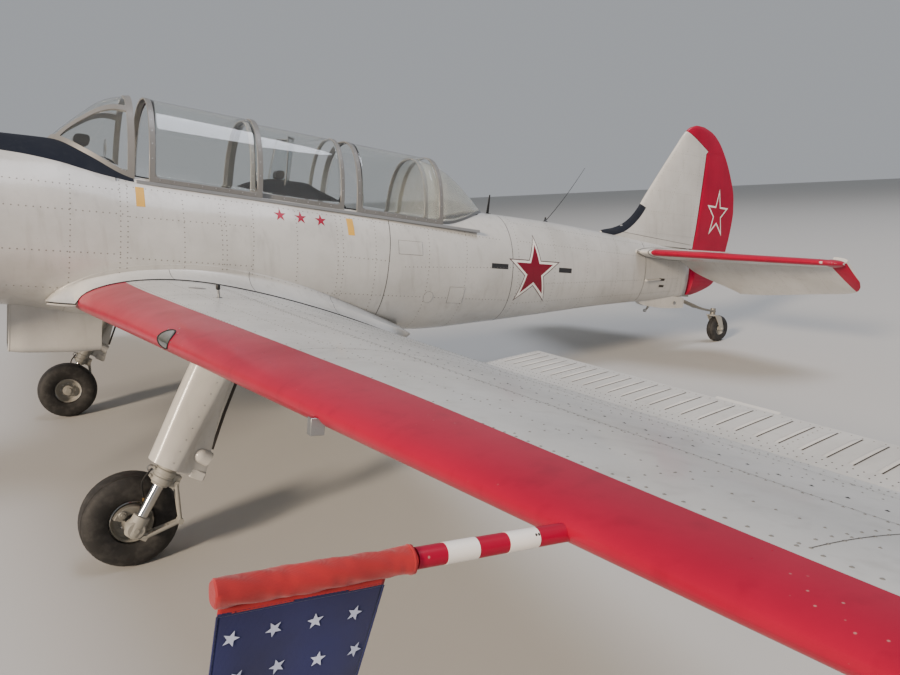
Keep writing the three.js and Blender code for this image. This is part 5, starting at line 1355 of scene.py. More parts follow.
for side_name, sign in SIDES.items():
    body = f"{side_name}_wheel"
    centre = at(WHEEL[0], WHEEL[1] * sign, WHEEL[2])
    tyre, rim, ring = Work(), Work(), Work()
    tyre.lathe(mirrored_profile(pressed(TYRE_PROFILE), pressed([(0, 196)])), centre, ACROSS, 44, closed=True)
    tyre.piece(f"main_tyre_rubber_{side_name}", tyre_rubber, "tyre_rubber", [f"main_tyre_{side_name}"],
               smooth=40, body=body)
    rim.lathe(mirrored_profile(RIM_PROFILE), centre, ACROSS, 56, closed=True)
    for spoke in range(6):
        for out in (13, -13):
            hole = on_wheel(WHEEL, out, 59, 30 + 60 * spoke) * (1, sign, 1)
            rim.lathe([(0, 9.5), (2.4, 9.5), (2.4, 6.5), (0, 6.5)], hole,
                      (0, math.copysign(1, out) * sign, 0), 14, closed=True)
    rim.piece(f"wheel_rim_{side_name}", painted_cast, "cast_alloy", [f"main_rim_{side_name}"], smooth=30,
              body=body)
    for out in (-53, 53):
        turn = np.linspace(0, 360, 60, endpoint=False)
        ring.tube(np.array([on_wheel(WHEEL, out, 85.5, a) for a in turn]) * (1, sign, 1), 0.0022, 6,
                  loop=True)
    bolt_rings(ring, WHEEL, 15, 46, 8, 0.006, sign)
    ring.piece(f"rim_rings_and_bolts_{side_name}", chromed_steel, "polished_steel", smooth=50, body=body)


# Main legs: an oil-and-air strut with a chromed piston, cast collar and axle lug, and a scissor link behind.
LEG_Y = 1512
RAKE = math.radians(26)
LINK_TOP, LINK_KNEE, LINK_FOOT = (-862, 56.4), (-985, 150), (-1080, 44.8)  # h and aft of the scissor's pins


def leg(h, aft=0, out=0):
    """A place beside the leg: aft along its own cross direction and out from its middle plane."""
    h, aft, out = (np.asarray(v, float) for v in (h, aft, out))
    return at(WHEEL[0] + (h - WHEEL[2]) * math.tan(RAKE) + aft * math.cos(RAKE), LEG_Y + out,
              h - aft * math.sin(RAKE))


def leg_lathe(work, rows, flip, sides):
    """A body of rotation on the leg's axis from (h, radius) rows."""
    turn = np.linspace(0, 2 * np.pi, sides, endpoint=False)
    work.loft(np.array([leg(h, r * np.cos(turn), r * np.sin(turn)) for h, r in rows]) * flip)


def leg_bar(work, points, radius, sides, flip):
    """A round bar through (h, aft, out) points beside the leg."""
    work.tube(np.array([leg(*point) for point in points]) * flip, radius, sides)


def leg_block(work, low, high, aft, out, flip):
    corners = [(aft[0], out[0]), (aft[1], out[0]), (aft[1], out[1]), (aft[0], out[1])]
    work.block(np.array([leg(h, *corner) for h in (low, high) for corner in corners]) * flip)


# profiles of the strut with its collar, as (h, radius), of the clamp below it, and of the stub along the axle
STRUT = [(-290, 38), (-828, 38), (-830, 43), (-836, 44), (-846, 44), (-848, 40), (-858, 40), (-860, 44),
         (-878, 44), (-881, 40), (-884, 34), (-890, 33), (-892, 24.5)]
CLAMP = [(-1012, 25), (-1014, 33), (-1046, 35), (-1085, 34), (-1094, 28), (-1096, 0.5)]
STUB = [(-34, 0), (-34, 34), (-28, 37), (24, 37), (30, 33), (30, 12), (36, 12), (36, 0)]
for side_name, sign in SIDES.items():
    flip = (1, sign, 1)
    cylinder = Work()
    leg_lathe(cylinder, STRUT, flip, 32)
    for h in (-838, -869):
        for side in (-1, 1):
            leg_bar(cylinder, [(h, -52, side * 9), (h, -36, side * 9)], 0.0065, 10, flip)
    leg_block(cylinder, -884, -834, (36, 66), (-20, 20), flip)
    # axle lug: a clamp round the piston's foot and the stub that carries the wheel
    leg_lathe(cylinder, CLAMP, flip, 28)
    lug, outward = at(WHEEL[0], LEG_Y * sign, WHEEL[2]), (0, sign, 0)
    cylinder.lathe(STUB, lug, outward, 32)
    cylinder.lathe([(-185, 0), (-185, 20), (-40, 20), (-40, 26), (-30, 26)], lug, outward, 24)
    leg_block(cylinder, -1092, -1062, (24, 58), (-19, 19), flip)
    cylinder.piece(f"leg_castings_{side_name}", painted_cast, "cast_alloy", [f"main_leg_{side_name}"],
                   bevel=0.0015)
    piston = Work()
    leg_lathe(piston, [(-880, 23), (-1018, 23)], flip, 40)
    piston.piece(f"leg_piston_{side_name}", chromed_steel, "polished_steel")
    link = Work()

    def link_arm(a, b, wide_a, wide_b):
        """One arm of the scissor: two cheeks that draw together towards the knee, joined by a web."""
        a, b = np.array((*a, wide_a)), np.array((*b, wide_b))
        for cheek in (-1, 1):
            path = [(a + (b - a) * t) * (1, 1, cheek) for t in np.linspace(0, 1, 7)]
            leg_bar(link, path, np.linspace(0.0085, 0.007, 7), 10, flip)
        for t in (0.35, 0.7):
            web = a + (b - a) * t
            leg_bar(link, [web * (1, 1, -1), web], 0.0055, 8, flip)

    link_arm(LINK_TOP, LINK_KNEE, 22, 9)
    link_arm(LINK_KNEE, LINK_FOOT, 9, 22)
    for place, wide, radius in ((LINK_TOP, 28, 0.011), (LINK_KNEE, 20, 0.0125), (LINK_FOOT, 28, 0.011)):
        leg_bar(link, [(*place, -wide), (*place, wide)], radius, 14, flip)
    link.piece(f"scissor_link_{side_name}", painted_cast, "steel", [f"torque_link_{side_name}"])
    # brake: a cast housing with two cylinders, a brass union and a sleeved steel pipe up to the collar
    brake, fitting, pipe, eye = Work(), Work(), Work(), Work()
    housing = ((44, 60), (80, 60), (82, 66), (78, 84), (46, 84))
    rows = [[on_wheel(WHEEL, out, radius, a) for radius, out in housing] for a in np.linspace(20, 150, 15)]
    brake.loft(np.array(rows) * flip)
    for angle in (48, 122):
        place = on_wheel(WHEEL, 60, 62, angle) * flip
        brake.lathe([(0, 17), (30, 17), (33, 14), (33, 8), (38, 8), (38, 0)], place, outward, 20)
    hub = at(WHEEL[0], WHEEL[1] * sign, WHEEL[2])
    brake.lathe([(48, 0), (48, 40), (62, 40), (62, 34), (72, 30), (72, 0)], hub, outward, 30)
    brake.piece(f"brake_housing_{side_name}", cast_alloy, "cast_alloy", bevel=0.001)
    union_place = on_wheel(WHEEL, 84, 92, 118)
    start = union_place + (0.004, 0, 0.03)
    fitting.tube(np.array([union_place, union_place + (0.002, 0, 0.012), start]) * flip,
                 [0.006, 0.0075, 0.006], 6)
    fitting.piece(f"brake_union_{side_name}", brass, "steel")
    end = leg(-846, -52, -12)
    t = np.linspace(0, 1, 22)[:, None]
    bend = start * (1 - t) ** 3 + 3 * (start + (0.0, 0, 0.07)) * t * (1 - t) ** 2
    bend += 3 * (end + (0.055, 0, -0.05)) * t**2 * (1 - t) + end * t**3
    pipe.tube(bend * flip, 0.0042, 8)
    pipe.piece(f"brake_pipe_{side_name}", black_rubber, "dark_trim")
    eye_turn = np.linspace(0, 2 * np.pi, 20, endpoint=False)
    eye_centre = leg(-846, -58, -12)
    eye.tube((eye_centre + 0.012 * np.stack([np.cos(eye_turn), 0 * eye_turn, np.sin(eye_turn)], 1)) * flip,
             0.003, 8, loop=True)
    eye.piece(f"pipe_clip_{side_name}", bright_steel, "steel")


# Leg fairings: folded aluminium sprayed white, with bright rivets down the nose and a plate trailing behind.
# A rounded blister and a small shoe are riveted low on the plate.
FAIRING = smooth_table([[-815, -90, 152], [-430, -124, 60], [-290, -131, 58]])


def rounded(outline, times=2, keep=0.2):
    """Cuts the corners of a closed outline."""
    for _ in range(times):
        after = np.roll(outline, -1, 0)
        pairs = np.stack([outline * (1 - keep) + after * keep, outline * keep + after * (1 - keep)], 1)
        outline = pairs.reshape(-1, outline.shape[1])
    return outline


def fairing_ring(h):
    """A closed section of the leg's folded fairing plate, square to the leg."""
    front, plate = FAIRING(h)
    outline = np.array([[front + 8, -34], [front, 8], [front + 16, 46], [-30, 66], [14, 66], [34, 56],
                        [52, 38], [plate, 24], [plate, 20], [50, 33], [30, 51], [12, 61], [-28, 61],
                        [front + 20, 42], [front + 5, 6], [front + 12, -34]])
    outline = rounded(outline)
    return leg(h, outline[:, 0], outline[:, 1])


for side_name, sign in SIDES.items():
    flip = (1, sign, 1)
    fairing, blister, shoe, beads, brace = Work(), Work(), Work(), Work(), Work()
    fairing.loft(np.array([fairing_ring(h) for h in np.linspace(-815, -292, 16)]) * flip)
    fairing.piece(f"leg_fairing_sheet_{side_name}", white_enamel, "white_paint",
                  [f"leg_fairing_{side_name}"], smooth=50)
    t = np.linspace(0, 1, 12)
    path = np.array([leg(-732 - 6 * k, 56 + 72 * k, 26) for k in t]) * flip
    swell = 0.031 * np.sqrt(np.clip(1 - (2 * np.clip(t, 0, 0.5) - 1) ** 2, 0.0, 1))
    blister.tube(path, np.maximum(swell, 0.002), 20)
    blister.piece(f"fairing_blister_{side_name}", white_enamel, "white_paint", smooth=60)
    leg_block(shoe, -822, -788, (84, 146), (20, 34), flip)
    shoe.piece(f"fairing_shoe_{side_name}", white_enamel, "white_paint", bevel=0.004)
    nose_h, side_h = np.arange(-800, -330, 22), np.arange(-790, -420, 46)
    for aft, out in ((7, 22), (17, 38)):
        normal = unit(np.tile((0.72, 0.62, 0.3), (len(nose_h), 1)))
        studs(beads, leg(nose_h, FAIRING(nose_h)[0] + aft, out) * flip, normal * flip, 0.0028)
    studs(beads, leg(side_h, -8, 66.4) * flip, np.tile((0.0, 1.0, 0.0), (len(side_h), 1)) * flip, 0.0032)
    beads.piece(f"fairing_rivets_{side_name}", bright_steel, "steel", smooth=80)
    leg_bar(brace, [(-345, 84, 14), (-420, 78, 14), (-560, 96, 16), (-700, 122, 18)], 0.0065, 10, flip)
    leg_bar(brace, [(-330, 70, 30), (-372, 92, 24), (-430, 84, 26)], 0.009, 10, flip)
    brace.lathe([(0, 0), (0, 15), (26, 15), (30, 11), (30, 0)], leg(-392, 96, 10) * flip, (-0.1, 0, -1), 16)
    brace.piece(f"leg_brace_and_fittings_{side_name}", joint_grime_and_painted_shade, "steel")


# Belly scoop: a folded aluminium duct for the oil cooler, rounded below and sprayed with the skin, with a
# rolled lip round its mouth.
SCOOP = smooth_table([[1905, 150, -554], [1975, 165, -558], [2200, 165, -555], [2340, 160, -546]])
SCOOP_TOP, SCOOP_CORNER = -285, 34


def scoop_ring(s, inset):
    """A line round the scoop's walls and rounded bottom, moved in by the inset."""
    half, low = (float(v) for v in SCOOP(s))
    half, low = half - inset - SCOOP_CORNER, low + inset + SCOOP_CORNER
    turn = np.linspace(0, np.pi / 2, 9)
    y = np.concatenate([[half + SCOOP_CORNER], half + SCOOP_CORNER * np.cos(turn)])
    h = np.concatenate([[SCOOP_TOP], low - SCOOP_CORNER * np.sin(turn)])
    return at(s, np.concatenate([y, -y[::-1]]), np.concatenate([h, h[::-1]]))


scoop = Work()
outer, inner = (np.array([scoop_ring(s, inset) for s in np.linspace(1905, 2340, 16)]) for inset in (0, 7))
scoop.grid(outer)
scoop.grid(inner)
for end in (0, -1):
    scoop.grid(np.stack([outer[end], inner[end]]))
scoop.tube((outer[0] + inner[0]) / 2, 0.0062, 10)
scoop.piece("scoop_duct", white_enamel, "white_paint", ["belly_scoop"], weld=0.0002)


# Fin and rudder: the fin is riveted sheet over two spars, with a boot in matt navy on its swept root.
# The rudder is doped fabric over ribs, sprayed gloss red, with a horn above the fin and a white star outline.
FIN = smooth_table([[-85, 7000, 7215, 40], [-50, 7000, 7330, 66], [30, 6990, 7500, 84],
                    [130, 6980, 7570, 88], [250, 6970, 7618, 90], [300, 6040, 7630, 92],
                    [400, 6055, 7650, 96], [435, 6190, 7658, 96], [475, 6290, 7664, 95],
                    [540, 6380, 7674, 94], [620, 6452, 7682, 92], [700, 6502, 7685, 90],
                    [850, 6602, 7660, 84], [1020, 6718, 7586, 77], [1200, 6844, 7472, 64],
                    [1310, 6924, 7368, 54], [1365, 6985, 7275, 42], [1395, 7062, 7170, 16]])
RUDDER_NOSE = smooth_table([[-85, 18], [250, 34], [700, 32], [1190, 24]])
HORN_ROOT, HORN_TIP = (7230, 1190), (6900, 1352)
RUDDER_HINGE = ((7167, -85), HORN_ROOT)
MOVING_GAP = 6
RIB_PITCH = 182
FABRIC_DIP = 1.6


def foil_half(x, thick):
    """Half the thickness of a plain symmetric section."""
    return thick / 0.2 * foil(np.clip(x, 0, 1))


def between_levels(h, a, b):
    """The s of a straight line through two (s, h) points."""
    return a[0] + (h - a[1]) * (b[0] - a[0]) / (b[1] - a[1])


def fin_y(s, h):
    front, back, thick = FIN(h)
    return foil_half((s - front) / (back - front), thick)


def hinge_s(h):
    return between_levels(np.asarray(h, float), *RUDDER_HINGE)


def horn_s(h):
    """The slanted edge between the fin's top and the rudder's horn."""
    return between_levels(h, HORN_ROOT, HORN_TIP)


def fabric_dip(along, pitch):
    """How far doped fabric draws in between two ribs."""
    return FABRIC_DIP * np.sin(np.pi * np.asarray(along) / pitch) ** 2


def eased(front, back, count):
    """Places from a section's front to its back, close together where its nose is round."""
    return front + (back - front) * (1 - np.cos(np.linspace(0, np.pi / 2, count)))


fin = Work()
rings = []
for h in np.concatenate([np.linspace(328, 440, 24), np.linspace(452, 1190, 30), np.linspace(1200, 1326, 14)]):
    if h < HORN_ROOT[1]:
        back = float(hinge_s(h)) - float(RUDDER_NOSE(h)[0]) - MOVING_GAP
    else:
        back = horn_s(h) - MOVING_GAP
    s = eased(float(FIN(h)[0]), back, 20)
    y = fin_y(s, h)
    rings.append(np.concatenate([at(s, y, h), at(s[-1:] - 12, 0 * y[-1:], h), at(s[::-1], -y[::-1], h)]))
fin.loft(np.array(rings))
fin.piece("fin_skin", white_enamel, "white_paint", ["fin"], weld=0.0002, smooth=50)
REARMOST = 7707  # along the ground from the spinner's tip to the rudder's edge


def rudder_ring(h):
    """A closed level section of the rudder: from its hinge nose low down, from the horn's front above."""
    front, back, _ = [float(v) for v in FIN(h)]
    back = min(back, (REARMOST - h * math.sin(PITCH)) / math.cos(PITCH))
    dip = float(fabric_dip(h, RIB_PITCH)) * np.sin(np.pi * np.linspace(0, 1, 16))
    if h < HORN_ROOT[1]:
        hinge, nose = float(hinge_s(h)), float(RUDDER_NOSE(h)[0])
        arc = np.radians(np.linspace(90, 176, 9))
        s = np.concatenate([[hinge + (back - hinge) * t for t in np.linspace(1, 0.04, 16)], hinge + nose
                            * np.cos(arc)])
        y = np.concatenate([np.maximum(fin_y(s[:16], h) - dip, 1.2),
                            np.minimum(nose * np.sin(arc), fin_y(hinge, h))])
    else:
        start = max(horn_s(h) + MOVING_GAP, front)
        s = start + (back - start) * (1 - np.cos(np.linspace(np.pi, 0, 25))) / 2
        y = np.maximum(fin_y(s, h), 0.6)
    return np.concatenate([at(s, y, h), at(s[::-1], -y[::-1], h)])


rudder = Work()
heights = np.concatenate([np.linspace(-84, 1186, 86), np.linspace(1194, 1352, 14),
                          np.linspace(1358, 1394, 8)])
rudder.loft(np.array([rudder_ring(h) for h in heights]))
rudder.piece("rudder_skin", red_enamel, "red_paint", ["rudder"], weld=0.0002, smooth=50, body="rudder")


# Rudder star: the outline of a five-pointed star, masked and sprayed in white on each side of the rudder,
# in a line as wide as a fifth of its radius.
RUDDER_STAR = (7442, 658, 231)
STAR_SQUEEZE = 0.703
rudder_star = Work()
for side in (1, -1):
    bands = []
    for shrink in (1.0, 0.93, 0.86, 0.79):
        outline = np.array(star_outline(RUDDER_STAR[0], RUDDER_STAR[1], RUDDER_STAR[2] * shrink, steps=8))
        s = RUDDER_STAR[0] + (outline[:, 0] - RUDDER_STAR[0]) * STAR_SQUEEZE
        h = outline[:, 1]
        bands.append(at(s, side * (fin_y(s, h) + 0.9), h))
    rudder_star.grid(np.array(bands), loop_v=True)
rudder_star.piece("rudder_star_outline", bright_white, body="rudder")

# the boot runs up the front of the fin's swept root
boot = Work()
boot_h = np.concatenate([np.linspace(404, 432, 16), np.linspace(436, 660, 40)])
boot_front = FIN(boot_h)[0]
along = unit(np.stack([np.gradient(boot_front), np.gradient(boot_h)], 1))
rows = []
for reach in (52, 40, 28, 16, 7, 2):
    s, h = boot_front + along[:, 1] * reach, boot_h - along[:, 0] * reach
    rows.append((s, fin_y(s, h) + 1.6, h))
rows.append((boot_front - along[:, 1] * 3, 0 * boot_h, boot_h + along[:, 0] * 3))
rows += [(s, -y, h) for s, y, h in rows[-2::-1]]
boot.grid(np.array([at(*row) for row in rows]))
boot.piece("fin_root_boot", navy_paint, "dark_trim", smooth=60)


# Fin and rudder details: rivets along the fin's ribs and spars, bead rows low on the rudder, the joint with
# the hull, and a trim strip folded from sheet on the rudder's back edge.
fin_rivets, beads, fin_lines, tab = Work(), Work(), Work(), Work()


def fin_row(work, a, b, pitch=26, radius=0.0026, lift=0.3):
    a, b = np.array(a, float), np.array(b, float)
    count = int(np.linalg.norm(b - a) / pitch) + 1
    line = a + (b - a) * np.linspace(0, 1, count)[:, None]
    y = fin_y(line[:, 0], line[:, 1]) + lift
    for side in (1, -1):
        studs(work, at(line[:, 0], side * y, line[:, 1]), np.tile((0.0, side, 0.0), (count, 1)), radius,
              0.0012)


for h in (430, 610, 790, 970, 1130):
    fin_row(fin_rivets, (float(FIN(h)[0]) + 60, h), (float(hinge_s(h)) - 60, h))
for inset in (52, 90):
    fin_row(fin_rivets, (7180 - inset, 400), (7222 - inset, 1150))
fin_row(fin_rivets, (6700, 420), (6960, 1180))
fin_row(fin_rivets, (6440, 560), (6880, 1220), 32)
fin_rivets.piece("fin_rivets", rivet_grime_and_painted_shade, smooth=80)
for h in (12, 44, 76, 108, 140, 172):
    fin_row(beads, (7200, h), (float(FIN(h)[1]) - 30, h), 16, 0.0034, 0.5)
for h in np.arange(400, 1180, RIB_PITCH):
    fin_row(beads, (float(hinge_s(h)) + 12, h), (float(FIN(h)[1]) - 40, h), 30, 0.0026)
beads.piece("rudder_beads", red_enamel, smooth=80, body="rudder")
base_s = np.linspace(6130, 7120, 60)
base_h = hull_top(base_s, 0 * base_s) + 34
for side in (1, -1):
    y = side * (fin_y(base_s, base_h) + 0.3)
    ribbon(fin_lines, at(base_s, y, base_h), np.tile((0.0, float(side), 0.0), (60, 1)), 0.0028)
fin_lines.piece("fin_joint_lines", joint_grime_and_painted_shade)
STRIP = np.array([(-30, 2.6), (-4, 1.0), (-4, -1.0), (-30, -2.6)])
tab.loft(np.array([at(FIN(h)[1] + STRIP[:, 0], STRIP[:, 1], h) for h in np.linspace(450, 700, 14)]))
tab.piece("rudder_trim_strip", red_enamel, body="rudder")


# Tailplane: two fixed halves of riveted sheet, their noses and tips gloss red, with a thin grey collar round
# the root. The elevator is one fabric-covered piece on a steel tube, hanging down with the stick free.
TAILPLANE = smooth_table([[0, 6318, 7484, 96], [370, 6420, 7488, 92], [1200, 6686, 7380, 70],
                          [1430, 6758, 7340, 62], [1500, 6782, 7310, 56], [1550, 6830, 7250, 40],
                          [1575, 6900, 7170, 18]])
TAILPLANE_H = 258
FIXED_BACK, TIP_BACK = 6934, 6925  # where the fixed half ends ahead of the elevator and of its horn
ELEVATOR_HINGE = 6980
ELEVATOR_DROOP = 35
ELEVATOR_ROOT, ELEVATOR_RIB_PITCH = 62, 176
ELEVATOR_CUT = smooth_table([[62, 7040], [110, 7180], [235, 7320], [385, 7470], [400, 7500]])
HORN_Y = 1462


def tailplane_half(s, y):
    front, back, thick = TAILPLANE(np.minimum(np.abs(y), 1575))
    return foil_half((s - front) / (back - front), thick)


def tailplane_s(y, count):
    return eased(float(TAILPLANE(y)[0]), FIXED_BACK if y < 1456 else TIP_BACK, count)


def wrap(y, upper_s, nose_s, lower_s, lift):
    """A line just off the tailplane's skin: over its top to the nose and out again below."""
    return np.concatenate([at(upper_s, y, TAILPLANE_H + tailplane_half(upper_s, y) + lift),
                           at(nose_s, y, TAILPLANE_H)[None],
                           at(lower_s, y, TAILPLANE_H - tailplane_half(lower_s, y) - lift)])


ELEVATOR_PIN, PIN_AXIS = at(ELEVATOR_HINGE, 0, TAILPLANE_H), (0, -1, 0)


def face_rivets(work, s, y, flip, degrees=0, lift=0.3):
    """Rivets on the top and the bottom of the tailplane or, turned about its pins, of the elevator."""
    for up in (1, -1):
        place = at(s, y, TAILPLANE_H + up * (tailplane_half(s, y) + lift))
        normal = turned(np.array([[0.0, 0.0, float(up)]]), (0, 0, 0), PIN_AXIS, degrees)
        studs(work, turned(place, ELEVATOR_PIN, PIN_AXIS, degrees) * flip, np.tile(normal, (len(s), 1)),
              0.0026, 0.0012)


for side_name, sign in SIDES.items():
    flip = (1, sign, 1)
    skin, nose, collar, rivets = Work(), Work(), Work(), Work()
    rings = []
    stations = np.concatenate([np.linspace(40, 1450, 40), [1456.1], np.linspace(1470, 1540, 8),
                               np.linspace(1548, 1574, 7)])
    for y in stations:
        s = tailplane_s(y, 18)
        half = tailplane_half(s, y)
        rings.append(np.concatenate([at(s, y, TAILPLANE_H + half), at(s[-1] - 10, y, TAILPLANE_H)[None],
                                     at(s[::-1], y, TAILPLANE_H - half[::-1])]))
    skin.loft(np.array(rings) * flip)
    skin.piece(f"stabilizer_skin_{side_name}", white_enamel, "white_paint", [f"stabilizer_{side_name}"],
               weld=0.0002, smooth=50)
    reach = np.array([58, 38, 22, 10, 3, 0.4])
    rows = []
    for y in np.linspace(262, 1500, 40):
        front = float(TAILPLANE(y)[0])
        rows.append(wrap(y, front + reach, front - 0.9, front + reach[::-1] * 0.72, 0.8))
    nose.grid(np.array(rows) * flip)
    rows = []
    for y in np.concatenate([np.linspace(1500, 1545, 6), np.linspace(1550, 1574, 6)]):
        s = tailplane_s(y, 14)
        rows.append(wrap(y, s[::-1], s[0] - 0.9, s, 0.8))
    nose.grid(np.array(rows) * flip)
    nose.piece(f"stabilizer_red_nose_{side_name}", red_enamel, smooth=50)
    for y, width in ((150, 26), (238, 12)):
        s = eased(float(TAILPLANE(y)[0]), 6930, 16)
        edges = [wrap(edge, s[::-1], s[0] - 3, s, 1.8) for edge in (y - width / 2, y + width / 2)]
        collar.grid(np.array(edges) * flip)
    collar.piece(f"stabilizer_root_collar_{side_name}", grey_enamel, thick=0.0012)
    for y in (330, 520, 710, 900, 1090, 1280, 1440):
        face_rivets(rivets, np.arange(float(TAILPLANE(y)[0]) + 70, 6915, 27), y, flip)
    for share in (0.28, 0.92):
        y = np.arange(170, 1440, 27)
        face_rivets(rivets, TAILPLANE(y)[0] + (TIP_BACK - TAILPLANE(y)[0]) * share, y, flip)
    rivets.piece(f"stabilizer_rivets_{side_name}", rivet_grime_and_painted_shade, smooth=80)


def elevator_ring(y):
    """A closed section of the hanging elevator: from its hinge nose, or from the horn's front outboard."""
    front, back, _ = [float(v) for v in TAILPLANE(y)]
    end = min(back, float(ELEVATOR_CUT(y)[0])) if y < 400 else back
    if y < HORN_Y:
        nose = 38 - (y - ELEVATOR_ROOT) * 11 / 1408
        arc = np.radians(np.linspace(90, 176, 8))
        s = ELEVATOR_HINGE + np.concatenate([(end - ELEVATOR_HINGE) * np.linspace(1, 0.05, 14),
                                             nose * np.cos(arc)])
        dip = float(fabric_dip(y - ELEVATOR_ROOT, ELEVATOR_RIB_PITCH)) * np.sin(np.pi * np.linspace(0, 1, 14))
        high = np.concatenate([np.maximum(tailplane_half(s[:14], y) - dip, 1.0),
                               np.minimum(nose * np.sin(arc), tailplane_half(ELEVATOR_HINGE, y))])
    else:
        s = np.linspace(end, max(6940.0, front), 22)
        high = np.maximum(tailplane_half(s, y), 0.6)
    ring = np.concatenate([at(s, y, TAILPLANE_H + high), at(s[::-1], y, TAILPLANE_H - high[::-1])])
    return turned(ring, ELEVATOR_PIN, PIN_AXIS, ELEVATOR_DROOP)


elevator, elevator_marks, elevator_beads = Work(), Work(), Work()
for sign in (1, -1):
    flip = (1, sign, 1)
    stations = np.concatenate([np.linspace(ELEVATOR_ROOT, 400, 26), np.linspace(412, 1458, 66), [1462.1],
                               np.linspace(1475, 1540, 8), np.linspace(1548, 1574, 7)])
    elevator.loft(np.array([elevator_ring(y) for y in stations]) * flip)
    for y in np.arange(ELEVATOR_ROOT + ELEVATOR_RIB_PITCH, 1440, ELEVATOR_RIB_PITCH):
        end = min(float(TAILPLANE(y)[1]), float(ELEVATOR_CUT(min(y, 400))[0])) - 30
        face_rivets(elevator_beads, np.arange(7010, end, 24), y, flip, ELEVATOR_DROOP, 0.4)
    for up in (1, -1):
        rows = []
        for t in np.linspace(0, 1, 10):
            s = 6950 + t * 372
            edge = 1455 + t * 44
            y = edge + (1571 - edge) * np.linspace(0, 1, 12)
            inside = np.minimum(s, TAILPLANE(y)[1] - 2)
            rows.append(at(inside, y, TAILPLANE_H + up * (tailplane_half(inside, y) + 0.9)))
        elevator_marks.grid(turned(np.array(rows), ELEVATOR_PIN, PIN_AXIS, ELEVATOR_DROOP) * flip)
elevator.bar([(ELEVATOR_HINGE, y, TAILPLANE_H) for y in (-79, -40, 0, 40, 79)], 0.02, 20)
elevator.piece("elevator_skin", white_enamel, "white_paint", ["elevator"], weld=0.0002, smooth=50,
               body="elevator")
elevator_marks.piece("elevator_red_tips", red_enamel, smooth=60, body="elevator")
elevator_beads.piece("elevator_rivets", rivet_grime_and_painted_shade, smooth=80, body="elevator")


# Tail gear: a white keel box under the tail, a flat steel spring, and a cast fork on a pivot that carries
# a small grooved tyre. The foot under the rudder is a short steel block.
KEEL = [(6480, -120), (6600, -190), (6840, -212), (7060, -206), (7120, -200), (7120, -106), (6800, -100)]
keel, keel_trim = Work(), Work()
outline = rounded(np.array(KEEL, float), times=2, keep=0.12)
keel.loft(np.array([at(outline[:, 0], y, outline[:, 1]) for y in (-23.5, 23.5)]))
keel.piece("keel_fairing", white_enamel, "white_paint", ["tail_keel"], bevel=0.003)
for side in (1, -1):
    s = np.arange(6560, 7100, 26)
    place = at(s, side * 23.8, np.interp(s, [6480, 6600, 6840, 7060, 7120], [-110, -176, -198, -192, -188]))
    studs(keel_trim, place, np.tile((0.0, float(side), 0.0), (len(s), 1)), 0.0028, 0.0014)
    keel_trim.lathe([(0, 0), (0, 15), (5, 15), (7, 12), (7, 0)], at(6996, side * 23, -160), (0, side, 0), 18)
keel_trim.bar([(6700, 0, -205), (6684, 0, -226), (6668, 0, -236)], [0.012, 0.009, 0.009])
keel_trim.lathe([(-9, 0), (-9, 13), (9, 13), (9, 0)], at(6664, 0, -238), (0, 1, 0), 16)
keel_trim.piece("keel_rivets_and_lug", bright_steel, "steel")

spring_steel = plain_paint("ground_grey_spring_steel", "#8D8980", 0.45, 300.0, 0.2, 0.6)
LEAF = smooth_table([[6985, -112], [7090, -127], [7220, -160], [7400, -205], [7550, -222], [7576, -224]])
AFTWARD, UPWARD = at(1, 0, 0) - at(0, 0, 0), at(0, 0, 1) - at(0, 0, 0)
spring = Work()
for front, back, count, half, low, high in ((6990, 7574, 34, 22, -9, 9), (7000, 7300, 16, 19, -18, -9.4)):
    stations = np.linspace(front, back, count)
    spring.loft(np.array([at(s, [-half, half, half, -half], LEAF(s)[0] + [low, low, high, high])
                          for s in stations]))
spring.lathe([(0, 0), (0, 24), (56, 24), (56, 0)], at(7560, 0, -252), UPWARD, 24)
spring.piece("tail_spring_leaves", spring_steel, "steel", ["tail_spring"], bevel=0.0015)
foot = Work()
foot.bar_block((7060, 7185), (-14, 14), (-101, -85.6))
foot.piece("rudder_foot", cast_alloy, "cast_alloy", bevel=0.002)

TAIL_WHEEL = (7646, 0, -382)
CHEEK = [(7538, -257), (7620, -261), (7650, -320), (7668, -376), (7664, -398), (7646, -405), (7628, -398),
         (7624, -376), (7580, -310)]
fork, tail_tyre, tail_rim = Work(), Work(), Work()
fork.lathe([(0, 0), (0, 34), (3, 38), (12, 38), (15.3, 30), (15.3, 0)], at(7560, 0, -268), UPWARD, 28)
fork.bar_block((7536, 7584), (-51.5, 51.5), (-267.5, -256.5))
outline = rounded(np.array(CHEEK, float), times=2, keep=0.2)
for side in (1, -1):
    fork.loft(np.array([at(outline[:, 0], side * y, outline[:, 1]) for y in (44.2, 51.6)]))
    fork.lathe([(51, 0), (51, 15), (58, 15), (58, 11), (64, 9), (64, 0)], at(*TAIL_WHEEL), (0, side, 0), 6)
fork.bar([(7646, y, -382) for y in (-50, -20, 20, 50)], 0.0078, 14)
fork.piece("tail_fork_casting", painted_cast, "cast_alloy", ["tail_fork"], bevel=0.0015, body="tail_swivel")
TAIL_TYRE_PROFILE = [(30, 58.4), (36, 60), (39, 76), (38, 96), (32, 110), (22, 118), (18, 119.5),
                     (17, 116.5), (14, 116.5), (13, 120.5), (4, 122.8)]
tail_tyre.lathe(mirrored_profile(pressed(TAIL_TYRE_PROFILE, 0.25)), at(*TAIL_WHEEL), ACROSS, 36, closed=True)
tail_tyre.piece("tail_tyre_rubber", tyre_rubber, "tyre_rubber", ["tail_tyre"], smooth=40, body="tail_wheel")
TAIL_RIM_PROFILE = [(30, 58), (32, 56), (30, 53), (12, 48), (10, 26), (24, 20), (30, 18), (30, 8.7)]
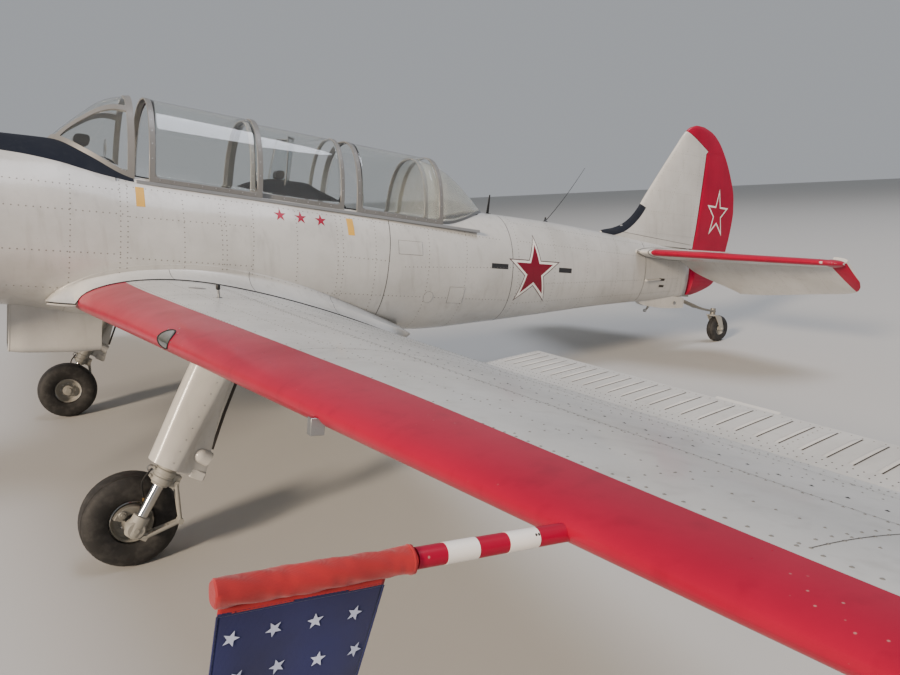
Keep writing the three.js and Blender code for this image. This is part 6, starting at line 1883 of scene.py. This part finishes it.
tail_rim.lathe(mirrored_profile(TAIL_RIM_PROFILE), at(*TAIL_WHEEL), ACROSS, 36, closed=True)
bolt_rings(tail_rim, TAIL_WHEEL, 11.5, 38, 6, 0.004, 1)
tail_rim.piece("tail_wheel_rim", painted_cast, "cast_alloy", ["tail_rim"], smooth=30, body="tail_wheel")


# Trim levers: a sprayed link on a boss at each side of the tail, running aft into a slot in the skin,
# with a second slot below it.
LEVER_FRONT, LEVER_BACK, LEVER_H = 6500, 6694, 30
levers, lever_slots = Work(), Work()
for sign in (1, -1):
    flip = (1, sign, 1)
    link_s = np.linspace(LEVER_FRONT, LEVER_BACK, 12)
    levers.tube(on_hull(link_s, np.linspace(LEVER_H - 4, LEVER_H + 10, 12), np.linspace(13, 5, 12)) * flip,
                0.0065, 10)
    levers.tube(on_hull(np.full(2, LEVER_FRONT), np.full(2, LEVER_H - 4), np.array([-2, 18])) * flip,
                0.0095, 14)
# each slot is a flat dark patch on the skin: painted shade for the opening
patch(lever_slots, box_outline(6684, 6764, LEVER_H, LEVER_H + 20, steps=4), 0.6)
patch(lever_slots, box_outline(6700, 6770, -26, -6, steps=4), 0.6)
levers.piece("trim_levers", white_enamel, smooth=60)
lever_slots.piece("trim_lever_slot_painted_shade", joint_grime_and_painted_shade)


# Air data boom: a steel tube banded in red and white enamel, out of the port leading edge.
# Its front is under a cover: a sleeve sewn from coarse red cotton, tied on, with a blue flag below it.
BOOM_Y, BOOM_H = 3920, -205
BANDS = [(2190, 2226, "red"), (2226, 2268, "white"), (2268, 2310, "red"), (2310, 2354, "white"),
         (2354, 2404, "red")]
BAND_PAINT = {"red": red_enamel, "white": bright_white}
for number, (front, back, paint) in enumerate(BANDS):
    band = Work()
    swell = 0.35 if paint == "white" else 0.0
    long, radius = back - front, 12 + swell
    band.lathe([(0, 0), (0, radius), (long, radius), (long, 0)], at(front, BOOM_Y, BOOM_H), AFTWARD, 32)
    band.piece(f"boom_band_{number}", BAND_PAINT[paint], "red_paint", ["air_data_boom"] if number == 0
               else [])
# the two drain holes are small dark studs: painted shade for the openings
boom_drain = Work()
studs(boom_drain, at([2348, 2352], BOOM_Y + 9.6, BOOM_H + 7.6), np.tile((0.0, 0.8, 0.6), (2, 1)), 0.0022,
      0.0009, 8)
boom_drain.piece("boom_drain_hole_painted_shade", joint_grime_and_painted_shade)


def woven_cloth(name, colour, fold_colour, thread=0.0011):
    """Plain-woven cotton: two crossed sets of threads, drawn at twice their real spacing to show."""
    m = new_material(name)
    place = add(m, "TexCoord").outputs["Object"]
    threads = {"Scale": 0.314 / thread, "Distortion": 0.4, "Vector": place}
    warp = add(m, "TexWave", {"bands_direction": "X", **threads})
    weft = add(m, "TexWave", {"bands_direction": "Z", **threads})
    weave = add(m, "Math", {"operation": "MULTIPLY", 0: warp.outputs["Fac"], 1: weft.outputs["Fac"]})
    soil = add(m, "TexNoise", {"Scale": 16.0, "Detail": 5.0, "Vector": place})
    amount = add(m, "MapRange", {"From Min": 0.4, "From Max": 0.75, "To Max": 0.6, "Value": soil})
    tone = add(m, "Mix", {"data_type": "RGBA", 6: linear(colour), 7: linear(fold_colour), 0: amount})
    bump = add(m, "Bump", {"Strength": 0.5, "Distance": 0.0004, "Height": weave})
    shader = add(m, "BsdfPrincipled", {"Roughness": 0.85, "IOR": 1.45, "Sheen Weight": 0.25,
                                       "Sheen Roughness": 0.5, "Base Color": tone.outputs[2],
                                       "Normal": bump})
    add(m, "OutputMaterial", {"Surface": shader})
    return m


red_cotton = woven_cloth("woven_red_cotton", "#A3121A", "#6E0D12")
blue_cotton = woven_cloth("woven_blue_cotton", "#10184E", "#0A1034")
white_thread = woven_cloth("printed_white_on_cotton", "#B9C2DC", "#8C96B8")
sleeve = Work()
sleeve_rings = []
turn = np.linspace(0, 2 * np.pi, 40, endpoint=False)
for s in np.concatenate([[1975.5], np.linspace(1977, 2186, 54)]):
    share = (s - 1975) / 211
    drawn = 0.5 + 0.5 * math.sin(share * 58 + 1.7 * math.sin(share * 21))
    ring = 14.7 + 0.9 * drawn * np.sin(turn * 2 + share * 9) + 0.5 * np.sin(turn * 5 + share * 31)
    ring = ring + np.clip((share - 0.93) * 14, 0, 1) * 0.7
    if s < 1976:
        ring = ring * 0.82
    sleeve_rings.append(at(s, BOOM_Y + ring * np.cos(turn), BOOM_H + ring * np.sin(turn)))
sleeve.loft(np.array(sleeve_rings))
sleeve.tube([at(2183, BOOM_Y + 15.2 * math.cos(a), BOOM_H + 15.2 * math.sin(a)) for a in turn], 0.0013, 6,
            loop=True)
sleeve.piece("cover_sleeve", red_cotton, "cover_cloth", ["boom_cover"], smooth=60)


# Flag: blue cotton with small printed stars, hemmed on three sides. It is sewn under a narrow red heading
# strip and hangs from the sleeve.
FLAG_DROP = 276
FLAG_FRONT, FLAG_BACK = (1982, 1958), (2157, 2093)
HEADING = 0.04


def flag(u, v, lift=0.0):
    """A place on the hanging flag: u from front to back, v from top to bottom."""
    u, v = np.broadcast_arrays(np.asarray(u, float), np.asarray(v, float))
    front = FLAG_FRONT[0] + (FLAG_FRONT[1] - FLAG_FRONT[0]) * v
    back = FLAG_BACK[0] + (FLAG_BACK[1] - FLAG_BACK[0]) * v
    fold = 8.5 * v * np.sin(2 * np.pi * (1.45 * u + 0.12 + 0.15 * v))
    fold = fold + 2.2 * v**2 * np.sin(2 * np.pi * 3.6 * u)
    return at(front + (back - front) * u, BOOM_Y + fold + lift, BOOM_H - 13 - (FLAG_DROP - 13) * v)


heading, cloth, cloth_stars, hem = Work(), Work(), Work(), Work()
u = np.linspace(0, 1, 40)
heading.grid(flag(u[:, None], np.linspace(0, HEADING, 6)))
heading_piece = heading.piece("flag_heading", red_cotton, "cover_cloth", thick=0.0016, smooth=80)
cloth.grid(flag(u[:, None], np.linspace(HEADING - 0.01, 1, 50)))
cloth_piece = cloth.piece("flag_cloth", blue_cotton, "cover_cloth", thick=0.0009, smooth=80)
for row in range(6):
    for column in range(4):
        middle_u = 0.09 + 0.25 * column + (0.07 if row % 2 else 0.0)
        middle_v = 0.13 + 0.155 * row
        for lift in (1.1, -1.9):
            a = np.radians(np.arange(0, 360, 36) + 11 * row + 23 * column)
            r = np.where(np.arange(10) % 2 == 0, 1.0, 0.42)
            rim = flag(middle_u + 0.052 * r * np.cos(a), middle_v + 0.031 * r * np.sin(a), lift)
            cloth_stars.cap(rim)
stars_piece = cloth_stars.piece("flag_stars", white_thread, smooth=80)
for edge_u in (0.0, 1.0):
    hem.tube(flag(edge_u, np.linspace(HEADING, 1, 50)), 0.0011, 6)
hem.tube(flag(u, 1.0), 0.0011, 6)
hem.tube(flag(u, HEADING), 0.0009, 6)
hem_piece = hem.piece("flag_hem", blue_cotton, smooth=80)


# Cockpit inside: a painted plywood floor with bright metal foot slats, and at each seat an instrument panel
# of painted sheet under a padded leather-covered hood. The dials carry plain marks only.
def cockpit_half(s, h):
    return hull_side_y(s, h) - 16


dark_grey_paint = plain_paint("sprayed_cockpit_grey", "#4B4F52", 0.6, 220.0, 0.2)
dial_black = plain_paint("matt_dial_black", "#0E0F10", 0.5, 400.0, 0.1)
dial_mark = plain_paint("printed_dial_white", "#D9D8D0", 0.6, 400.0, 0.05)
dial_glass = acrylic("flat_dial_glass", "#DDE3E6", 0.02)
floor_boards = Work()
floor_s = np.linspace(1740, 4390, 40)
floor_y = np.minimum(cockpit_half(floor_s, -306), 418)
floor_boards.grid(np.stack([at(floor_s, -floor_y, -285.5), at(floor_s, floor_y, -285.5)], 1))
floor_boards.piece("cockpit_floor_boards", dark_grey_paint, "dark_trim", ["cockpit_floor"], thick=0.012)
slats = Work()
for y in (-180, -110, -40, 40, 110, 180):
    for front, back in ((2180, 2580), (3300, 3720)):
        slats.bar_block((front, back), (y - 9, y + 9), (-285, -279))
slats.piece("foot_slats", bright_steel, "steel", bevel=0.001)


REAR_CREST = smooth_table([[3050, 404], [3135, 457], [3230, 488], [3314, 500], [3483, 500], [3585, 462],
                           [3660, 436], [3725, 408]])
COAMINGS = [("front", 2130, 2400, 2366, 250), ("rear", 3056, 3718, 3522, 232)]
for name, front, back, face_s, low in COAMINGS:
    hood = Work()
    rows = []
    for s in np.linspace(front, back, 26):
        if name == "front":
            y = np.linspace(-1, 1, 33) * min(cockpit_half(s, 420) - 4, 420)
            h = hull_top(s, y) - 15 - 26 * np.clip((s - 2372) / 28, 0, 1) ** 2
        else:
            y = np.linspace(-1, 1, 33) * 262
            base = rail_h(s) - 26
            h = base + (float(REAR_CREST(s)[0]) - base) * (1 - np.abs(y / 262) ** 2.6) ** 0.8
        rows.append(at(s, y, h))
    hood.grid(np.array(rows))
    hood.piece(f"panel_hood_{name}", black_leather, "dark_trim", [f"panel_{name}"], thick=0.003, smooth=60)
    face, dials, needles, rims, glasses = Work(), Work(), Work(), Work(), Work()
    side = np.linspace(-1, 1, 21)
    wide = cockpit_half(face_s, 300) - 14
    lower = at(face_s, side * wide, low + 0 * side)
    upper = at(face_s, side * wide * 0.94, rail_h(face_s) + 20 * (1 - side**2))
    face.grid(np.stack([lower, upper]))
    face.piece(f"panel_face_{name}", dark_grey_paint, thick=0.004)
    places = [(y, rail_h(face_s) - 62, 38) for y in (-270, -180, -90, 0, 90, 180, 270)]
    places += [(y, rail_h(face_s) - 142, 27) for y in (-225, -135, -45, 45, 135, 225)]
    for y, h, radius in places:
        if abs(y) + radius > wide - 6:
            continue
        centre = at(face_s + 1, y, h)
        rim = [(0, radius + 5), (5, radius + 5), (6, radius + 2), (5, radius), (0, radius)]
        for work, profile in ((rims, rim), (dials, [(1.5, 0), (1.5, radius)]),
                              (glasses, [(4.2, 0), (4.2, radius)])):
            work.lathe(profile, centre, AFTWARD, 28)
        for tick in range(12):
            a = math.radians(30 * tick)
            ends = [(face_s + 3, y + r * math.cos(a), h + r * math.sin(a))
                    for r in (radius * 0.74, radius * 0.92)]
            needles.bar(ends, 0.0009, 4)
        a = math.radians((y * 7 + h * 3) % 360)
        tip = (face_s + 4.5, y + radius * 0.66 * math.cos(a), h + radius * 0.66 * math.sin(a))
        needles.bar([(face_s + 4.5, y, h), tip], [0.0016, 0.0006], 5)
    dials.piece(f"dial_faces_{name}", dial_black, outward=at(face_s - 500, 0, 300))
    needles.piece(f"dial_marks_{name}", dial_mark)
    rims.piece(f"dial_rims_{name}", bright_steel)
    glasses.piece(f"dial_glasses_{name}", dial_glass, outward=at(face_s - 500, 0, 300))


# On the hoods: a black compass box ahead of each seat, a wire ring sight beside the front one, and a
# curved acrylic wind deflector with a bound edge between the seats.
boxes, sight, deflector, deflector_edge = Work(), Work(), Work(), Work()
for s, y, h, long, wide, tall in ((2196, 0, 552, 80, 66, 64), (3314, 0, 500, 58, 56, 56)):
    corners = [[0, 4], [long - 12, 0], [long, tall * 0.5], [long - 4, tall], [14, tall], [0, tall * 0.75]]
    outline = rounded(np.array(corners, float), 2, 0.2)
    boxes.loft(np.array([at(s + outline[:, 0], y + out, h + outline[:, 1]) for out in (-wide / 2, wide / 2)]))
    boxes.bar([(s + long / 2, y, h - 36), (s + long / 2, y, h + 6)], 0.013, 14)
boxes.piece("compass_boxes", black_plastic, bevel=0.002)
SIGHT_S, SIGHT_H = 2354, 558
turn = np.linspace(0, 2 * np.pi, 40, endpoint=False)
for radius, wire in ((48, 0.0016), (21, 0.0011)):
    sight.bar([(SIGHT_S, radius * math.cos(a), SIGHT_H + radius * math.sin(a)) for a in turn], wire, 6,
              loop=True)
for a in (math.pi / 4, 3 * math.pi / 4):
    sight.bar([(SIGHT_S, r * math.cos(a), SIGHT_H + r * math.sin(a)) for r in (-48, 48)], 0.0009, 5)
sight.bar([(SIGHT_S, 0, 494), (SIGHT_S, 0, 511)], 0.005)
sight.piece("ring_sight", grey_enamel, smooth=80)
across = np.linspace(-1, 1, 25)
rows = []
for lift in np.linspace(0, 1, 12):
    half = 168 * (1 - 0.42 * lift**2.2)
    level = 496 - 40 * across**2 * (1 - lift) + 262 * lift
    rows.append(at(3400 - 74 * across**2 + 26 * lift, half * across, level))
rows = np.array(rows)
deflector.grid(rows)
deflector.piece("wind_deflector", dial_glass, thick=0.003)
deflector_edge.tube(np.concatenate([rows[:, 0], rows[-1, 1:-1], rows[::-1, -1]]), 0.0028, 8)
deflector_edge.piece("wind_deflector_edge", grey_enamel, smooth=80)


# Seats: pans and backs of pressed sheet on a bent-tube stand, with a webbing harness, a stick and pedals.
# The cushions are sewn canvas sacks of kapok, swelled with a cloth simulation and then piped along the seams.
seat_canvas = woven_cloth("waxed_olive_canvas", "#5A5440", "#3E3A2C", 0.0016)
harness_web = woven_cloth("woven_harness_web", "#8E8A7C", "#66624F", 0.0014)


CUSHION_PRESSURE = 3.0
MOST_SWELL = 0.016


def cushion(name, first, last, half, thick):
    """A sewn cushion between two (s, h) edges: a low box that a cloth simulation swells."""
    corners = at([first[0], last[0], last[0], first[0]], [-half, -half, half, half],
                 [first[1], last[1], last[1], first[1]])
    normal = unit(np.cross(corners[1] - corners[0], corners[3] - corners[0]))

    def between(u, v):
        lower, upper = (corners[i] * (1 - u) + corners[j] * u for i, j in ((0, 1), (3, 2)))
        return lower * (1 - v) + upper * v

    u, v = np.meshgrid(np.linspace(0, 1, 22), np.linspace(0, 1, 20), indexing="ij")
    flat = between(u[..., None], v[..., None])
    edge = np.minimum(np.minimum(u, 1 - u), np.minimum(v, 1 - v))
    rise = (np.clip(edge / 0.09, 0, 1) ** 0.5)[..., None] * thick
    work = Work()
    work.grid(flat + rise * normal)
    work.grid(flat)
    rim = np.concatenate([flat[:, 0], flat[-1, 1:], flat[-2::-1, -1], flat[0, -2:0:-1]])
    work.grid(np.stack([rim, rim + 0.0001 * normal]), loop_v=True)
    thing = work.piece(name, seat_canvas, "seat_cloth", weld=0.0004, smooth=80)
    swell = thing.modifiers.new("cushion", "CLOTH")
    swell.settings.quality = 5
    swell.settings.mass = 0.25
    swell.settings.tension_stiffness = 18
    swell.settings.compression_stiffness = 18
    swell.settings.bending_stiffness = 0.6
    swell.settings.use_pressure = True
    swell.settings.uniform_pressure_force = CUSHION_PRESSURE
    swell.settings.effector_weights.gravity = 0
    swell.point_cache.frame_start = 1
    swell.point_cache.frame_end = 14
    scene = bpy.context.scene
    for frame_number in range(1, 15):
        scene.frame_set(frame_number)
    depsgraph = bpy.context.evaluated_depsgraph_get()
    swelled = bpy.data.meshes.new_from_object(thing.evaluated_get(depsgraph))
    before = np.array([v.co for v in thing.data.vertices])
    after = np.array([v.co for v in swelled.vertices])
    thing.modifiers.clear()
    scene.frame_set(1)
    move = after - before
    length = np.linalg.norm(move, axis=1)[:, None]
    move *= np.minimum(1, MOST_SWELL / np.maximum(length, 1e-9))
    under = ((before - corners[0]) @ normal < 0.002)[:, None]
    move = np.where(under, move - np.minimum(move @ normal, 0)[:, None] * normal, move)
    for vertex, place in zip(thing.data.vertices, before + move):
        vertex.co = place
    thing.data.update()
    fine = thing.modifiers.new("fine", "SUBSURF")
    fine.levels = fine.render_levels = 1
    seam = Work()
    seam.tube(rim + normal * thick * 0.1, 0.0028, 6, loop=True)
    for share in (0.33, 0.67):
        line = between(share, np.linspace(0.06, 0.94, 24)[:, None])
        seam.tube(line + normal * (thick + 0.0035), 0.0018, 6)
    seam.piece(name + "_piping", seat_canvas, "seat_cloth", smooth=80)


# (s, y, h) from the back of a seat
SHOULDER_STRAP = [(60, 62, 318), (36, 66, 322), (14, 70, 262), (-10, 72, 150), (-34, 76, 20), (-64, 84, -70),
                  (-120, 104, -104), (-190, 120, -101)]
LAP_STRAP = [(-60, 192, -118), (-110, 180, -100), (-170, 130, -92), (-230, 70, -94), (-250, 26, -95)]
SEAT_LEG = [(-378, -150), (-372, -276), (-340, -281), (-100, -281), (-66, -276), (-60, -150)]


def strap(work, path, edges, seat_s, side, count):
    """A length of webbing between two edges beside a path."""
    path = np.array(path, float)
    fine = np.linspace(0, len(path) - 1, count)
    line = np.stack([np.interp(fine, range(len(path)), values) for values in path.T], 1)
    work.grid(np.stack([at(*((line + edge) * (1, side, 1) + (seat_s, 0, 0)).T) for edge in edges], 1))


for name, seat_s in (("front", 3010), ("rear", 4130)):
    pan, harness, buckle, stick, grip, pedals, lever = (Work() for _ in range(7))
    pan.bar_block((seat_s - 416, seat_s - 22), (-196, 196), (-149.5, -143))
    for side in (-1, 1):
        pan.bar_block((seat_s - 416, seat_s - 30), (side * 196 - 3, side * 196 + 3), (-149.5, -112))
    pan.bar_block((seat_s - 419, seat_s - 412), (-196, 196), (-149.5, -120))
    pan.block(np.concatenate([at([s, s, s + 6, s + 6], [-196, 196, 196, -196], h)
                              for s, h in ((seat_s - 36, -149), (seat_s + 74, 326))]))
    for side in (-1, 1):
        pan.bar([(seat_s + s, side * 146, h) for s, h in SEAT_LEG], 0.0095, 12)
        pan.bar([(seat_s - 20, side * 170, -150), (seat_s + 88, side * 170, 300)], 0.008, 12)
    hoop = ((88, -170, 300), (96, -120, 322), (96, 120, 322), (88, 170, 300))
    pan.bar([(seat_s + s, y, h) for s, y, h in hoop], 0.008, 12)
    pan.piece(f"seat_pan_{name}", dark_grey_paint, "seat_cloth", [f"seat_{name}"], bevel=0.0012)
    cushion(f"seat_cushion_{name}", (seat_s - 405, -143), (seat_s - 46, -143), 186, 0.03)
    cushion(f"back_cushion_{name}", (seat_s - 32, -86), (seat_s + 57, 300), 180, 0.026)
    for side in (-1, 1):
        strap(harness, SHOULDER_STRAP, ((-8, -21, 4), (-8, 21, 4)), seat_s, side, 44)
        strap(harness, LAP_STRAP, ((-20, 0, 0), (20, 0, 0)), seat_s, side, 30)
    harness.piece(f"harness_{name}", harness_web, "seat_cloth", thick=0.0022, smooth=80)
    buckle.lathe([(0, 0), (0, 30), (9, 30), (12, 24), (12, 0)], at(seat_s - 250, 0, -96), UPWARD, 24)
    for side in (-1, 1):
        buckle.bar_block((seat_s - 34, seat_s - 28), (side * 72 - 26, side * 72 + 26), (130, 160))
    buckle.piece(f"harness_buckles_{name}", bright_steel, "steel", bevel=0.001)
    stick_s = seat_s - (510 if name == "front" else 490)
    stick.lathe([(0, 0), (0, 26), (8, 26), (12, 18), (40, 14), (300, 12.5), (300, 0)],
                at(stick_s, 0, -284.6), UPWARD, 20)
    stick.piece(f"stick_tube_{name}", bright_steel, "steel")
    hand = [(0, 13), (4, 15.5), (30, 15), (60, 15.8), (92, 15), (101, 13), (104, 0)]
    grip.lathe(hand, at(stick_s, 0, 15.5), UPWARD, 24)
    turn = np.linspace(0, 2 * np.pi, 18, endpoint=False)
    for h in (30, 48, 66, 84):
        grip.bar([(stick_s + 15.2 * math.cos(a), 15.2 * math.sin(a), h) for a in turn], 0.0011, 5, loop=True)
    grip.piece(f"stick_grip_{name}", black_rubber, "dark_trim", [f"stick_{name}"])
    for y in (-150, 150):
        pedals.bar_block((stick_s - 260, stick_s - 250), (y - 45, y + 45), (-190, -110))
        pedals.bar([(stick_s - 250, y, -150), (stick_s - 200, y, -220), (stick_s - 190, y, -283)], 0.009)
    pedals.piece(f"rudder_pedals_{name}", dark_grey_paint, bevel=0.002)
    lever.bar_block((stick_s + 60, stick_s + 320), (332, 352), (40, 120))
    for top_s, top_h in ((stick_s + 110, 180), (stick_s + 170, 164)):
        lever.bar([(top_s + 10, 342, 110), (top_s, 338, top_h)], 0.006)
        lever.lathe([(-13, 0), (-13, 13), (13, 13), (13, 0)], at(top_s, 338, top_h + 4), ACROSS, 18)
    lever.piece(f"throttle_box_{name}", black_plastic, bevel=0.002)


# Aerials: a short moulded blade behind the canopy and a thin sprung steel whip that leans aft, each bolted
# to the hull's spine on a round foot.
aerials = Work()
blade_rows = []
for h in np.linspace(425, 575, 10):
    share = (h - 425) / 150
    long, thick = 26 - 14 * share, 7 - 4 * share
    turn = np.linspace(0, 2 * np.pi, 16, endpoint=False)
    blade_rows.append(at(4930 + 10 * share + long * np.cos(turn) / 2, thick * np.sin(turn) / 2, h))
aerials.loft(np.array(blade_rows))
aerials.lathe([(0, 0), (0, 26), (5, 24), (7, 0)], at(4932, 0, 434), UPWARD, 24)
whip = [(5475 + 358 * t, 0, 424 + 456 * t - 20 * math.sin(math.pi * t)) for t in np.linspace(0, 1, 14)]
aerials.bar(whip, np.linspace(0.003, 0.0014, 14), 8)
aerials.lathe([(0, 0), (0, 22), (8, 20), (14, 9), (40, 6), (40, 0)], at(5478, 0, 420), UPWARD, 24)
aerials.piece("aerials", black_plastic, smooth=60)


# Nose: a round cowling of spun and riveted sheet with a rolled lip, painted white, with hinge and joint
# lines and turn-fasteners; inside its mouth a ring of grey shutters, and the engine behind them.
AXIS_H = 35
AXIS_START = at(0, 0, AXIS_H)
COWL_INNER = [(1419, 504), (800, 504), (640, 496), (520, 476), (470, 452), (445, 425), (428, 413), (420, 417)]
cowl_curve = smooth_table([[428, 450], [460, 470], [520, 492], [640, 510], [800, 518], [1180, 518],
                           [1419, 516]])
cowl = Work()
outer_s = np.concatenate([np.linspace(428, 640, 16), np.linspace(680, 1419, 14)])
lip_turn = np.linspace(-math.pi / 2, math.pi / 2, 9)
lip = [(420 + 9 * (1 - math.cos(a)), 431.5 + 18.5 * math.sin(a)) for a in lip_turn]
profile = lip[:-1] + [(s, float(cowl_curve(s)[0])) for s in outer_s] + COWL_INNER[:-2]
cowl.lathe(profile, AXIS_START, AFTWARD, 96, closed=True)
cowl.piece("cowling_sheet", white_enamel, "white_paint", ["cowling"], smooth=40)


def about_axis(s, radius, turn, aside=0.0):
    """A place round the engine's axis, or beside the radius that points there."""
    return at(s, radius * np.cos(turn) - aside * np.sin(turn), AXIS_H + radius * np.sin(turn) + aside
              * np.cos(turn))


def on_cowl(s, degrees, out=0.0):
    return about_axis(s, cowl_curve(np.asarray(s, float))[0] + out, np.radians(degrees))


def cowl_normal(degrees):
    a = np.radians(np.asarray(degrees, float))
    return np.stack([0 * a, np.cos(a), np.sin(a)], -1)


cowl_lines, cowl_rivets, cowl_latches = Work(), Work(), Work()
for s in (700, 1120):
    angle = np.linspace(0, 360, 121)
    ribbon(cowl_lines, on_cowl(s, angle), cowl_normal(angle), 0.0028)
for degrees in (0, 180, 62, 118, 270):
    s = np.linspace(520, 1412, 60)
    ribbon(cowl_lines, on_cowl(s, degrees), cowl_normal(0 * s + degrees), 0.0028)
for s in (560, 684, 716, 1104, 1136, 1396):
    angle = np.arange(0, 360, 3.2)
    studs(cowl_rivets, on_cowl(s, angle, 0.3), cowl_normal(angle), 0.003, 0.0013)
for degrees in (2.6, 177.4, 64.6, 115.4):
    s = np.arange(540, 1400, 28)
    studs(cowl_rivets, on_cowl(s, degrees, 0.3), cowl_normal(0 * s + degrees), 0.003, 0.0013)
for degrees in (-3.2, 183.2):
    for s in np.arange(600, 1400, 110):
        cowl_latches.lathe([(0, 0), (0, 9), (1.6, 9), (2.2, 7), (2.2, 0)], on_cowl(s, degrees),
                           cowl_normal(degrees), 16)
HANDLE = ((-2.5, 3), (0, 4.5), (5, 4.5), (7.5, 3))  # degrees round the cowling, and away from it
for degrees, s in ((-6, 760), (-6, 1060), (186, 760), (186, 1060)):
    cowl_latches.tube(np.array([on_cowl(s, degrees + step, out) for step, out in HANDLE]), 0.0055, 10)
cowl_lines.piece("cowling_joint_lines", joint_grime_and_painted_shade)
cowl_rivets.piece("cowling_rivets", rivet_grime_and_painted_shade, smooth=80)
cowl_latches.piece("cowling_latches", bright_steel, "steel")
glare_cowl = Work()
glare_cowl.grid(on_cowl(np.linspace(470, 1417, 40)[:, None], np.linspace(22, 158, 60), 0.7))
glare_cowl.piece("anti_glare_paint_cowling", navy_paint)

shutters, engine = Work(), Work()
SHUTTER_COUNT, SHUTTER_LAP = 24, 1.12
share = np.linspace(0, 1, 5)[:, None, None]
for k in range(SHUTTER_COUNT):
    turn = 2 * np.pi / SHUTTER_COUNT * np.array([k, k + SHUTTER_LAP])
    front, back = (about_axis(s, np.array([176, 423]), a) for s, a in zip((446.4, 454), turn))
    shutters.grid(front * (1 - share) + back * share)
turn = np.linspace(0, 2 * np.pi, 90, endpoint=False)
for radius in (178, 300, 421):
    shutters.tube(about_axis(451, radius, turn), 0.0045, 8, loop=True)
shutters.piece("cowl_shutter_blades", grey_enamel, "frame_paint", ["cowl_shutters"], thick=0.0012)

CRANKCASE = [(402, 0), (402, 90), (480, 130), (610, 150), (640, 200), (980, 200), (1050, 170), (1415, 160),
             (1415, 0)]
engine.lathe(CRANKCASE, AXIS_START, AFTWARD, 40)
CYLINDER = [(0, 0)]
for level in range(0, 240, 12):
    CYLINDER += [(level, 74), (level + 3, 74), (level + 3, 62), (level + 12, 62)]
CYLINDER += [(244, 60), (262, 40), (266, 0)]
for k in range(9):
    a = math.radians(90 + 40 * k)
    outward = at(0, math.cos(a), math.sin(a)) - at(0, 0, 0)
    engine.lathe(CYLINDER, about_axis(780, 190, a), outward, 24)
    for aside in (-26, 26):
        engine.tube(np.array([about_axis(700, 170, a, aside), about_axis(726, 430, a, aside)]), 0.009, 10)
engine.lathe([(1300, 0), (1300, 430), (1310, 430), (1310, 0)], AXIS_START, AFTWARD, 48)
engine.piece("engine_and_cylinders", cast_alloy, "cast_alloy", ["engine_block"], smooth=30)


# Spinner and propeller: a spun aluminium cap sprayed red on a steel hub; three laminated wooden blades are
# lacquered black, with bare-metal leading edge strips and yellow tips.
spinner = Work()
SPINNER_CURVE = smooth_table([[0, 2], [4, 24], [12, 42], [50, 86], [120, 123], [200, 146], [284, 155]])
stations = np.concatenate([np.linspace(0.8, 12, 8), np.linspace(20, 284, 24)])
profile = [(0.7, 0)] + [(s, float(SPINNER_CURVE(s)[0])) for s in stations] + [(284.6, 153), (284.6, 0)]
spinner.lathe(profile, AXIS_START, AFTWARD, 64)
spinner.piece("spinner_cap", red_enamel, "red_paint", ["spinner"], smooth=40, body="propeller")
spinner_screws = Work()
a = np.radians(np.arange(0, 360, 20))
normal = np.stack([0 * a + 0.05, np.cos(a), np.sin(a)], 1)
studs(spinner_screws, about_axis(270, 154.2, a), normal, 0.0045, 0.0014, 8)
spinner_screws.piece("spinner_screws", bright_steel, smooth=80, body="propeller")
black_lacquer = sprayed_enamel("black_lacquered_laminate", "#17171A", "#2B2A29", 0.3, 0.4, wave=0.1,
                               speck=0.35, chip_colour="#6E5A44")
BLADE = smooth_table([[60, 70, 60, 70], [180, 80, 55, 62], [300, 130, 34, 50], [500, 165, 22, 38],
                      [800, 160, 16, 27], [1050, 125, 11, 21], [1150, 90, 9, 19], [1196, 42, 6, 18]])


def blade_ring(r, direction, grow=0.0, part=None):
    """A blade's section at a radius, grown outward, all round or only at some turns of it."""
    chord, thick, pitch = [float(v) for v in BLADE(r)]
    turn = np.linspace(0, 2 * np.pi, 28, endpoint=False) if part is None else part
    along = np.cos(turn) * (chord / 2 + grow)
    across = np.sin(turn) * (thick / 2 + grow)
    p = math.radians(pitch)
    side = along * math.cos(p) - across * math.sin(p)
    fore = along * math.sin(p) + across * math.cos(p)
    return about_axis(330 + fore, r, math.radians(direction), side)


blades, tips, strips = Work(), Work(), Work()
for direction in (90, 210, 330):
    blades.loft(np.array([blade_ring(r, direction) for r in np.linspace(70, 1197, 44)]))
    tips.grid(np.array([blade_ring(r, direction, 0.7) for r in np.linspace(1120, 1196, 8)]), loop_v=True)
    tips.cap(blade_ring(1197.5, direction, 0.2))
    strips.grid(np.array([blade_ring(r, direction, 0.8, np.linspace(-0.5, 0.5, 7))
                          for r in np.linspace(480, 1118, 26)]))
blades.lathe([(287, 0), (287, 118), (371, 118), (371, 42), (399, 39), (399, 0)], AXIS_START, AFTWARD, 48)
blades.piece("propeller_blades_and_hub", black_lacquer, "blade_finish", ["propeller"], smooth=40,
             body="propeller")
tips.piece("propeller_yellow_tips", yellow_paint, smooth=60, body="propeller")
strips.piece("blade_edge_strips", bright_steel, smooth=60, body="propeller")
